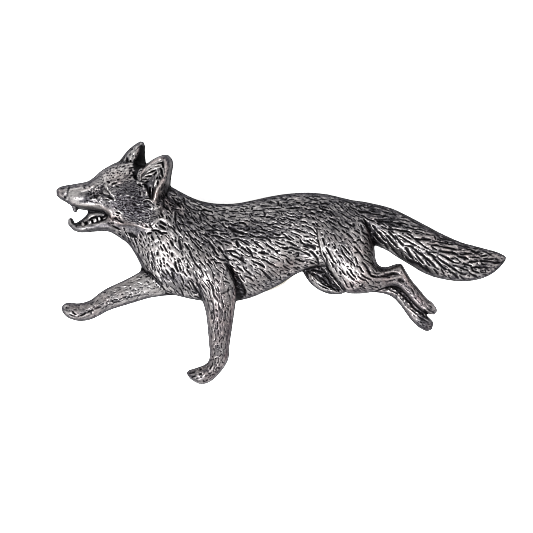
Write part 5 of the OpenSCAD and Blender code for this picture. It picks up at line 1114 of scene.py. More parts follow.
    [2.1, 352.6, 241.4, 356.3, 242.8], [1.9, 355.8, 241.1, 359.3, 239.5, 361.5, 242, 364, 243.8, 366.4, 243.2, 368.2, 245.4], [1.2, 356.8, 237.6, 359.3, 236.9], [1.4, 364.3, 245.8, 366.3, 247.8],
    [2.0, 353, 223, 354, 226.4], [2.1, 344.3, 220.8, 347, 223, 350, 225, 353.8, 226.7], [1.2, 338, 244.6, 339.8, 245.4], 
    # where the tail leaves the rump
    [3.0, 357.4, 209.8, 360, 211.9, 365, 212, 369, 212.6, 370.8, 214.4], [1.7, 363.3, 207.4, 366, 208, 370, 206.5, 372.8, 205.2], [1.3, 367.4, 203.8, 367.6, 207.3], [1.5, 380.3, 206.2, 384.3, 207.5],
    [1.5, 388.6, 208.8, 393.3, 209.7], [1.0, 376.8, 209.4, 379.3, 209.9], [1.7, 370.3, 213.4, 376, 214.5, 380.4, 214.6], [1.4, 388.8, 214.5, 394.3, 214],
    [1.7, 360.3, 215.3, 364, 216.5, 367, 218.9, 370, 220, 374.4, 221.2], [1.1, 373.8, 219.4, 380, 219.7, 388.4, 219.1], [2.2, 375.8, 220.9, 384, 221.7, 391.4, 222.1], [2.0, 356.8, 220.9, 361, 221, 363, 222.8, 364.8, 224.8],
    [2.4, 363.4, 218.8, 365, 222, 366, 225, 368, 228, 370.3, 231.8], [2.4, 371.8, 224.8, 374.5, 228, 376.6, 230.6], [1.7, 380.3, 225.8, 384, 228, 388, 229, 395.3, 229.6], [1.5, 388.3, 226.3, 391.3, 228.3],
    # tail, root and middle
    [1.5, 396.3, 211.4, 400, 213.4, 404.3, 215.2], [2.3, 393.6, 214.4, 396.3, 215.1], [1.2, 391.9, 211.3, 393.2, 213.8], [1.2, 400.8, 216.9, 403.3, 217.6],
    [1.4, 389.8, 217.4, 391.8, 219.3], [2.0, 392.8, 222.2, 397, 223.3, 403, 223.5, 407.8, 225.1], [1.3, 398.8, 225.6, 401, 224.9, 402.3, 226.2], [1.5, 404.3, 226.9, 409, 228, 413, 229, 417, 229.3],
    [1.4, 410.8, 225.8, 415, 226.5, 420.3, 227.6], [1.8, 416.4, 229, 419.8, 229.4, 422.3, 230.2], [2.0, 390.8, 228.3, 396, 229.5, 400, 230.5, 404, 231, 408, 231.5, 411.3, 233.2], [1.8, 401.3, 232.9, 403.2, 233.4],
    [1.9, 387.8, 230.8, 390.5, 233.8, 393.8, 237.3, 395.6, 239.4], [2.2, 394.6, 235.2, 397.4, 239.3, 399.5, 242, 403.3, 245.8], [2.0, 397.8, 235.3, 402, 237.5, 405, 239.8, 409, 242, 412, 244, 416.4, 245.5], [2.0, 405.8, 232.8, 410, 235, 413, 238, 418, 239.5, 423, 239.5],
    [3.0, 420.4, 238.7, 425, 239.4, 430.4, 239.2], [2.0, 415.3, 240.3, 419, 242.5, 423, 246, 427.4, 248.7], [2.0, 385.3, 235.2, 388.5, 237.3, 391, 241, 394, 244, 396.5, 247, 398.8, 248.2], [2.4, 385.4, 238.3, 387.5, 242, 390, 246, 393, 249.5, 396, 253, 400, 257, 403.4, 258.8],
    [2.5, 380.8, 239.8, 383, 242.5, 386, 246, 388.3, 249.8], [2.4, 375.8, 230.3, 380, 234, 382.5, 237.8, 386.3, 241.8], [3.0, 372.8, 232.8, 376, 237, 379.5, 240.5, 383.4, 244.4], [1.3, 378.8, 244.9, 382, 247, 384.3, 247.7],
    [1.5, 404.8, 245.4, 409, 246, 413, 246], [3.0, 404.7, 246.8, 406.5, 250, 408, 253, 410, 256, 412.4, 258.8], [1.2, 403.8, 251.3, 405.8, 253.3], [2.4, 409.8, 245.9, 413, 248.5, 415, 250, 417, 252, 421, 254.4, 424.4, 256.8],
    [1.6, 400.3, 251.8, 401.5, 254.5, 403.2, 257.3], [1.4, 416.8, 246.3, 419.3, 247.4], [1.0, 417.3, 249.3, 420.3, 250.7], [1.8, 425.3, 249.8, 427.5, 251.9, 432, 252, 436.3, 252.6],
    [2.2, 429.8, 253.3, 433, 256, 436, 258], [1.9, 430.3, 244.9, 434, 245.3], [1.4, 430.8, 242, 435, 242], [1.2, 420.8, 237.4, 424.3, 236.9],
    [1.2, 424.8, 233.9, 430, 235, 434.4, 235], [1.5, 412.8, 230.8, 417, 231.5, 421, 232.5, 424.3, 234.2],
    # tail, outer half
    [2.1, 438.3, 235.8, 440.2, 238.4, 445, 239.3, 450, 239.8, 455, 240.5, 460, 242.5, 464.3, 244.7], [1.8, 433.8, 235.8, 435.2, 239.8], [1.8, 431.3, 240.4, 436, 241.5, 440, 242.5, 447.8, 243.6], [1.7, 446.4, 241.3, 447.7, 243.4],
    [2.2, 431.8, 244.9, 437, 245.3, 441, 246.5, 446, 247.5, 451, 248.5, 456.4, 249.9], [1.9, 429.8, 245.3, 433, 248, 436.3, 249.7], [2.6, 438.3, 250.4, 442, 251.5, 446, 252, 452, 252.5, 455, 253.5, 458.3, 255.2], [1.9, 458.8, 254.2, 463, 254, 467, 253.5, 470.3, 253.4],
    [1.3, 464.3, 249.9, 470.3, 249.5], [1.9, 455.8, 255.3, 460, 257, 465, 257.5, 468.3, 259.2], [1.7, 470.8, 257.4, 475.3, 257], [1.4, 449.8, 258.7, 454.3, 257.9],
    [1.8, 436.8, 253.2, 440, 254.7, 444, 256.5, 447.5, 258.7, 450.5, 260.5, 454, 262.5, 458.8, 263.1], [1.5, 458.3, 260.8, 460.2, 262.2], [2.4, 435.8, 255.8, 439, 259, 442, 261.5, 445, 263.4, 448, 265.3, 451, 267, 455, 270, 459.4, 272.2], [2.6, 431.8, 254.8, 433.5, 258, 436.5, 261.5, 439, 264, 441, 266.3, 444, 268.4, 447.3, 270.2],
    [2.3, 426.8, 252.8, 430.4, 254], [2.4, 416.8, 251.8, 421, 254, 424, 257, 427, 259.4, 430, 262, 433, 265, 435, 267.4, 438.4, 269.7], [1.8, 424.8, 259.3, 427, 263, 429.8, 266.3], [1.8, 415.3, 254.8, 418, 258, 421, 261.5, 423.3, 264.3],
    [3.4, 406.8, 259.3, 413, 262, 418, 264, 421, 266.4, 424, 268.4, 428.4, 271.7], [1.9, 425.8, 267.3, 428, 270, 430.2, 273.2], [2.0, 432.8, 268.3, 435.5, 271.5, 437.7, 274.4], [1.7, 440.3, 267.8, 442, 271, 443.7, 274.4],
    [2.0, 447.3, 268.8, 449.5, 272, 450.4, 273.6], [1.8, 458.8, 267.4, 463, 269, 468.3, 270.6], [2.0, 461.8, 262.9, 466, 264.4, 471.3, 265.8], [2.0, 468.8, 261.6, 474, 261.6, 477.8, 260.4],
    [1.5, 473.4, 253.6, 479.8, 254.2], [3.0, 470.3, 249.3, 473, 251.4, 476, 252.5, 480.3, 251.4], [1.9, 477.8, 254.9, 481, 256, 487.3, 255.4], [1.5, 479.8, 253.2, 482.3, 253.6],
    [1.3, 487.3, 252.8, 491.3, 255.2], [1.8, 482.2, 258.6, 485, 258.3, 489, 259, 493.3, 258.7], [2.0, 479.8, 259.6, 482.5, 260.9, 487, 261, 491.8, 261.6], [2.6, 491.8, 261.4, 494.5, 263, 497.5, 262.5, 500, 261.9],
    [1.2, 483.8, 248.8, 487.3, 249.6], [1.1, 490, 250.9, 495.3, 252.3], [2.4, 472.8, 266.9, 477, 267, 481, 267.5, 484, 267, 488.8, 267.9], [2.0, 470.9, 266.8, 472, 269.8, 475, 271.5, 478.8, 272.7],
    [1.5, 479.3, 271.4, 482, 272.5, 485.8, 272.5], [1.9, 484.4, 269.2, 485.7, 271.8], [1.8, 468.3, 271.8, 471, 274, 473, 275, 476, 276.4, 478.8, 278.8], [2.2, 456.8, 271.3, 460, 273, 463, 274, 466.3, 274.2],
    [2.0, 458.8, 274.8, 461.5, 277.5, 465.3, 279.7], [2.6, 449.3, 271.8, 453, 273.3, 455.5, 276, 458.4, 278.8], [1.9, 447.3, 274.3, 449, 277, 451.3, 278.7],
    # near foreleg
    [1.8, 196.3, 281.8, 198.2, 284.8], [2.2, 191.8, 281.8, 194, 285, 197, 290, 199.5, 293.5, 201.7, 298.3], [1.9, 192.3, 290.8, 195.5, 293, 198.3, 292.9], [1.7, 193.8, 295.9, 197, 296.5, 201.3, 299.2],
    [2.0, 201.9, 283.8, 203.5, 286.5, 205.5, 289, 207, 291.8], [1.2, 201.8, 278.8, 204, 281.5, 206, 284, 209, 287.4, 211, 290], [2.2, 206.3, 279.9, 209, 280.5, 210.5, 283, 212.5, 285.5, 213.5, 289.5, 214, 294, 216, 297.4, 218.2, 300.3], [1.3, 211.8, 280.8, 214.2, 284.3],
    [1.2, 208.9, 289.3, 210, 294, 211.1, 298.3], [1.3, 216.4, 288.3, 217.6, 291.3], [1.4, 232.3, 286.8, 232.7, 288.8], [1.0, 228.4, 290.8, 228.7, 294.3],
    [1.1, 219.4, 292.8, 220.1, 298.3], [1.2, 223.8, 294.8, 225.7, 297.3], [1.9, 208.4, 300.4, 212.6, 300.7], [1.5, 208.9, 302.8, 209.3, 309.3],
    [1.5, 212.6, 301.3, 213.5, 305, 213.5, 309.8], [2.1, 211.2, 310.8, 211.9, 313.3], [2.2, 211.5, 313.8, 212.4, 318.8], [1.1, 214.3, 313.8, 214.5, 319.3],
    [1.4, 213.5, 319.8, 213.5, 322.3], [1.9, 223.4, 304.8, 224.6, 307.8], [1.5, 227.6, 304.3, 228.9, 306.8], [1.5, 215.8, 308.8, 217.9, 311.1],
    [2.0, 225.6, 310.3, 226.1, 312.8], [1.8, 224.2, 318.8, 224.7, 320.8], [1.5, 227.4, 320.3, 227, 323.8], [1.2, 217.6, 322, 217.8, 322.8],
    [1.5, 217.6, 324.3, 217.9, 326.3], [1.4, 214.4, 329.3, 214.8, 331.3], [1.2, 225.4, 330.3, 225.8, 332.3], [1.4, 223.4, 336.8, 223.9, 338.8],
    [1.4, 227.8, 340.4, 229.2, 340.6], [0.9, 215.5, 332.8, 215.9, 339, 213.3, 341.2], [1.0, 230, 300.8, 230.3, 303.3], [1.0, 226, 314, 226.2, 315.6],
    [0.9, 221.6, 308, 221.8, 310.6], [0.9, 219.4, 318.6, 219.8, 320.6], [0.8, 222.6, 323.6, 222.8, 326], [0.8, 218.4, 331.4, 218.8, 334.4], [0.9, 211.4, 325.6, 211.8, 330.4], [0.8, 226.4, 334.8, 226.8, 337.6],
    # near foreleg's foot
    [1.3, 213.8, 347.2, 213.2, 349.8], [1.2, 212, 345.2, 213, 345.8], [0.9, 215.3, 344.8, 215.7, 346], [1.3, 217.2, 345.4, 218.8, 344.4],
    [1.0, 219.6, 346.6, 220.4, 348], [1.0, 223, 349.4, 224, 349.4], [1.4, 222, 353.4, 222.6, 354.8], [0.9, 217, 348.6, 220, 349.6],
    [1.1, 215.2, 358.6, 216.2, 357.3, 218.4, 357.3, 219.6, 357.4], [0.9, 218.4, 358, 218.6, 360.6, 217.6, 363], [1.1, 222.2, 358.8, 222.4, 361.6], [1.2, 221.8, 362.2, 224, 362.2],
    [0.9, 212, 355.5, 213.6, 357], [1.5, 209.6, 360.6, 211.8, 359], [1.2, 201.6, 366.2, 205, 365.4, 207.8, 363.4, 209.8, 361], [1.3, 212.8, 362, 212.6, 364.2, 211.4, 366.4, 209.8, 368.6],
    [1.0, 207.8, 365.8, 208.8, 366.6], [1.9, 217.6, 367.8, 220, 367], [0.9, 214.2, 366, 214.6, 368], [0.9, 216.2, 364, 217, 365],
    [2.6, 200.2, 368.2, 201.6, 369.8], [1.3, 197, 368.4, 198.4, 368.2], [1.1, 198.6, 367.8, 200.8, 367.2], [2.1, 199.4, 373.9, 202.2, 373],
    [1.7, 189.2, 373.2, 192.2, 372.4, 195.8, 371.2], [1.9, 191.8, 377.8, 193.2, 376.2, 196, 375.4], [1.2, 200.2, 376.2, 201.8, 376.6], [0.9, 201.6, 375.4, 203, 375.2],
    [1.1, 205.4, 375.2, 207.4, 375.6], [1.0, 208, 376.8, 209.8, 376.4], [1.3, 210, 375.6, 211.4, 375], [1.0, 211.8, 374.6, 214.6, 373.2],
    [1.8, 208.6, 372.2, 209.8, 373.4], [1.5, 205.6, 379.9, 208.4, 379.2], [2.0, 203, 379.8, 204.8, 381.6], [1.3, 196.8, 380, 198, 380.8],
    [0.9, 196.4, 378.2, 198, 377.4], [0.9, 215.4, 370.8, 216.6, 372.4],
    # below the chest
    [2.2, 160.2, 281.8, 162.6, 284.8], [1.6, 161.4, 285.4, 163.8, 288, 165.6, 290.4], [1.3, 165.8, 290.4, 169.4, 291.6, 173.8, 294], [1.2, 166.4, 283, 167.8, 287.6],
    [1.6, 179.2, 287.2, 181.6, 290, 182.8, 293.4, 184, 296.2], [1.5, 185.2, 284.6, 186.6, 286, 188.6, 287.4, 190.6, 289.6], [1.3, 185.6, 288.6, 186.8, 290.6], [1.3, 176.2, 290, 178.4, 292.6],
    [1.1, 189.4, 294.6, 192, 297, 195, 299], [0.9, 170, 285.4, 175.2, 289.6],
    # far foreleg
    [1.2, 144.4, 274.2, 146.2, 274.2], [1.5, 145.8, 276.4, 149.8, 275.4], [1.9, 140.2, 277.4, 142.4, 276.2], [0.9, 147.2, 278.6, 147.6, 280.2],
    [1.9, 148, 281, 149, 283], [1.3, 131, 280.2, 131.8, 281], [1.2, 137.6, 283, 140, 283], [0.7, 133.8, 284.8, 136.8, 284.2],
    [1.4, 130.8, 286.4, 130.2, 288.8], [1.2, 138, 289.4, 139.8, 289.4], [1.0, 135.2, 290.2, 136.6, 290], [1.2, 134.2, 295.8, 138, 295.3, 141, 294.1],
    [1.5, 128.2, 297.2, 130.4, 296.2], [1.0, 147, 294.6, 149, 294.2], [1.6, 136, 300, 138, 299.4], [0.9, 154.4, 286.4, 156, 286.2],
    [0.9, 160, 289.4, 161, 289.4], [1.0, 131.6, 296.4, 133.4, 295.9], [0.8, 141, 291.8, 143.2, 291.4], [0.9, 129, 293.4, 129.9, 293.5],
    [1.6, 67.2, 307.4, 69.8, 307.8], [1.3, 73.3, 310.4, 73.8, 312, 75.6, 314.2], [1.0, 78.4, 305.4, 80.4, 305.4], [0.9, 79.2, 307, 79.2, 309.4],
    [1.0, 82.6, 308.6, 84.6, 308.4], [1.2, 78.2, 315.4, 79.2, 315.8], [1.6, 80.4, 315.8, 83.2, 314.6, 85.4, 312.9, 87.2, 312.2], [1.8, 88.2, 311.6, 91, 310.8, 94.2, 309.6],
    [1.9, 90.8, 311.6, 92.6, 313.4], [1.6, 94.6, 308.8, 96.4, 308, 98.6, 307.2, 102.2, 306.2], [1.4, 101.8, 308.8, 105, 307], [1.2, 90.8, 303.6, 93, 304.6],
    [0.9, 90.8, 301.4, 91.6, 303], [1.4, 107, 302, 107.6, 303.8], [1.5, 103.4, 292.6, 106.4, 291.8], [1.1, 109, 297, 110, 297.8],
    [1.6, 111.8, 300.2, 113.8, 300.8], [1.5, 113.8, 302.4, 117.4, 301.6, 121.6, 300.8], [1.2, 116, 299.2, 118.4, 299.6], [1.1, 114.8, 294.4, 117.2, 294.4],
    [1.0, 114.6, 290.2, 117, 290.2], [1.8, 123.2, 297.8, 126.4, 296.8], [1.1, 117, 287.2, 121.6, 287.5, 127, 287.2], [1.0, 94.4, 315.2, 96, 315.6],
    [0.9, 88.6, 315.2, 90.4, 315.6], [0.9, 105.2, 296.6, 105.4, 299.4],
    # far hind foot
    [1.2, 394.6, 294.2, 396.2, 295.4, 396.6, 297.2], [1.2, 399.4, 297.6, 402, 300], [1.5, 403.2, 302.2, 405.6, 305.6], [0.9, 390.4, 292.2, 394, 294],
    [1.6, 410.6, 304.8, 413.4, 308.8], [1.7, 417, 314.8, 420.4, 317.6, 424, 319.4, 428.8, 322.6], [0.9, 414, 311, 414.8, 313.4], [1.8, 421.6, 324, 424.2, 325.8],
    [1.7, 426, 325.8, 427.8, 327.8], [1.6, 423.4, 315, 424.8, 317], [0.9, 425.4, 313.4, 426, 316, 426.8, 319.4], [1.1, 416.4, 321.6, 418.6, 323.6],
    # near hind foot
    [1.1, 388.6, 270, 390.6, 270.6], [2.4, 388.8, 274, 392, 273, 395, 273.4, 398.6, 273.6], [2.0, 384, 274, 388.8, 274.2], [1.8, 384, 276, 387, 276.6, 389.8, 277.4],
    [1.3, 401.2, 271.8, 401.6, 273.4], [2.9, 397.6, 280, 400.4, 279.6, 403.6, 281.8], [1.1, 391.6, 283.2, 393, 283.8],
    [0.9, 390.6, 280.6, 393.2, 280.2], [1.1, 405.6, 286.2, 406.8, 286.6], [1.3, 410.4, 287.4, 411.6, 289.4, 413, 292, 413.8, 294.4], [0.9, 412.2, 296.8, 412.6, 298.2],
    [1.3, 415, 286, 418.4, 288.6], [1.0, 400.6, 284.8, 402, 286], [0.9, 410, 292.4, 411, 294],
]

# The strands painted bright, part burnished metal and part painted highlight: [full width, how bright, x, y, x, y, ...]
SHEEN = [
    [2.0, 1.0, 152.4, 227, 154.4, 225, 156.6, 222.4, 158.8, 219.8, 160.8, 218.6], [1.8, 1.0, 160, 218.6, 163.4, 218.8, 166, 220.2, 168.6, 222.4, 170.8, 225.2],
    [1.4, 0.9, 161.4, 223.4, 167.4, 226.8], [1.3, 0.45, 160.6, 229.8, 166.4, 231.2], [1.7, 0.9, 148.6, 235, 151, 238.6, 153.4, 243], [1.7, 0.8, 155, 236, 158, 241, 160, 246],
    # neck and chest
    [4.4, 0.8, 155.6, 237.8, 158.6, 239.6], [1.8, 0.7, 160, 233.4, 161.6, 235.6], [1.6, 1.0, 173.4, 240.4, 175.2, 243.6, 177.2, 246.8], [3.0, 0.7, 162.6, 237.6, 165.4, 242.2],
    [2.4, 0.7, 160.6, 244, 163.2, 247.2], [1.6, 0.8, 177.6, 235.8, 177.8, 240.2], [1.2, 0.8, 181.8, 235.6, 184.2, 240.2], [1.5, 0.8, 181.2, 240.4, 182.8, 245.4],
    [3.2, 0.9, 174.6, 250.2, 176.8, 254.2, 179, 257.4], [2.6, 0.7, 161.6, 253.8, 161.8, 259.4], [2.6, 0.8, 166.2, 266.6, 169.4, 270.2], [1.6, 0.9, 162.4, 263.8, 163.8, 267.8],
    [1.4, 0.9, 173.6, 257.4, 174.6, 261.6], [1.4, 0.7, 177.2, 261, 177.6, 265.4], [2.4, 0.6, 186.4, 250.4, 189.4, 252.6], [1.8, 0.6, 182.4, 262.6, 184.8, 265.6],
    [1.6, 0.8, 191.8, 257.4, 192.6, 259.4], [3.2, 0.5, 196.2, 261.6, 199.4, 264.2], [1.6, 0.9, 155.8, 256.8, 156.8, 259.2], [1.2, 0.8, 152.6, 255.6, 154, 258.2],
    [2.0, 0.7, 151.6, 246.8, 153.2, 249.4], [1.4, 0.8, 169, 269.4, 171.4, 272.6], [1.6, 0.6, 185, 267.8, 187.4, 271.2], [1.6, 0.8, 190.4, 267.8, 193.4, 271.6],
    [1.8, 0.8, 192.2, 274.8, 195.4, 278.6], [1.4, 0.9, 200.8, 278, 205, 283], [2.0, 0.8, 203.6, 271.6, 205.2, 273.6], [1.3, 0.8, 197.6, 269.8, 199.8, 273.4],
    [1.4, 0.8, 171.4, 264.4, 174.2, 267.6], [1.6, 0.7, 150.4, 242.4, 152.2, 244], [1.2, 0.7, 156.2, 260.8, 157.6, 264.4], [1.4, 0.6, 186.4, 240.8, 188.8, 243.6],
    # shoulder and the back behind the ear
    [2.0, 0.9, 203.4, 230.6, 205.4, 233.2, 207.6, 234.8], [1.2, 0.8, 208, 229.8, 209.6, 229.2], [2.0, 0.9, 223.8, 221.4, 223.8, 224.4], [1.4, 0.6, 225.6, 221.6, 227.4, 223.4, 227.2, 225.8],
    [1.2, 0.8, 222.4, 224.2, 222.8, 224.8], [1.5, 0.8, 173, 212.8, 174.8, 212.4], [2.2, 0.9, 172.4, 217.2, 172.8, 221.8], [2.4, 0.6, 190.4, 225.8, 192.4, 226.4],
    [1.5, 0.7, 195, 232.8, 195.4, 234], [1.8, 0.7, 193.6, 234.8, 194.8, 237.4], [1.5, 0.8, 199.4, 211.8, 199.8, 213.8], [1.6, 0.6, 191.6, 211.4, 193.6, 215.6],
    [1.7, 0.6, 186.6, 203.4, 190.4, 206], [1.4, 0.6, 176, 208, 177.4, 208.2], [3.6, 0.5, 226.8, 214.6, 228.8, 216], [1.8, 0.7, 215.4, 215.8, 217.4, 218.4],
    [1.6, 0.6, 225.2, 218.2, 230.4, 220.2], [1.5, 0.6, 222, 233.4, 224, 235.4], [1.4, 0.7, 221.4, 236.2, 224.6, 238.2], [1.3, 0.7, 214.6, 230.6, 216.4, 230.6],
    [1.3, 0.5, 207.4, 213, 209, 213.8], [1.5, 0.6, 168.6, 214.4, 170.4, 214.8], [1.2, 0.7, 181.6, 234.4, 184, 238], [1.4, 0.5, 177.4, 195.4, 182, 198.6],
    # flank behind the shoulder
    [2.8, 1.0, 231, 252.6, 236.6, 254.7], [2.4, 0.9, 225.4, 254, 231, 256.6, 235, 258.2, 240.2, 260], [2.4, 1.0, 229, 261.6, 231.6, 264.2], [2.3, 1.0, 237.4, 269.6, 240, 272.2],
    [1.6, 0.8, 221, 249, 224, 249.7, 229, 249, 235.4, 249.6], [2.2, 0.9, 216, 250.2, 219, 253.8, 222, 258], [1.9, 0.9, 206.6, 243.4, 207.6, 247], [2.0, 0.9, 218.4, 260, 221.2, 262.2],
    [1.4, 0.8, 226, 258, 227.4, 259.6], [1.7, 1.0, 246.8, 247.2, 249.2, 249.8], [1.8, 1.0, 250.8, 248, 254.8, 252.2], [1.5, 0.8, 241.8, 244.8, 247.2, 246],
    [1.4, 1.0, 239.8, 247, 242, 248.6], [2.8, 0.8, 258.4, 247.2, 261.2, 250], [1.5, 0.7, 256.8, 251, 259.2, 251.6], [1.6, 1.0, 264.4, 249.8, 266.8, 250],
    [1.5, 0.9, 267.8, 243.8, 271, 246, 274.4, 247.8], [1.8, 0.9, 265.8, 240.8, 269.2, 241.4], [1.2, 0.7, 256.2, 244.8, 258.4, 245.4], [2.0, 0.7, 242.8, 256.8, 248, 258.6, 253, 259, 258.4, 260.2],
    [1.6, 0.9, 252.6, 265.8, 256.4, 266.2], [1.6, 0.8, 257.6, 264.6, 260.4, 267.2], [1.2, 0.9, 245.8, 264.2, 246.8, 264.8], [2.0, 0.8, 247.6, 267.4, 251.2, 270.4],
    [2.0, 0.8, 245.8, 277.8, 251.2, 279.8], [1.8, 0.7, 253.8, 276.6, 256.4, 280.2], [1.8, 0.8, 243, 269.2, 246.2, 272.8], [1.5, 0.7, 240.4, 273.8, 243.4, 277],
    [3.0, 0.5, 256.6, 254.8, 266, 255.6, 274, 254.4], [2.2, 0.6, 268.4, 258.4, 274.4, 261], [1.4, 0.6, 233.4, 263.4, 236.4, 266.4], [1.5, 0.8, 243.6, 262.6, 246.8, 266.2],
    [1.6, 0.6, 262, 261.6, 267.4, 264], [1.6, 0.6, 264.6, 269, 269.4, 271.6], [1.8, 0.5, 246.4, 261.8, 252.6, 262.4], [1.4, 0.8, 222.4, 274, 225, 276.4],
    [1.8, 0.8, 224.6, 277, 228.4, 280.6], [1.6, 0.6, 220.8, 269.4, 223.2, 272.4], [1.6, 0.7, 207, 271.8, 208.6, 273.8], [1.3, 0.6, 213.4, 256, 216.4, 258.6],
    [1.4, 0.7, 221.4, 245.4, 222.8, 248.2], [1.8, 0.6, 209, 241.6, 212.4, 241.8], [1.4, 0.6, 228.8, 238.4, 229.4, 240], [1.2, 0.8, 231.2, 241, 233.4, 243.4],
    # back
    [1.9, 0.7, 253.8, 208.6, 258, 208.8, 262.4, 208.2], [1.9, 0.9, 265, 210.4, 268.6, 211, 272.4, 211], [1.4, 0.5, 272, 211, 277.4, 211], [1.5, 0.8, 246, 212.6, 252.4, 211.9],
    [1.4, 1.0, 253.8, 213.6, 256.8, 213.3], [1.7, 0.7, 257.8, 211.9, 263.2, 212.4], [1.5, 0.9, 265.8, 215.8, 268.2, 213.8], [1.3, 0.6, 268.4, 212.9, 276.2, 213.6],
    [1.5, 0.8, 263.8, 218.4, 270.4, 218.8], [1.5, 0.9, 258.4, 218.8, 261.2, 218.4], [1.4, 0.7, 233.8, 214.4, 239, 215, 243.4, 215.7], [1.7, 1.0, 235.2, 218.4, 239.2, 218.8],
    [1.5, 0.8, 240.2, 219.2, 248.4, 218.6], [1.6, 0.9, 244.4, 221.8, 245.6, 223], [1.5, 0.7, 239.8, 224.4, 243.8, 224.8], [1.2, 0.6, 255.8, 224.6, 260.2, 223.9],
    [1.4, 0.9, 251.8, 226.2, 255.8, 226.4], [2.2, 0.9, 230.8, 234, 233.4, 234], [1.4, 0.6, 231.8, 238.6, 239.2, 237.4], [1.5, 0.9, 273.8, 234.8, 278.2, 236.2],
    [1.4, 0.8, 279.8, 232.8, 281.4, 230.6, 285.2, 230.2], [2.4, 0.9, 286.8, 230.8, 290.6, 232.4], [1.9, 0.9, 280.8, 234.8, 284.4, 236.6], [2.0, 0.7, 269.8, 238.8, 277, 241, 283.4, 243.2],
    [1.5, 0.5, 282.8, 210, 290, 209.8, 296.4, 210], [2.2, 0.4, 271.8, 204.8, 274.2, 207], [1.3, 0.8, 291.8, 206.2, 293.4, 206.8], [1.3, 0.8, 295.8, 205.4, 298.8, 206.8],
    [1.5, 0.8, 290.8, 226.4, 295, 227, 300.2, 228.9], [1.9, 0.9, 292.8, 230.4, 295, 232, 299.4, 234.6], [1.1, 0.7, 288.8, 217.3, 291.2, 218.1], [1.1, 0.6, 292.8, 218.2, 295.2, 218.7],
    [1.2, 0.7, 296.8, 222.8, 299.2, 223.6], [1.3, 0.5, 241, 216.2, 247, 215.4], [1.2, 0.5, 236, 213.4, 240, 212.8], [1.4, 0.5, 279.6, 201.4, 281, 202.6],
    # rump
    [1.3, 0.7, 297, 223.6, 299.3, 223.9], [1.8, 0.9, 300.3, 224.4, 306, 225, 309.3, 226.7], [1.6, 1.0, 302.8, 227.4, 305.5, 229, 308.3, 230.7], [2.0, 0.9, 306.8, 225.4, 312, 228, 315, 231.5, 317.5, 235, 319.5, 238.2],
    [2.0, 1.0, 310.3, 230.8, 313.5, 233.5, 316.3, 235.2], [2.8, 1.0, 315.2, 237.4, 318.6, 238.4], [2.3, 1.0, 300.3, 232.4, 303.8, 234.2], [1.9, 0.9, 304.8, 235, 309.3, 234.8],
    [2.3, 1.0, 302.2, 237.4, 308.3, 239.4], [2.0, 1.0, 301.8, 241.4, 308.3, 243.2], [2.0, 0.9, 305.2, 220.9, 306.8, 221.9], [1.6, 0.9, 309.3, 223.4, 310.7, 224.9],
    [1.2, 0.7, 301.3, 219.4, 305.3, 219.6], [1.3, 0.7, 311.3, 222.4, 314.8, 222.5], [1.2, 0.7, 314.9, 220.3, 317.3, 222.8], [2.0, 0.8, 307.8, 206.6, 309.6, 208.2],
    [1.9, 0.8, 322.8, 212.1, 325.8, 211.5], [1.2, 0.7, 317.8, 200.6, 321.3, 200.6], [1.2, 0.6, 305.8, 214.8, 309.8, 216.4], [1.5, 0.8, 325.8, 217.5, 328.3, 217.3],
    [1.1, 0.6, 302.3, 213.4, 304.8, 213.2], [1.2, 0.7, 320.8, 232.4, 324.3, 232], [1.2, 0.9, 325.8, 235, 326.4, 236], [1.3, 0.8, 329, 231.9, 329.6, 232.8],
    [1.6, 0.8, 323.8, 238.3, 326.8, 241.4], [1.4, 0.8, 327.8, 242, 328.6, 243.2], [1.3, 0.6, 338.8, 221.8, 341.8, 223.7], [1.8, 0.6, 337.8, 226.3, 340.8, 228.8],
    [1.3, 0.5, 342.8, 216.2, 345.3, 217.7], [1.1, 0.5, 304.8, 201.3, 309.3, 200.8], [1.0, 0.5, 311, 202.2, 316, 202.2], [1.1, 0.5, 321.4, 205.6, 326, 205.2],
    [1.0, 0.4, 290, 198.4, 297, 198.2], [1.0, 0.4, 298, 201.2, 302, 202], [1.1, 0.5, 305.4, 204.6, 312, 204.4],
    # flank and belly
    [2.0, 1.0, 279.3, 244.9, 282.3, 245.7], [1.8, 0.9, 283.8, 244, 290, 245.5, 296.3, 247], [1.4, 0.7, 275.8, 242.6, 280.3, 244.2], [1.8, 0.9, 292.2, 248.6, 289, 249.4, 286.8, 250.4],
    [2.0, 0.7, 276.8, 248.4, 281.3, 249], [2.0, 1.0, 277.8, 251.9, 281.3, 252.4], [1.3, 0.7, 275.3, 253.4, 277.3, 254.5], [1.4, 0.9, 262.4, 258.4, 265.3, 258.8],
    [1.4, 0.9, 272.8, 259.4, 275.3, 259.8], [1.4, 1.0, 277.8, 260, 278.8, 260.6], [1.2, 0.9, 284.3, 257.4, 286.3, 257.5], [1.6, 0.6, 290.3, 258.4, 297, 260.5, 302.4, 262.7],
    [1.9, 0.9, 305.3, 250.3, 309.3, 253.3], [1.4, 0.7, 310.8, 249.3, 314.3, 252.3], [1.5, 0.8, 303.3, 242.4, 307.8, 242.9], [1.7, 0.9, 298.8, 242.8, 301.3, 245.3],
    [1.5, 1.0, 315.3, 245.8, 317.8, 249.9], [1.6, 0.9, 318.8, 246.8, 320.2, 250.9], [1.3, 0.9, 311.3, 261.2, 313.8, 262.5], [1.4, 0.6, 264.8, 262.4, 269.3, 265.2],
    [1.3, 0.6, 268.8, 268.4, 273, 271, 276.4, 273.2], [1.4, 0.7, 265.8, 271.8, 268.3, 274.3], [1.2, 0.9, 261.9, 272.2, 262.8, 272.9], [1.4, 0.5, 308.3, 265.6, 312.4, 264.4],
    [2.4, 0.5, 275, 262, 281, 263], [1.8, 0.5, 270, 265.6, 273, 266.8], [1.5, 0.6, 301, 251.6, 304.6, 253.8], [1.4, 0.6, 300.4, 257.2, 305, 258.6],
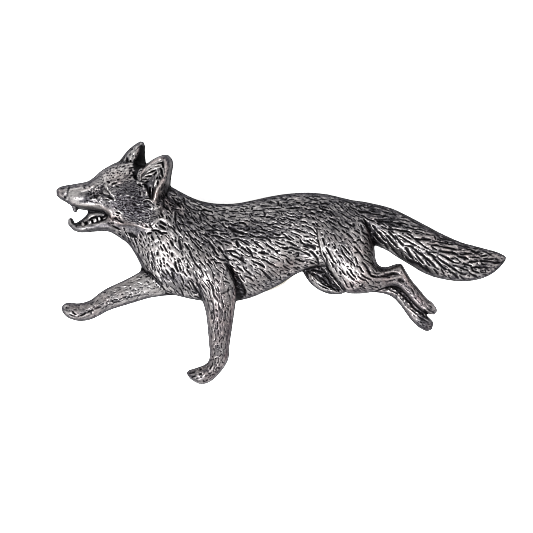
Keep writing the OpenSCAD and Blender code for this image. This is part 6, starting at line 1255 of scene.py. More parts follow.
    [1.3, 0.6, 306.4, 256, 311, 258], [1.3, 0.6, 313, 256.4, 316, 259.6], [1.5, 0.5, 289, 255.6, 294, 257.6], [1.6, 0.5, 294.8, 264.4, 301, 266],
    # far thigh
    [3.0, 1.0, 310.4, 276, 311.6, 279.4], [2.2, 0.9, 311.8, 281.4, 316, 286, 320, 288.4, 326.4, 289.6], [1.4, 0.6, 315.3, 268.5, 318.3, 268.6], [1.2, 0.5, 318.3, 273.9, 321.3, 275.2],
    [0.9, 0.6, 315.8, 276.3, 319, 280, 321.3, 282.8], [1.4, 0.9, 319.8, 283.9, 322.8, 285.3], [1.0, 0.5, 322.8, 280.8, 326.3, 283.3], [1.1, 0.7, 325.8, 286.3, 330.4, 288.7],
    [1.2, 0.5, 309.4, 271.6, 309.8, 275], [0.9, 0.4, 326, 277.8, 328.4, 280.6],
    # thigh
    [2.4, 1.0, 318.3, 240.8, 320.5, 245, 323.3, 248.8], [2.0, 1.0, 321.3, 252.8, 323.5, 256.5, 325.7, 260.4], [1.9, 0.9, 325.8, 245.8, 329, 251, 331.5, 255, 334, 259.4, 336, 263, 338.8, 265.8], [1.7, 0.7, 327.3, 253.8, 329.5, 258, 331.3, 261.9],
    [1.6, 0.6, 334.8, 252.8, 338, 258, 340.3, 262.4], [1.2, 0.6, 342.8, 245.8, 346.5, 249.4, 349.3, 252.9], [1.2, 0.5, 342, 249.8, 345, 254, 348.3, 258.3], [2.5, 1.0, 352.6, 242.3, 354.2, 246.8],
    [2.3, 1.0, 352.8, 247.8, 356.8, 251.8], [2.8, 1.0, 356.3, 253.8, 358.5, 257.5, 360.2, 261.4], [2.6, 1.0, 358.8, 262.8, 361.5, 266.5, 363.5, 269.5, 366, 273, 369, 276, 372.8, 278.8], [2.0, 0.9, 353.3, 258.3, 354.9, 262.9],
    [2.3, 1.0, 352.6, 265.8, 354.7, 269.9], [2.4, 1.0, 355.8, 267.8, 359, 272, 361.8, 275.3], [1.7, 0.9, 365.3, 256.8, 368.8, 260.4], [2.8, 0.8, 341.3, 266.8, 344.5, 271, 346.3, 274.4],
    [2.1, 1.0, 340.8, 272.3, 343.5, 276, 344.8, 278.9], [1.5, 0.9, 352.3, 271.3, 354.8, 274.4], [1.4, 1.0, 349.8, 274.8, 353.8, 279.4], [1.5, 0.7, 346.3, 275.8, 348.8, 281.4],
    [1.9, 0.9, 355.3, 274.8, 357.5, 278, 361.3, 279.8], [1.9, 1.0, 365.8, 278.3, 369.3, 280.2], [1.1, 0.9, 364.7, 282.8, 366.2, 283.5], [1.5, 0.8, 361.8, 272.3, 365.3, 275.8],
    [1.3, 0.8, 369.3, 266.3, 373.3, 268.7], [1.4, 0.7, 370.8, 271.8, 374.3, 273.2], [1.2, 1.0, 380.8, 272.8, 382.4, 272.8], [1.3, 0.9, 384.3, 272.5, 388.4, 272.5],
    [1.8, 0.7, 375.8, 279, 380, 279, 386.4, 278.4], [2.0, 0.6, 355.8, 284.3, 357.7, 286.8], [1.5, 0.6, 347, 271.4, 349.4, 273.4], [2.0, 0.5, 336.6, 271.6, 338, 275],
    [2.1, 1.0, 350.1, 222.6, 351.7, 224.1], [1.9, 1.0, 351.8, 228.9, 353.6, 230], [2.0, 0.9, 354.3, 232.3, 358, 235, 361.3, 237.8], [1.9, 0.5, 356.2, 225.3, 355.5, 228.9],
    [1.6, 0.9, 356.6, 239.4, 358.8, 237.6], [1.3, 0.9, 357.8, 240.6, 359.8, 241.7], [2.4, 0.6, 359.3, 243.8, 361.7, 248.4], [1.6, 0.8, 358.8, 249.8, 361.3, 253.4],
    [1.4, 0.6, 366.8, 243.8, 369.8, 247.9], [1.2, 0.6, 345.3, 223.8, 348.8, 226.8], [1.9, 1.0, 354.5, 249.8, 356.8, 252], [1.2, 0.8, 327.4, 241.8, 328.7, 243.2],
    [1.3, 0.5, 340, 244.4, 342.6, 247.6], [1.5, 0.6, 336.4, 226, 338, 228], [1.2, 0.5, 362.6, 240.8, 366, 241.6],
    # where the tail leaves the rump
    [1.5, 0.8, 361.3, 218.4, 363.5, 221, 364.7, 223.9], [1.5, 0.9, 365.3, 219.3, 368.8, 222.3], [1.9, 1.0, 372, 218.6, 373.8, 219.5], [1.5, 1.0, 383.2, 217.7, 387.3, 217.6],
    [1.9, 0.8, 370.4, 225.8, 371.5, 228.4, 373.3, 230], [1.7, 0.8, 363.8, 228.3, 366, 231.5, 367.8, 233.3], [1.4, 0.5, 370, 217.4, 382, 218.2], [1.2, 0.5, 362, 208.4, 369, 209.8],
    [1.2, 0.4, 374, 207.4, 382, 209.4], [1.2, 0.5, 360.6, 213.8, 366, 214.4], [1.3, 0.5, 391, 220.6, 394.4, 221.2],
    # tail, root and middle
    [1.5, 0.9, 392.3, 221.4, 397.8, 221.7], [1.9, 1.0, 395.8, 228.8, 399, 229.2, 401.2, 230.4], [1.1, 0.7, 390.8, 227.3, 395.3, 228.1], [2.0, 1.0, 405.3, 233.7, 409.3, 233.4],
    [1.8, 0.9, 394.8, 231.3, 398.5, 233.5, 401.3, 235.5], [2.6, 0.7, 401.8, 235.8, 405, 238, 409, 240.5, 414.4, 243.7], [1.5, 0.9, 411.3, 232.3, 414.8, 234.7], [1.9, 0.9, 411.3, 236.9, 415.8, 237.6],
    [1.9, 1.0, 416.3, 237.8, 419.8, 237.6], [1.5, 0.7, 419.8, 236.3, 426, 236.5, 432.4, 237.1], [1.8, 0.9, 399.8, 239.8, 403, 242.8, 406, 244, 410.3, 244.9], [2.2, 1.0, 420.3, 240.8, 423.5, 243.4, 427.3, 245.7],
    [2.4, 0.6, 413.8, 242.8, 418, 245, 422.3, 248.2], [1.9, 0.8, 417.3, 248.3, 421, 250, 425.3, 251.2], [1.7, 1.0, 424.3, 247.8, 426, 249, 428.8, 250.2], [1.7, 1.0, 428.8, 248.2, 431.3, 248.9],
    [2.4, 1.0, 380.6, 238.1, 383.5, 241.5, 386.8, 245.3], [2.0, 0.9, 386.8, 237.8, 389, 241.5, 391.5, 245.8, 394, 249, 396.8, 252.3], [1.7, 0.8, 375.3, 226.8, 379, 230.5, 382, 233, 386, 236.2], [2.3, 0.7, 386.3, 232.3, 388.5, 235, 392.3, 238.8],
    [2.3, 0.6, 390.8, 241.8, 393.8, 245.3], [2.6, 0.8, 396.3, 242.8, 400, 246, 403.3, 249.3], [1.4, 0.8, 398.8, 249, 404.3, 250.6], [2.4, 0.9, 406.8, 247.3, 409.5, 249.5, 412, 252.5, 413.1, 255.9],
    [2.0, 0.9, 403.8, 252.8, 407, 255.5, 410.3, 258.8], [1.9, 1.0, 416.3, 254.8, 419, 257, 421.3, 259.3], [1.9, 0.8, 424.8, 253.8, 428, 255.5, 430.8, 258.3], [1.2, 0.8, 436.3, 248.4, 439.3, 248.8],
    [1.9, 0.5, 391.3, 250.8, 393.3, 253.3], [1.2, 0.7, 430.8, 243.9, 438.3, 243.7], [1.2, 0.9, 380.3, 245.3, 383.3, 247.7], [1.4, 0.5, 396.2, 216, 402, 216.4],
    [1.2, 0.4, 404, 218.2, 410, 221], [1.3, 0.4, 411, 223, 418, 225.2], [1.2, 0.5, 413.6, 228, 416.6, 228.2], [1.2, 0.6, 419.8, 231.2, 423.6, 231.8],
    [1.2, 0.5, 425.6, 232, 430, 233.2], [1.6, 0.6, 393.8, 232.8, 396.4, 235.6], [1.6, 0.6, 392.8, 240, 396, 243],
    # tail, outer half
    [1.5, 1.0, 444.3, 245.9, 450, 246.7, 455, 247.5, 457.8, 248.7], [2.6, 1.0, 440.3, 248.3, 443, 249.4, 447.3, 249.5], [2.3, 1.0, 452.8, 250.9, 456.3, 252.1], [1.3, 0.5, 456.8, 251.5, 462.3, 251.5],
    [1.2, 0.6, 464.3, 251.4, 469.3, 251.9], [2.4, 1.0, 465.3, 256.2, 468.8, 256.9], [1.5, 1.0, 469.8, 259.1, 473.3, 259.1], [2.4, 0.8, 439.8, 251.9, 444, 253.5, 448, 255.4, 452.3, 256.4],
    [1.6, 1.0, 433.8, 253.2, 436.3, 254.4], [2.4, 0.9, 437.3, 255, 441, 257.5, 445, 260, 449, 262.5, 452.3, 264.7], [2.4, 0.9, 437.8, 260.3, 441.3, 263.8], [2.4, 0.8, 432.8, 260.3, 436, 263, 438, 265.5, 441.3, 268.2],
    [1.8, 1.0, 452.3, 259.9, 456, 261.4, 458.3, 261.9], [1.5, 0.9, 457.8, 258.4, 459.8, 258.9], [2.5, 0.6, 461.8, 260.4, 468.3, 260.9], [1.7, 1.0, 447.1, 265, 448.5, 267.5, 451, 270, 454.3, 272.8],
    [1.9, 0.9, 444.3, 268.8, 446.3, 270.7], [1.6, 0.7, 452.8, 263, 457.3, 264.2], [1.5, 0.9, 459.8, 264.9, 463.3, 265.6], [1.5, 0.9, 468.8, 263.4, 472.3, 264.7],
    [2.0, 1.0, 468.8, 270.3, 471.5, 272.6, 474.3, 273.9], [1.3, 0.7, 461.8, 270.9, 465.3, 272.2], [2.3, 0.7, 425.8, 254.3, 429, 256.5, 432.3, 259.3], [1.8, 0.9, 417.3, 255.8, 420, 258.5, 423, 261, 425.2, 264.3],
    [1.5, 0.8, 418.3, 258.8, 420.5, 262.5, 423, 265.5, 425.3, 268.3], [1.9, 0.5, 425.3, 263.3, 428, 266, 430.3, 269.3], [1.9, 0.6, 430.8, 268.8, 434, 271, 435.3, 273.4], [1.9, 0.5, 437.3, 269.8, 439.8, 273.4],
    [1.3, 0.4, 408.8, 257.3, 412, 259.5, 416.3, 262.2], [1.2, 0.5, 476.8, 250.8, 479.8, 251.1], [1.1, 0.4, 486.8, 251.4, 489.3, 251.9], [1.5, 1.0, 481.3, 254.4, 484.8, 253.6],
    [1.6, 1.0, 484.3, 256.8, 487.3, 256.3], [1.5, 0.7, 478.8, 257, 483.3, 257.6], [1.7, 0.7, 487.8, 257.4, 493.3, 257.9], [1.1, 0.7, 487.3, 260.3, 490.3, 260.5],
    [1.5, 0.9, 491.3, 260.4, 494.3, 261], [2.8, 1.0, 477.8, 263.3, 479.6, 262], [1.4, 0.5, 486.8, 263.4, 494.3, 264.1], [1.6, 0.8, 472.3, 264.8, 474.8, 266.8],
    [2.5, 1.0, 476.9, 270.3, 479.7, 270], [1.7, 0.6, 475.8, 273.4, 480.3, 275.2], [2.4, 0.5, 469.8, 275.9, 473.3, 277.6], [1.9, 0.5, 464.8, 276.4, 468.3, 277.2],
    [1.3, 0.6, 480.3, 276.4, 482.3, 277.1], [1.5, 0.5, 457.3, 274.9, 461.3, 279.3], [1.9, 0.5, 485.8, 265.3, 488.8, 266.7], [2.4, 0.4, 502.8, 257.8, 504.4, 259.2],
    [1.2, 0.4, 448, 241, 454, 242.4], [1.1, 0.5, 456, 241.6, 460, 243.2], [1.3, 0.6, 440, 241.2, 444, 242.2], [1.1, 0.5, 438.4, 236.4, 442, 237.6],
    [1.6, 0.4, 490, 267, 496, 265], [1.6, 0.4, 488, 272, 494, 269.6], [1.5, 0.4, 495, 256, 500, 257.6],
    # near foreleg
    [1.8, 0.9, 201.3, 277.3, 204, 281, 206, 284.5, 208.8, 289.3], [1.6, 0.9, 209.8, 280.3, 211.8, 283.8], [1.4, 0.9, 201.8, 285.3, 204, 288.5, 206.8, 292.8], [1.5, 0.8, 207.3, 289.3, 209.1, 294.3],
    [2.0, 0.8, 210.3, 289.8, 211.5, 294, 213, 298, 215.1, 303.4], [1.5, 0.9, 214.2, 286.8, 215, 291, 215.5, 295, 217.2, 297.8], [1.8, 1.0, 224.3, 276.8, 227, 279.4, 230.8, 281.7], [1.8, 0.7, 219.3, 292.6, 221.5, 292.1, 224, 291, 226, 289, 227.5, 286.5, 229.3, 284.7],
    [1.5, 0.8, 222.3, 295.3, 224.7, 298.8], [1.1, 0.8, 226.1, 296.8, 227.2, 298.8], [1.4, 0.7, 216.8, 307.8, 218.7, 310.2], [1.1, 0.6, 216.2, 310.8, 216.6, 313.8],
    [1.1, 0.6, 219, 312.8, 219.4, 316.3], [1.9, 0.6, 217.3, 316.8, 218.2, 318.8], [1.1, 0.9, 227.3, 318.1, 227.7, 318.9], [1.0, 0.6, 216.2, 323.8, 216.5, 327.3],
    [1.0, 0.6, 219.2, 325.8, 219.6, 329.3], [1.0, 0.6, 212.8, 342, 217.3, 342], [1.6, 0.4, 211.4, 302.8, 211.5, 309.3], [1.1, 0.5, 229.4, 305.8, 229.6, 309.3],
    [1.5, 0.4, 217.3, 333.8, 218.2, 338.3], [1.4, 0.5, 205.4, 280.8, 207.6, 284.2], [1.2, 0.4, 220.8, 300.8, 221.4, 304.6], [1.2, 0.4, 212.4, 321, 212.6, 325],
    [1.4, 0.5, 197.6, 286.2, 200.4, 290.4], [1.2, 0.5, 219.8, 310.4, 220.2, 313],
    # near foreleg's foot
    [1.5, 1.0, 209.6, 365.8, 208.4, 368.8], [1.6, 1.0, 207.4, 371, 205.4, 373.2], [1.5, 1.0, 204.8, 374.6, 202.6, 376.6], [1.7, 1.0, 194.8, 378, 195.8, 376.8],
    [1.3, 0.7, 196.6, 373.4, 198.4, 372.8], [1.2, 0.5, 191, 374, 194.4, 374.6], [1.9, 0.8, 216.8, 358.6, 216.4, 360.4], [1.2, 0.8, 219.6, 359, 219.4, 360.6],
    [1.6, 0.6, 217.2, 335.8, 218, 337.4], [1.6, 0.4, 214.4, 333, 214.6, 339.4], [1.0, 0.6, 216.2, 348, 216.8, 349.4], [1.0, 0.6, 220.2, 352.8, 220.6, 354.2],
    [0.9, 0.5, 221.6, 352.4, 223.6, 351.6], [1.8, 0.7, 213.4, 367.4, 209.6, 370.6], [1.4, 0.4, 219, 362.8, 217.4, 366.2], [1.2, 0.5, 202.6, 372, 203.4, 370.4],
    [1.3, 0.5, 211, 362.6, 210, 365], [1.0, 0.5, 197.6, 371.8, 199.4, 371], [1.4, 0.4, 200, 378.2, 203.8, 378.6], [0.9, 0.5, 218.2, 347.8, 219, 346.6],
    # far foreleg
    [1.0, 0.6, 141.4, 274, 146.6, 273], [2.4, 1.0, 143.8, 278, 147.6, 279.4], [0.9, 0.8, 147.6, 276.8, 149.8, 276.4], [0.9, 0.7, 154, 278.4, 154.8, 278.8],
    [1.4, 0.6, 148.8, 280.4, 151.4, 280.8], [1.3, 0.9, 136.6, 281.8, 141.6, 280.8], [1.8, 1.0, 141, 283.2, 143.8, 281.8], [1.5, 0.9, 144.4, 284.6, 146, 281.6],
    [1.0, 0.8, 132.8, 283.4, 135, 283.2], [1.4, 0.9, 130.6, 284.8, 133, 285.6, 132.4, 288.6], [1.9, 1.0, 148, 285.4, 151.2, 285.2, 155.4, 283], [2.0, 0.6, 144.6, 286, 144, 289.6],
    [0.9, 0.9, 132.6, 291.4, 135, 291.4], [1.0, 0.9, 136.8, 291, 138.2, 290.2], [0.9, 0.7, 134.8, 288.6, 138, 288.2], [0.9, 0.7, 140, 289.4, 141, 288],
    [0.9, 0.8, 156.6, 289, 159.8, 288.2], [1.0, 0.9, 161.8, 289.4, 162.8, 290.8], [1.8, 0.5, 144.4, 292, 150, 290.6, 158.8, 290.8], [1.2, 0.5, 130, 299.4, 137, 296.8],
    [1.3, 1.0, 80.8, 308.4, 82.2, 308.4], [2.0, 0.6, 64, 306.6, 64.6, 309], [1.3, 0.9, 66.8, 313.8, 69.2, 315], [1.0, 0.6, 67, 309.4, 69.4, 309.8],
    [1.3, 0.5, 72, 308.6, 75.6, 307.8], [1.5, 0.6, 76, 313, 79.4, 310.6], [1.6, 0.8, 85.4, 309.4, 88.8, 307], [0.9, 1.0, 85.8, 313.8, 86.8, 313.2],
    [1.3, 0.7, 88, 314, 90, 313.2], [1.4, 0.9, 93.2, 312, 94.8, 310.6], [1.6, 0.8, 95.4, 304.6, 98.8, 302.2, 103, 299.6], [1.0, 0.7, 99.8, 308.2, 103.8, 307],
    [1.2, 0.7, 103, 297, 107, 295.8], [0.9, 0.8, 106.2, 301.6, 107, 301.6], [0.9, 0.7, 106.2, 304.4, 107, 305], [1.4, 0.8, 111.6, 301.6, 113.4, 303.4],
    [1.2, 0.6, 112.4, 299.2, 114, 298.8], [1.0, 0.6, 115.8, 297.4, 118.4, 297.2], [1.3, 1.0, 118.8, 291.4, 121.2, 291.4], [1.0, 0.8, 115.6, 301, 118.2, 300.4],
    [1.0, 0.9, 124.2, 300, 124.6, 300.8], [1.2, 0.5, 103, 306, 105.6, 305], [1.6, 0.4, 95.4, 307, 101, 304.8],
    # far hind foot
    [1.2, 0.9, 392.4, 294.4, 394.8, 296.6], [1.3, 1.0, 396.6, 298, 399.6, 299], [1.1, 0.8, 394.4, 293, 397.6, 295, 401, 297.6], [1.4, 1.0, 403.2, 300.2, 405.4, 303.4, 408, 306, 411, 308.4],
    [1.5, 0.9, 400.6, 301, 402.8, 304.8, 405.8, 307.6, 409.8, 310.6, 412.6, 313.4], [1.6, 0.8, 411.6, 311.6, 412.6, 314.8], [1.6, 0.8, 414, 316.4, 417.4, 318.4], [1.3, 0.8, 417.4, 316.4, 420.6, 319.8],
    [1.5, 0.8, 424, 312.8, 424.6, 314.2], [1.0, 0.5, 424, 321, 426, 322.4], [1.2, 0.5, 388.2, 291.6, 390, 293.4],
    # near hind foot
    [1.0, 0.9, 384.2, 272.6, 387, 272.4], [1.1, 0.8, 392.8, 271.2, 394, 271.6], [1.2, 0.7, 399, 270.8, 399.6, 272.4], [2.0, 0.5, 389.6, 275.4, 391.6, 276.6],
    [1.5, 0.7, 393.4, 277.6, 398, 277, 404, 277.4], [1.2, 0.6, 384.4, 278.2, 388, 278.6], [1.0, 0.6, 403.4, 279, 406.4, 281.8], [1.0, 0.9, 406.8, 283.8, 409.2, 286],
    [1.0, 0.8, 411, 286, 413, 289, 415, 292.4, 415.8, 294.6], [0.9, 0.6, 410.8, 290.4, 412, 292.4], [1.3, 0.6, 387, 283, 391, 281.6, 395.6, 282, 400.6, 284.4], [1.0, 0.5, 400.6, 274.4, 403.6, 276.2],
    [1.6, 0.4, 388, 269.2, 393.6, 268.4, 399, 267.6], [0.9, 0.7, 428, 302.8, 430.4, 304],
]

taken = np.zeros((NY, NX), np.float32)      # 1 where a drawn strand keeps the scattered fur off
scored = np.zeros((NY, NX), np.float32)     # 0 to 1, how deep inside a drawn cut
glow = np.zeros((NY, NX), np.float32)       # 0 to 1 on a drawn bright strand, its painted highlight


def strand(pts, half, power):
    """Profile of one strand, pointed at both ends and a little uneven."""
    pts = list(zip(pts[0::2], pts[1::2]))
    win, d, pos = polyline_field(rounded(pts), half * 3 + 1.8)
    taper = np.sqrt(np.clip(1 - np.abs(2 * pos - 1) ** 4, 0, 1))
    w = half * (0.40 + 0.60 * taper) * (0.35 + 0.65 * swell[win])
    return win, d, taper, np.exp(-(d / w) ** power) * np.sqrt(taper)


for row in SLITS:
    half = 0.46 * row[0]
    win, d, taper, k = strand(row[1:], half, 2.5)
    scored[win] = np.maximum(scored[win], k)
    cut[win] = np.maximum(cut[win], k * min(0.045 + 0.045 * row[0], 0.22))
    edge = np.exp(-((d - half * 1.7) / (half * 0.8)) ** 2) * taper
    lip[win] = np.maximum(lip[win], 0.20 * edge)
    taken[win] = np.maximum(taken[win], np.exp(-(d / (half + 0.8)) ** 4) * (taper > 0))
for row in SHEEN:
    half = 0.48 * row[0]
    win, d, taper, k = strand(row[2:], half, 2.4)
    glow[win] = np.maximum(glow[win], k * row[1])
    height[win] += (0.025 * row[1] * k).astype(np.float32)
    taken[win] = np.maximum(taken[win], np.exp(-(d / (half + 0.3)) ** 4) * (taper > 0))
glow *= 1 - scored
# on the limbs the painted highlights of the strands and the patina in the cuts are weaker
limb = (label == L["far_fore"]) | (label == L["far_hind"]) | ((label == L["near_fore"]) & (PY > 272)) | ((label == L["near_hind"]) & (PX > 378))
even = np.where(limb, 1.0, 0.0) * np.clip(np.where(label == L["near_fore"], (PY - 272) / 30, 1), 0, 1)
even *= np.where(label == L["near_fore"], 1 - np.clip((PY - 350) / 8, 0, 1), 1)
glow *= (1 - 0.55 * even).astype(np.float32)
scored *= (1 - 0.38 * even).astype(np.float32)
settled = np.clip(blur(np.maximum(scored, glow), 4.0) * 4.5, 0, 1)
print("strands", len(SLITS), len(SHEEN))



def scatter_strokes(part):
    win, (length, gap, width, depth) = style_maps(part)
    here = (label[win] == L[part]) & (sdf[win] < -1.0) & (calm[win] < 0.4) & (taken[win] < 0.3)
    jj, ii = np.nonzero(here)
    if not len(jj):
        return 0
    per = (length[jj, ii] * gap[jj, ii]).mean()
    tries = int(len(jj) / (S * S) / per * 14)
    pick = rng.integers(0, len(jj), tries)
    cell = {}
    made = 0
    jit = rng.random((tries, 10))
    for n_, p in enumerate(pick):
        j, i = jj[p], ii[p]
        q = jit[n_]
        x = float(PX[win][j, i]) + (q[0] - 0.5) / S
        y = float(PY[win][j, i]) + (q[1] - 0.5) / S
        gj, gi = j + win[0].start, i + win[1].start
        cx, cy = flow_x[gj, gi], flow_y[gj, gi]
        ln = float(length[j, i]) * (0.50 + 0.95 * q[2] ** 1.3)
        gp = float(gap[j, i]) * (0.80 + 0.45 * q[6])
        key = (int(x // 6), int(y // 6))
        clash = False
        for kx in (-2, -1, 0, 1, 2):
            for ky in (-2, -1, 0, 1, 2):
                for ox, oy, ol in cell.get((key[0] + kx, key[1] + ky), ()):
                    dx, dy = ox - x, oy - y
                    a = (dx * cx + dy * cy) / ((ln + ol) * 0.43)
                    b = (-dx * cy + dy * cx) / (gp * 0.80)
                    if a * a + b * b < 1:
                        clash = True
                        break
                if clash:
                    break
            if clash:
                break
        if clash:
            continue
        cell.setdefault(key, []).append((x, y, ln))
        made += 1
        thin = float(settled[gj, gi])
        wd = float(width[j, i]) * (0.62 + 0.55 * q[3]) * (1 - 0.26 * thin)
        dp = float(depth[j, i]) * (0.45 + 0.60 * q[4]) * (1 - 0.40 * thin)
        turn = (q[5] - 0.5) * 0.42
        side = 1 if q[7] < 0.62 else -1
        draw_stroke(x, y, gj, gi, ln, wd, dp, turn, side, L[part], 1 - 0.55 * thin)
        if q[8] < 0.30:          # a second cut that branches off the first
            off = (0.25 + 0.3 * q[9]) * ln
            sg = 1 if q[9] < 0.5 else -1
            bx, by = x + cx * off - cy * sg * 0.8, y + cy * off + cx * sg * 0.8
            bj = min(max(int((by - Y0) * S), 0), NY - 1)
            bi = min(max(int((bx - X0) * S), 0), NX - 1)
            draw_stroke(bx, by, bj, bi, ln * 0.6, wd * 0.85, dp * 0.9, turn + sg * (0.25 + 0.3 * q[4]), side, L[part], 1 - 0.55 * thin)
    return made


def draw_stroke(x, y, gj, gi, ln, wd, dp, turn, side, lab, dark):
    """One cut along the flow: pointed at both ends, bent with the flow, with a raised lip on one side."""
    a0 = flow_angle[gj, gi] + turn
    c, s = math.cos(a0), math.sin(a0)
    hj = min(max(int((y + s * ln * 0.5 - Y0) * S), 0), NY - 1)
    hi = min(max(int((x + c * ln * 0.5 - X0) * S), 0), NX - 1)
    bend = math.atan2(math.sin(flow_angle[hj, hi] + turn - a0), math.cos(flow_angle[hj, hi] + turn - a0))
    bend = max(-0.5, min(0.5, bend)) / max(ln * 0.5, 1)
    r = ln * 0.5 + 2.5
    win = window(x, y, x, y, r)
    dx, dy = PX[win] - x, PY[win] - y
    along = dx * c + dy * s
    across = -dx * s + dy * c - 0.5 * bend * along * np.abs(along) + wobble[win]
    u = along / (ln * 0.5)
    taper = np.clip(1 - np.abs(u) ** 2.0, 0, 1)
    w = wd * (0.30 + 0.70 * taper) * swell[win]
    fade = np.sqrt(taper)
    ok = (label[win] == lab) & (calm[win] < 0.75) & (taken[win] < 0.6)
    k = np.where(ok, np.exp(-np.abs(across / w) ** 2.8) * fade, 0)
    groove[win] = np.maximum(groove[win], k * dark)
    cut[win] = np.maximum(cut[win], k * dp)
    m = np.where(ok, np.exp(-((across * side + wd * 1.75) / (wd * 0.95)) ** 2) * fade, 0)
    lip[win] = np.maximum(lip[win], m * min(dp / 0.16, 1.3))


total = 0
for part in STYLE:
    total += scatter_strokes(part)
print("strokes", total)


def streaks(sigma, reach):
    """Noise drawn out along the flow."""
    noise = blur(rng.standard_normal((NY, NX)).astype(np.float32), sigma)
    noise /= noise.std()
    acc = np.zeros((NY, NX), np.float32)
    for k in range(-reach, reach + 1):
        w = 0.5 + 0.5 * math.cos(math.pi * k / (reach + 1))
        aj = np.clip(np.rint(JJ + flow_y * k), 0, NY - 1).astype(np.int32)
        ai = np.clip(np.rint(II + flow_x * k), 0, NX - 1).astype(np.int32)
        acc += w * noise[aj, ai]
    acc -= blur(acc, 2.6 * max(sigma, 0.8))
    return acc / acc.std()


JJ, II = np.mgrid[0:NY, 0:NX]
grain = streaks(0.30, 7)
patch = streaks(0.95, 12)
speck = blur(rng.standard_normal((NY, NX)).astype(np.float32), 0.36)
speck /= speck.std()
mottle = blur(rng.standard_normal((NY, NX)).astype(np.float32), 3.0)
mottle /= mottle.std()

# depth of the fur over the map, from the same tables
fur_depth = np.full((NY, NX), 0.04, np.float32)
for part in STYLE:
    win, (length, gap, width, depth) = style_maps(part)
    fur_depth[win] = np.where(label[win] == L[part], depth, fur_depth[win])
fur_depth = blur(fur_depth, 1.5) * (1 - 0.85 * calm)
edge_fade = np.clip((-sdf - 0.8) / 4.0, 0.2, 1)
cut *= edge_fade
relief = height - cut * 1.15 + 0.025 * lip * edge_fade + 0.09 * fur_depth * patch * edge_fade
relief = np.maximum(relief, 0.35)
print("relief done", float(relief.max()))

# ---------------------------------------------------------------------------
# Tone of the metal: dark patina in cuts and hollows, rubbed bright on top, with painted shade on slopes and at the
# outline and painted highlights on bright strands and lips
# ---------------------------------------------------------------------------
fine_up = relief - blur(relief, 1.2)
broad_up = relief - blur(relief, 5.0)
gy_, gx_ = np.gradient(blur(body, 0.7), 1.0 / S)
slope = np.hypot(gx_, gy_) / UNIT_MM
strength = np.clip(fur_depth / 0.15, 0.2, 1.35)
wear_and_painted_light = 0.585 + 0.9 * fine_up + 0.30 * np.clip(broad_up, -0.8, 0.5)
wear_and_painted_light -= 0.72 * np.clip(groove * 1.3, 0, 1) * np.clip(fur_depth / 0.13, 0.40, 1.0) * edge_fade * (1 - 0.28 * even)
# a painted highlight along the lip beside each cut
wear_and_painted_light += 0.10 * (1 + 0.7 * np.exp(-((PX - 268) / 78) ** 2 - ((PY - 211) / 15) ** 2)) * lip * (1 - np.maximum(groove, scored)) * strength
lively = np.exp(-((PX - 268) / 78) ** 2 - ((PY - 211) / 15) ** 2) + 1.6 * np.exp(-((PX - 478) / 32) ** 2 - ((PY - 260) / 18) ** 2)
wear_and_painted_light += (0.062 * grain + 0.060 * patch) * (0.35 + 0.65 * strength) * (1 + 0.7 * lively) + 0.035 * speck
# steep slopes painted darker: patina left on the walls and painted shade
wear_and_painted_light -= 0.12 * np.clip(slope - 0.8, 0, 2.0)
wear_and_painted_light += tone + 0.025 * mottle
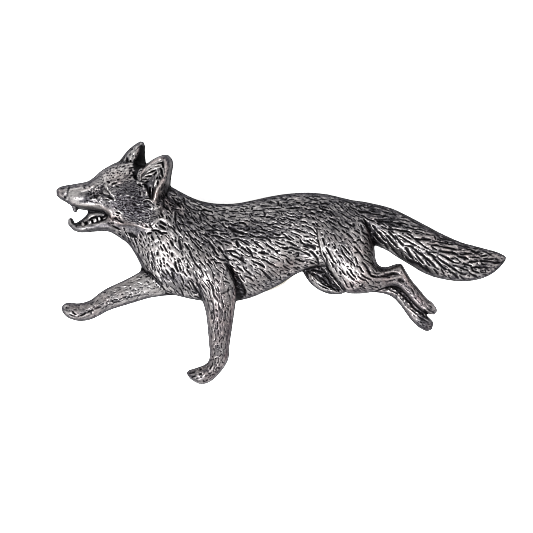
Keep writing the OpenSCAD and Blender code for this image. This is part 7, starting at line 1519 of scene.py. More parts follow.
# places painted lighter or darker: rubbed wear, and painted shade and painted highlight where the light falls (x, y,
# rx, ry, angle, amount)
TINTS = [
    (163, 255, 14, 22, -28, 0.15), (268, 252, 48, 15, 14, 0.14), (350, 268, 22, 12, 40, 0.19),
    (150, 284, 16, 10, -20, 0.24), (208, 290, 9, 14, -10, 0.02), (412, 288, 12, 5, 50, -0.06),
    (190, 208, 24, 12, 30, -0.22), (255, 232, 40, 9, 10, -0.23), (134, 203, 20, 20, 0, -0.36),
    (320, 212, 40, 12, 12, -0.14), (285, 200, 70, 6, 0, -0.12), (372, 210, 26, 9, 10, -0.26),
    (436, 232, 44, 8, 27, -0.26), (205, 240, 16, 14, 30, -0.12), (330, 280, 14, 8, 40, 0.06),
    (220, 330, 14, 40, 0, -0.13), (75, 311, 12, 10, 0, -0.10), (430, 308, 12, 10, 0, -0.06),
    (360, 289, 20, 6, 0, -0.16), (388, 282, 14, 5, 8, -0.23), (425, 324, 10, 8, 30, -0.38), (496, 262, 12, 12, 0, -0.18),
    (464, 260, 34, 16, 22, -0.10), (206, 374, 16, 10, -20, -0.15), (168, 170, 5, 16, 0, -0.06), (131, 154, 8, 8, -45, -0.04),
    (182, 286, 22, 9, 15, -0.12), (134, 250, 10, 14, 40, -0.09), (62, 193, 7, 7, 0, -0.04), (91, 205.5, 16, 3, 4, 0.18),
    (94, 193, 8, 5, 20, 0.10), (92, 201.5, 9, 2.4, -8, -0.16), (84, 194, 15, 8, -8, -0.06), (106, 192, 7, 6, 30, 0.10), (153, 178, 9, 16, 20, 0.24), (98, 215, 11, 4, -10, 0.28),
    (386, 270, 14, 4, 0, -0.08), (140, 158, 4, 8, 0, -0.04), (414, 291, 18, 5, 50, -0.22), (420, 302, 9, 5, 45, -0.10), (77, 194, 8, 6, 0, 0.16), (80, 228.2, 8, 2, 0, -0.16), (82, 185.3, 14, 2.2, -14, 0.04), (74, 193.5, 5, 4.5, 0, 0.16), (216, 310, 4, 14, 0, -0.12), (79, 315, 6, 3, 0, -0.12), (99, 214.8, 8, 1.5, -9, -0.04), (97, 218.6, 9, 1.2, -12, 0.12), (100, 211.6, 7, 1.2, 6, 0.08), (83, 200.4, 9, 2.2, 0, -0.10), (400, 300, 16, 7, 45, -0.05), (134, 251, 6, 12, 40, 0.04),
    (106, 192, 7, 6, 30, 0.06), (152, 190, 4, 10, 10, 0.08), (205, 372, 16, 9, -20, -0.04),
    (95, 228, 22, 4, 0, -0.10), (285, 199, 60, 5, 0, 0.07), (321, 246, 4, 18, 0, 0.11), (166, 254, 16, 18, -28, 0.08), (213, 280, 16, 16, 0, 0.09), (116, 172, 16, 9, -30, 0.12), (136, 251, 6, 12, 40, 0.06),
    (384, 276, 12, 2.5, 0, -0.04), (400, 304, 24, 8, 45, -0.07), (92, 205, 14, 3, 4, 0.03), (97, 192, 8, 6, 20, 0.04),
    (156, 195, 5, 8, 10, 0.42), (371, 256, 5, 10, 0, 0.36), (389, 250, 12, 4, 35, 0.56), (386, 222, 14, 6, 10, -0.34), (188, 373, 6, 6, 0, -0.34),
    (168, 276, 12, 6, -10, -0.36), (288, 242, 12, 7, 0, 0.28), (181, 222, 8, 9, 30, -0.24), (168, 156, 6, 5, 0, -0.30), (133, 277, 12, 5, -25, 0.24),
    (404, 297, 9, 5, 45, -0.22), (168, 176, 4, 9, 0, 0.24), (188, 294, 16, 5, 12, 0.22), (138, 234, 6, 5, 30, -0.24), (236, 238, 16, 6, 10, -0.18),
    (85, 224, 4, 4, 0, 0.36), (341, 256, 6, 14, 10, -0.18), (373, 276, 8, 5, 0, 0.18), (162, 293, 8, 5, 0, 0.18), (121, 288, 10, 4, -20, 0.16),
    (255, 286, 14, 5, -14, -0.08), (275, 216, 10, 5, 0, -0.08), (300, 262, 14, 5, -14, -0.10), (228, 330, 4, 20, 0, -0.10),
    (192, 258, 9, 12, 0, 0.14), (210, 318, 4, 14, 0, 0.16), (216, 276, 7, 6, 0, -0.14), (114, 204, 6, 4, 0, -0.12), (96, 204, 6, 3, 0, 0.12),
    (192, 198, 8, 6, 30, 0.12), (138, 174, 5, 6, 0, 0.12), (162, 216, 6, 5, 0, 0.12), (402, 228, 12, 5, 20, -0.14), (144, 150, 3, 5, 0, 0.06),
    (172, 268, 11, 8, -10, -0.12), (162, 244, 9, 9, 0, 0.12), (152, 262, 6, 10, 0, -0.12), (180, 282, 10, 5, 0, -0.12), (394, 251, 8, 4, 35, 0.16),
    (372, 258, 4, 8, 0, 0.12), (414, 282, 10, 5, 45, 0.14), (306, 216, 8, 5, 0, -0.12), (318, 240, 5, 7, 0, 0.12), (228, 342, 5, 8, 0, 0.12),
    (132, 198, 8, 6, 0, 0.08),
]
for x, y, rx, ry, ang, amount in TINTS:
    c, s = math.cos(math.radians(ang)), math.sin(math.radians(ang))
    dx, dy = PX - x, PY - y
    wear_and_painted_light += amount * np.exp(-(((dx * c + dy * s) / rx) ** 2 + ((-dx * s + dy * c) / ry) ** 2))
# painted highlight on the bright strands, brightest on the back and the tail's end
wear_and_painted_light += (0.86 + 0.16 * lively - wear_and_painted_light) * 0.78 * glow
wear_and_painted_light += (0.09 - wear_and_painted_light) * 0.93 * scored
# the outline is painted dark over its last millimetre fraction, patina and painted shade
rim = np.exp(-(np.maximum(-sdf, 0) / 1.55) ** 1.6)
wear_and_painted_light = wear_and_painted_light * (1 - 0.80 * rim) + 0.20 * 0.80 * rim
cheek = np.exp(-((PX - 134) / 19) ** 2 - ((PY - 203) / 17) ** 2)
wear_and_painted_light += (0.66 - 0.26 * even - 0.30 * cheek) * (wear_and_painted_light - blur(wear_and_painted_light.astype(np.float32), 0.8))
wear_and_painted_light = np.where(wear_and_painted_light > 0.75, 0.75 + 0.62 * (wear_and_painted_light - 0.75), wear_and_painted_light)
wear_and_painted_light = np.clip(wear_and_painted_light, 0.03, 1.0).astype(np.float32)
# small places painted to a set tone, painted highlights on the teeth, the ear's rim and tufts and painted light on the
# eye: (x, y, rx, ry, angle, tone, how much, hardness)
PAINTED_LIGHT_SPOTS = [
    (83.2, 224.2, 1.3, 2.5, -8, 1.0, 1.0, 6), (90.1, 222.1, 2.0, 1.8, -10, 0.74, 1.0, 8), (95.2, 220.2, 2.05, 2.2, -20, 0.86, 1.0, 8),
    (91.1, 221.8, 1.0, 1.7, -10, 1.2, 1.0, 5), (96.2, 219.9, 1.1, 2.0, -20, 1.2, 1.0, 5),
    (99.6, 218.6, 1.5, 2.0, -20, 1.22, 1.0, 8), (105.6, 191.2, 3.2, 2.1, 45, 0.57, 0.8, 3),
    (158.0, 192.0, 2.6, 11, 21, 1.0, 0.85, 4), (155.9, 201.6, 1.9, 2.6, 10, 0.95, 0.7, 4),
    # painted highlights on the brightest tufts in the near ear
    (158.6, 166.4, 2.9, 0.95, -14, 0.98, 0.85, 4), (153.0, 166.9, 1.7, 0.95, -30, 0.86, 0.8, 4), (152.2, 174.3, 2.6, 0.9, -16, 1.0, 0.9, 4),
    (147.2, 175.7, 2.5, 0.8, -16, 0.90, 0.85, 4), (145.4, 181.1, 2.2, 0.75, -4, 0.84, 0.8, 4), (149.2, 178.7, 2.3, 0.65, -9, 0.76, 0.8, 4),
    (157.0, 182.2, 0.9, 2.1, 14, 1.05, 0.9, 4), (160.1, 181.4, 0.65, 1.7, -6, 0.84, 0.8, 4), (159.4, 163.0, 2.6, 0.6, -16, 0.80, 0.8, 4),
    (163.5, 173.6, 0.55, 2.6, 4, 0.82, 0.8, 4), (139.2, 182.8, 1.8, 0.7, 26, 0.92, 0.85, 4), (143.0, 183.5, 1.9, 0.6, -6, 0.88, 0.85, 4),
]
for x, y, rx, ry, ang, value, amount, hard in PAINTED_LIGHT_SPOTS:
    win = window(x, y, x, y, 2.6 * max(rx, ry))
    c, s_ = math.cos(math.radians(ang)), math.sin(math.radians(ang))
    dx, dy = PX[win] - x, PY[win] - y
    k = amount * np.exp(-(((dx * c + dy * s_) / rx) ** 2 + ((-dx * s_ + dy * c) / ry) ** 2) ** (hard / 2))
    wear_and_painted_light[win] += (value - wear_and_painted_light[win]) * k

# brown cast of worn patina: (x, y, rx, ry, angle, amount)
BROWN = [
    (222, 325, 16, 45, 0, 0.7), (205, 373, 16, 12, 0, 0.5), (390, 278, 24, 10, 10, 0.8), (420, 300, 16, 16, 40, 0.7), (362, 285, 18, 9, 0, 0.7),
    (450, 248, 50, 12, 24, 0.4), (495, 260, 10, 8, 0, 0.5), (90, 307, 30, 12, -15, 0.4), (285, 266, 20, 9, -20, 0.7), (120, 178, 12, 10, -20, 0.5),
    (116, 219, 12, 6, 20, 0.6), (62, 193, 5, 5, 0, 0.4), (165, 204, 6, 8, 0, 0.6), (176, 208, 8, 8, 0, 0.4), (356, 250, 16, 16, 0, 0.4), (165, 250, 12, 16, 0, 0.2),
]
for x, y, rx, ry, ang, amount in BROWN:
    c, s = math.cos(math.radians(ang)), math.sin(math.radians(ang))
    dx, dy = PX - x, PY - y
    warm += amount * np.exp(-(((dx * c + dy * s) / rx) ** 2 + ((-dx * s + dy * c) / ry) ** 2))
warm = np.clip(warm + 0.12 * mottle, 0, 1).astype(np.float32)

# ---------------------------------------------------------------------------
# Mesh of the casting: marching squares over the map, walls and a flat back
# ---------------------------------------------------------------------------
STEP = 0.52
mx = np.arange(X0 + 3, X1 - 2, STEP)
my = np.arange(Y0 + 3, Y1 - 2, STEP)
MXX, MYY = np.meshgrid(mx, my)


def sample(a, x, y):
    fx_, fy_ = (x - X0) * S, (y - Y0) * S
    i = np.clip(np.floor(fx_).astype(int), 0, NX - 2)
    j = np.clip(np.floor(fy_).astype(int), 0, NY - 2)
    u, v = fx_ - i, fy_ - j
    return (a[j, i] * (1 - u) * (1 - v) + a[j, i + 1] * u * (1 - v)
            + a[j + 1, i] * (1 - u) * v + a[j + 1, i + 1] * u * v)


sv = sample(sdf, MXX, MYY)
sgy, sgx = np.gradient(sdf, 1.0 / S)
gxv, gyv = sample(sgx, MXX, MYY), sample(sgy, MXX, MYY)
gn = gxv ** 2 + gyv ** 2 + 1e-9
snap = (np.abs(sv) < 0.32 * STEP) & (gn > 0.25)
MXX = np.where(snap, MXX - sv * gxv / gn, MXX)
MYY = np.where(snap, MYY - sv * gyv / gn, MYY)
sv = np.where(snap, 0.0, sv)
inside = sv <= 0

# keep the one island that holds the trunk
from collections import deque
ny_, nx_ = inside.shape
seen = np.zeros_like(inside)
start = (int((240 - my[0]) / STEP), int((260 - mx[0]) / STEP))
seen[start] = True
todo = deque([start])
while todo:
    j, i = todo.popleft()
    for a, b in ((j + 1, i), (j - 1, i), (j, i + 1), (j, i - 1)):
        if 0 <= a < ny_ and 0 <= b < nx_ and inside[a, b] and not seen[a, b]:
            seen[a, b] = True
            todo.append((a, b))
inside &= seen

vid = -np.ones(inside.shape, int)
vid[inside] = np.arange(inside.sum())
verts = [np.stack([MXX[inside], MYY[inside]], 1)]
count = int(inside.sum())


def edge_points(in_a, in_b, sa, sb, xa, ya, xb, yb, ida, idb):
    """Cut points on grid edges that cross the outline; a corner on the outline stands for its own cut."""
    global count
    ids = -np.ones(in_a.shape, int)
    mixed = in_a != in_b
    s_in = np.where(in_a, sa, sb)
    s_out = np.where(in_a, sb, sa)
    id_in = np.where(in_a, ida, idb)
    on = mixed & (s_in == 0)
    ids[on] = id_in[on]
    cutm = mixed & ~on
    t = s_in / np.where(s_in - s_out == 0, 1, s_in - s_out)
    t = np.clip(t, 0.02, 0.98)
    x_in, y_in = np.where(in_a, xa, xb), np.where(in_a, ya, yb)
    x_out, y_out = np.where(in_a, xb, xa), np.where(in_a, yb, ya)
    n_ = int(cutm.sum())
    ids[cutm] = count + np.arange(n_)
    verts.append(np.stack([(x_in + t * (x_out - x_in))[cutm], (y_in + t * (y_out - y_in))[cutm]], 1))
    count += n_
    return ids


he = edge_points(inside[:, :-1], inside[:, 1:], sv[:, :-1], sv[:, 1:], MXX[:, :-1], MYY[:, :-1],
                 MXX[:, 1:], MYY[:, 1:], vid[:, :-1], vid[:, 1:])
ve = edge_points(inside[:-1], inside[1:], sv[:-1], sv[1:], MXX[:-1], MYY[:-1], MXX[1:], MYY[1:], vid[:-1], vid[1:])
xy = np.vstack(verts)
top_z = np.maximum(sample(relief, xy[:, 0], xy[:, 1]), 0.45)

# corners of each cell, in order: a (j,i), b (j,i+1), c (j+1,i+1), d (j+1,i)
A, B, C, D = vid[:-1, :-1], vid[:-1, 1:], vid[1:, 1:], vid[1:, :-1]
AB, BC, CD, DA = he[:-1], ve[:, 1:], he[1:], ve[:, :-1]
code = (inside[:-1, :-1] * 1 + inside[:-1, 1:] * 2 + inside[1:, 1:] * 4 + inside[1:, :-1] * 8)
CASES = {
    1: [(A, AB, DA)], 2: [(B, BC, AB)], 4: [(C, CD, BC)], 8: [(D, DA, CD)],
    3: [(A, B, BC, DA)], 6: [(B, C, CD, AB)], 12: [(C, D, DA, BC)], 9: [(D, A, AB, CD)],
    7: [(A, B, C, CD, DA)], 14: [(B, C, D, DA, AB)], 13: [(C, D, A, AB, BC)], 11: [(D, A, B, BC, CD)],
    5: [(A, AB, DA), (C, CD, BC)], 10: [(B, BC, AB), (D, DA, CD)],
}
tris = []
for k, polys in CASES.items():
    m = code == k
    if not m.any():
        continue
    for poly in polys:
        p = [q[m] for q in poly]
        for t in range(1, len(p) - 1):
            tris.append(np.stack([p[0], p[t], p[t + 1]], 1))
m = code == 15
a, b, c, d = A[m], B[m], C[m], D[m]
flat = np.abs(top_z[a] - top_z[c]) <= np.abs(top_z[b] - top_z[d])
tris.append(np.stack([a, b, c], 1)[flat]); tris.append(np.stack([a, c, d], 1)[flat])
tris.append(np.stack([a, b, d], 1)[~flat]); tris.append(np.stack([b, c, d], 1)[~flat])
tris = np.vstack(tris)
ok = (tris[:, 0] != tris[:, 1]) & (tris[:, 1] != tris[:, 2]) & (tris[:, 0] != tris[:, 2])
tris = tris[ok]
# y runs down in the map, so the order is turned to face up
tris = tris[:, ::-1]

# outline loop: edges used once
e = np.vstack([tris[:, [0, 1]], tris[:, [1, 2]], tris[:, [2, 0]]])
key = e[:, 0].astype(np.int64) * (count + 1) + e[:, 1]
rev = e[:, 1].astype(np.int64) * (count + 1) + e[:, 0]
rim = e[~np.isin(key, rev)]
nxt = {}
for a_, b_ in rim:
    nxt.setdefault(int(a_), []).append(int(b_))
forks = [k for k, v in nxt.items() if len(v) > 1]
loops = []
left = {k: list(v) for k, v in nxt.items()}
while left:
    s0 = next(iter(left))
    loop = [s0]
    cur = s0
    while True:
        step_to = left[cur].pop()
        if not left[cur]:
            del left[cur]
        if step_to == s0:
            break
        loop.append(step_to)
        cur = step_to
    loops.append(loop)
loops.sort(key=len, reverse=True)
print("front", len(tris), "loops", [len(q) for q in loops][:6], "forks", len(forks))

loop = np.array(loops[0])
# the outline is smoothed a little along itself
pts = xy[loop]
for _ in range(2):
    pts = pts * 0.5 + 0.25 * (np.roll(pts, 1, 0) + np.roll(pts, -1, 0))
xy[loop] = pts
tang = np.roll(pts, -1, 0) - np.roll(pts, 1, 0)
for _ in range(3):
    tang = tang * 0.5 + 0.25 * (np.roll(tang, 1, 0) + np.roll(tang, -1, 0))
tang /= np.linalg.norm(tang, axis=1)[:, None] + 1e-9
# the face is on the left of the loop in a frame with y up, so the outside is on the right
out = np.stack([-tang[:, 1], tang[:, 0]], 1)
area2 = 0.5 * np.sum(pts[:, 0] * np.roll(pts[:, 1], -1) - np.roll(pts[:, 0], -1) * pts[:, 1])
if area2 < 0:
    out = out
else:
    out = -out
probe = sample(sdf, pts[:, 0] + out[:, 0], pts[:, 1] + out[:, 1]) - sample(sdf, pts[:, 0] - out[:, 0], pts[:, 1] - out[:, 1])
if np.median(probe) < 0:
    out = -out
top_z[loop] = np.clip(top_z[loop], 0.5, 1.1)
tz = top_z[loop]
for _ in range(4):
    tz = tz * 0.5 + 0.25 * (np.roll(tz, 1) + np.roll(tz, -1))
top_z[loop] = tz

wall_rows = [(0.0, 0.42, 0.04), (-0.9, 0.0, 0.0)]
coords = [np.column_stack([(xy[:, 0] - MID_X) * UNIT, (MID_Y - xy[:, 1]) * UNIT, BACK_Z + top_z * MM])]
tone_v = [sample(wear_and_painted_light, xy[:, 0], xy[:, 1])]
warm_v = [sample(warm, xy[:, 0], xy[:, 1])]
busy = blur(np.abs(wear_and_painted_light - blur(wear_and_painted_light, 0.55)), 0.35)
busy_v = [sample(busy, xy[:, 0], xy[:, 1])]
base = len(xy)
nl = len(loop)
faces = [tris]
prev = loop
rough_wall = blur(rng.standard_normal((NY, NX)).astype(np.float32), 0.9)
rough_wall /= rough_wall.std()
for r_i, (push, frac, bulge) in enumerate(wall_rows):
    off = push + bulge + (0.10 * sample(rough_wall, pts[:, 0], pts[:, 1]) if r_i < 1 else 0)
    off = off - 0.12
    p = pts + out * np.asarray(off).reshape(-1, 1)
    z = tz * frac
    coords.append(np.column_stack([(p[:, 0] - MID_X) * UNIT, (MID_Y - p[:, 1]) * UNIT, BACK_Z + z * MM]))
    tone_v.append(np.full(nl, 0.20) + 0.05 * sample(mottle, pts[:, 0], pts[:, 1]))
    warm_v.append(np.full(nl, 0.4))
    busy_v.append(np.full(nl, 0.0))
    cur = base + np.arange(nl)
    base += nl
    a, b = prev, np.roll(prev, -1)
    c, d = np.roll(cur, -1), cur
    faces.append(np.stack([b, a, d], 1))
    faces.append(np.stack([b, d, c], 1))
    prev = cur
coords = np.vstack(coords).astype(np.float32)
tone_v = np.concatenate(tone_v).astype(np.float32)
warm_v = np.concatenate(warm_v).astype(np.float32)
busy_v = np.concatenate(busy_v).astype(np.float32)
wall_tris = np.vstack(faces)

# flat back from the last ring
from mathutils.geometry import tessellate_polygon
ring = prev
poly = [Vector((float(coords[i][0]), float(coords[i][1]), 0)) for i in ring]
back = np.array([[ring[a] for a in t] for t in tessellate_polygon([poly])])
v0, v1, v2 = coords[back[:, 0]], coords[back[:, 1]], coords[back[:, 2]]
up = np.cross(v1 - v0, v2 - v0)[:, 2]
back[up > 0] = back[up > 0][:, ::-1]
n_front = len(wall_tris)
all_tris = np.vstack([wall_tris, back])
used = np.zeros(len(coords), bool)
used[all_tris.ravel()] = True
remap = np.cumsum(used) - 1
all_tris = remap[all_tris]
coords, tone_v, warm_v, busy_v = coords[used], tone_v[used], warm_v[used], busy_v[used]


def make_mesh(name, verts_, tris_):
    me = bpy.data.meshes.new(name)
    me.vertices.add(len(verts_))
    me.vertices.foreach_set("co", verts_.ravel().astype(np.float32))
    me.loops.add(len(tris_) * 3)
    me.loops.foreach_set("vertex_index", tris_.ravel().astype(np.int32))
    me.polygons.add(len(tris_))
    me.polygons.foreach_set("loop_start", np.arange(0, len(tris_) * 3, 3, dtype=np.int32))
    me.polygons.foreach_set("use_smooth", np.ones(len(tris_), bool))
    me.update(calc_edges=True)
    me.validate()
    ob = bpy.data.objects.new(name, me)
    bpy.context.scene.collection.objects.link(ob)
    return ob


fox = make_mesh("fox_relief", coords, all_tris)
me = fox.data
at = me.attributes.new("wear_and_painted_light", "FLOAT", "POINT")
at.data.foreach_set("value", tone_v)
at = me.attributes.new("warm", "FLOAT", "POINT")
at.data.foreach_set("value", warm_v)
print("fox triangles before thinning", len(me.polygons))
# the flat back keeps its corners, the rest is thinned where it is plain
LIMIT = 196000
if len(me.polygons) > LIMIT:
    mod = fox.modifiers.new("thin", "DECIMATE")
    mod.decimate_type = "COLLAPSE"
    mod.ratio = LIMIT / len(me.polygons)
    mod.use_collapse_triangulate = True
    group = fox.vertex_groups.new(name="plain")
    plain = np.clip(1.0 - busy_v / np.percentile(busy_v, 85), 0.02, 1.0)
    levels = np.round(plain * 20).astype(int)
    for lv in range(21):
        ids = np.nonzero(levels == lv)[0]
        if len(ids):
            group.add(ids.tolist(), max(lv / 20, 0.02), "REPLACE")
    mod.vertex_group = "plain"
    mod.vertex_group_factor = 0.00002
    deps = bpy.context.evaluated_depsgraph_get()
    thin = bpy.data.meshes.new_from_object(fox.evaluated_get(deps))
    fox.modifiers.clear()
    fox.data = thin
    bpy.data.meshes.remove(me)
    me = thin
me.name = "fox_relief"
nf = len(me.polygons)
print("fox triangles", nf)
norm = np.zeros(nf * 3, np.float32)
me.polygons.foreach_get("normal", norm)
cent = np.zeros(nf * 3, np.float32)
me.polygons.foreach_get("center", cent)
is_back = (norm.reshape(-1, 3)[:, 2] < -0.999) & (cent.reshape(-1, 3)[:, 2] < BACK_Z + 1e-6)
me.polygons.foreach_set("material_index", is_back.astype(np.int32))
me.polygons.foreach_set("use_smooth", ~is_back)
me.update()


# ---------------------------------------------------------------------------
# Materials
# ---------------------------------------------------------------------------
def new_material(name):
    m = bpy.data.materials.new(name)
    m.use_nodes = True
    nt = m.node_tree
    nt.nodes.clear()
    out_ = nt.nodes.new("ShaderNodeOutputMaterial")
    bsdf = nt.nodes.new("ShaderNodeBsdfPrincipled")
    nt.links.new(bsdf.outputs["BSDF"], out_.inputs["Surface"])
    return m, nt, bsdf


def noise_node(nt, coord, scale, detail, rough=0.5, dims="3D"):
    n_ = nt.nodes.new("ShaderNodeTexNoise")
    n_.noise_dimensions = dims
    n_.inputs["Scale"].default_value = scale
    n_.inputs["Detail"].default_value = detail
    n_.inputs["Roughness"].default_value = rough
    nt.links.new(coord, n_.inputs["Vector"])
    return n_.outputs["Fac"]


def math_node(nt, op, a_, b_=None, c_=None, clamp=False):
    n_ = nt.nodes.new("ShaderNodeMath")
    n_.operation = op
    n_.use_clamp = clamp
    for k_, v_ in enumerate((a_, b_, c_)):
        if v_ is None:
            continue
        if isinstance(v_, (int, float)):
            n_.inputs[k_].default_value = v_
        else:
            nt.links.new(v_, n_.inputs[k_])
    return n_.outputs[0]


def ramp_node(nt, fac, stops):
    n_ = nt.nodes.new("ShaderNodeValToRGB")
    cr = n_.color_ramp
    while len(cr.elements) > 1:
        cr.elements.remove(cr.elements[-1])
    cr.elements[0].position = stops[0][0]
    cr.elements[0].color = (*stops[0][1], 1)
    for p_, c_ in stops[1:]:
        e_ = cr.elements.new(p_)
        e_.color = (*c_, 1)
    nt.links.new(fac, n_.inputs["Fac"])
    return n_.outputs["Color"]


def grey(v, warm=0.0):
    return (v * (1 + warm), v, v * (1 - warm))


def pewter(name, with_tone):
    m, nt, bsdf = new_material(name)
    tc = nt.nodes.new("ShaderNodeTexCoord").outputs["Object"]
    if with_tone:
        at_ = nt.nodes.new("ShaderNodeAttribute")
        at_.attribute_name = "wear_and_painted_light"
        base_t = at_.outputs["Fac"]
    else:
        base_t = noise_node(nt, tc, 420, 5, 0.6)
        base_t = math_node(nt, "MULTIPLY_ADD", base_t, 0.9, -0.10, True)
    fine_n = noise_node(nt, tc, 6800, 4, 0.65)
    mid_n = noise_node(nt, tc, 2200, 3, 0.55)
    big_n = noise_node(nt, tc, 260, 3, 0.5)
    t = math_node(nt, "MULTIPLY_ADD", math_node(nt, "SUBTRACT", fine_n, 0.5), 0.62, base_t)
    t = math_node(nt, "MULTIPLY_ADD", math_node(nt, "SUBTRACT", mid_n, 0.5), 0.26, t)
    t = math_node(nt, "MULTIPLY_ADD", math_node(nt, "SUBTRACT", big_n, 0.5), 0.10, t)
    col = ramp_node(nt, math_node(nt, "MULTIPLY", t, 0.8, None, True), [
        (0.000, (0.0014, 0.0013, 0.0015)),
        (0.144, (0.0075, 0.0071, 0.0081)),
        (0.320, (0.0405, 0.0390, 0.0438)),
        (0.496, (0.1130, 0.1078, 0.1105)),
        (0.656, (0.2280, 0.2182, 0.2166)),
        (0.800, (0.3350, 0.3234, 0.3170)),
        (1.000, (0.7800, 0.7700, 0.7700)),
    ])
    # a brown cast where the patina is worn thin
    if with_tone:
        at_ = nt.nodes.new("ShaderNodeAttribute")
        at_.attribute_name = "warm"
        brown = at_.outputs["Fac"]
        warm_n = noise_node(nt, tc, 1400, 3, 0.6)
        brown = math_node(nt, "MULTIPLY", brown, math_node(nt, "MULTIPLY_ADD", warm_n, 2.6, -0.55, True))
    else:
        brown = math_node(nt, "MULTIPLY_ADD", noise_node(nt, tc, 300, 3, 0.5), 2.0, -0.8, True)
    mix = nt.nodes.new("ShaderNodeMix")
    mix.data_type = "RGBA"
    mix.blend_type = "MULTIPLY"
    mix.inputs["B"].default_value = (1.06, 0.92, 0.90, 1)
    nt.links.new(brown, mix.inputs["Factor"])
    nt.links.new(col, mix.inputs["A"])
    nt.links.new(mix.outputs["Result"], bsdf.inputs["Base Color"])
    bsdf.inputs["Specular IOR Level"].default_value = 0.03
    bsdf.inputs["Specular Tint"].default_value = (0.38, 0.38, 0.39, 1)
    met = nt.nodes.new("ShaderNodeMapRange")
    met.inputs["From Min"].default_value = 0.05
    met.inputs["From Max"].default_value = 0.45
    met.inputs["To Min"].default_value = 0.35
    met.inputs["To Max"].default_value = 1.0
    nt.links.new(t, met.inputs["Value"])
    nt.links.new(met.outputs["Result"], bsdf.inputs["Metallic"])
    ro = nt.nodes.new("ShaderNodeMapRange")
    ro.inputs["From Min"].default_value = 0.1
    ro.inputs["From Max"].default_value = 0.85
    ro.inputs["To Min"].default_value = 0.62
    ro.inputs["To Max"].default_value = 0.36
    nt.links.new(math_node(nt, "MULTIPLY_ADD", math_node(nt, "SUBTRACT", fine_n, 0.5), -0.3, t), ro.inputs["Value"])
    nt.links.new(ro.outputs["Result"], bsdf.inputs["Roughness"])
    bump = nt.nodes.new("ShaderNodeBump")
    bump.inputs["Strength"].default_value = 0.5
    bump.inputs["Distance"].default_value = 0.00003
    h_ = math_node(nt, "MULTIPLY_ADD", mid_n, 0.9, fine_n)
    nt.links.new(h_, bump.inputs["Height"])
    nt.links.new(bump.outputs["Normal"], bsdf.inputs["Normal"])
    return m


mat_front = pewter("pewter_antiqued", True)
mat_back = pewter("pewter_back", False)
me.materials.append(mat_front)
me.materials.append(mat_back)


def plated(name, base_rgb, scale_y, rough):
    """Satin metal with fine marks of turning or drawing."""
    m, nt, bsdf = new_material(name)
    tc = nt.nodes.new("ShaderNodeTexCoord").outputs["Object"]
    mp = nt.nodes.new("ShaderNodeMapping")
    mp.inputs["Scale"].default_value = scale_y
    nt.links.new(tc, mp.inputs["Vector"])
    marks = noise_node(nt, mp.outputs["Vector"], 900, 4, 0.6)
    blot = noise_node(nt, tc, 380, 3, 0.55)
    t = math_node(nt, "MULTIPLY_ADD", marks, 0.45, math_node(nt, "MULTIPLY", blot, 0.55), True)
    col = ramp_node(nt, t, [
        (0.30, tuple(v * 0.62 for v in base_rgb)),
        (0.50, base_rgb),
        (0.72, tuple(min(1, v * 1.12) for v in base_rgb)),
    ])
    nt.links.new(col, bsdf.inputs["Base Color"])
    bsdf.inputs["Metallic"].default_value = 1.0
    ro = nt.nodes.new("ShaderNodeMapRange")
    ro.inputs["From Min"].default_value = 0.3
    ro.inputs["From Max"].default_value = 0.7
    ro.inputs["To Min"].default_value = rough + 0.12
    ro.inputs["To Max"].default_value = rough - 0.06
    nt.links.new(t, ro.inputs["Value"])
    nt.links.new(ro.outputs["Result"], bsdf.inputs["Roughness"])
    bump = nt.nodes.new("ShaderNodeBump")
    bump.inputs["Strength"].default_value = 0.25
    bump.inputs["Distance"].default_value = 0.00001
    nt.links.new(marks, bump.inputs["Height"])
    nt.links.new(bump.outputs["Normal"], bsdf.inputs["Normal"])
    return m


def dress(node, material):
    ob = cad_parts[node]
    ob.data.materials.clear()
    ob.data.materials.append(material)


dress("pin_post", plated("post_steel", (0.36, 0.36, 0.375), (1, 1, 0.08), 0.30))
dress("clutch", plated("clutch_nickel", (0.32, 0.30, 0.26), (0.15, 0.15, 3.0), 0.28))

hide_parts("fox_casting")
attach(fox, "root")

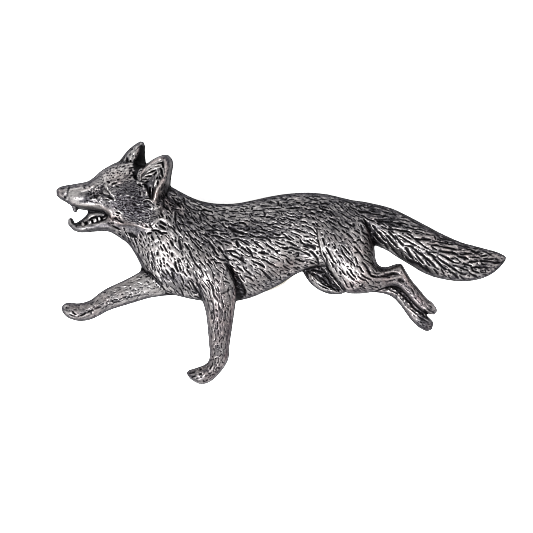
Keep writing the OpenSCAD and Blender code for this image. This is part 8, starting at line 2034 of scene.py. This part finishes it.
# ---------------------------------------------------------------------------
# Floor, lights and camera
# ---------------------------------------------------------------------------
bpy.ops.mesh.primitive_plane_add(size=3.0, location=(0, 0, 0))
floor = bpy.context.object
floor.name = "floor"
m, nt, bsdf = new_material("floor_paper")
tc = nt.nodes.new("ShaderNodeTexCoord").outputs["Object"]
col = ramp_node(nt, noise_node(nt, tc, 60, 3, 0.5), [(0.3, (0.975, 0.975, 0.975)), (0.7, (0.985, 0.985, 0.985))])
nt.links.new(col, bsdf.inputs["Base Color"])
bsdf.inputs["Roughness"].default_value = 0.9
bsdf.inputs["Specular IOR Level"].default_value = 0.1
bsdf.inputs["Emission Color"].default_value = (1, 1, 1, 1)
bsdf.inputs["Emission Strength"].default_value = 0.12
floor.data.materials.append(m)

world = bpy.data.worlds.new("studio")
bpy.context.scene.world = world
world.use_nodes = True
bg = world.node_tree.nodes["Background"]
bg.inputs["Color"].default_value = (1.0, 1.0, 1.0, 1)
bg.inputs["Strength"].default_value = 1.3


def soft_light(name, loc, size, watts, target=(0, 0, 0.008), color=(1, 1, 1)):
    data = bpy.data.lights.new(name, "AREA")
    data.shape = "SQUARE"
    data.size = size
    data.energy = watts
    data.color = color
    ob = bpy.data.objects.new(name, data)
    bpy.context.scene.collection.objects.link(ob)
    ob.location = loc
    ob.rotation_mode = "QUATERNION"
    ob.rotation_quaternion = (Vector(target) - Vector(loc)).to_track_quat("-Z", "Y")
    return ob


soft_light("key", (-0.26, -0.44, 0.58), 0.30, 11.0)
soft_light("fill", (0.40, 0.15, 0.60), 0.50, 2.0)

scene = bpy.context.scene
scene.view_settings.view_transform = "Standard"
scene.view_settings.look = "None"
scene.view_settings.exposure = 0.0
scene.cycles.filter_width = 1.0

LENS, SENSOR = 400.0, 36.0
EDGE_PLANE = BACK_Z + 0.0009
frame_w = 533 * UNIT
cam_data = bpy.data.cameras.new("camera")
cam_data.lens = LENS
cam_data.sensor_width = SENSOR
cam_data.clip_start, cam_data.clip_end = 0.05, 10
cam = bpy.data.objects.new("camera", cam_data)
bpy.context.scene.collection.objects.link(cam)
cam.location = ((266.5 - MID_X) * UNIT, (MID_Y - 266.3) * UNIT, EDGE_PLANE + frame_w / 2 / (SENSOR / 2 / LENS))
cam.rotation_euler = (0, 0, 0)
scene.camera = cam
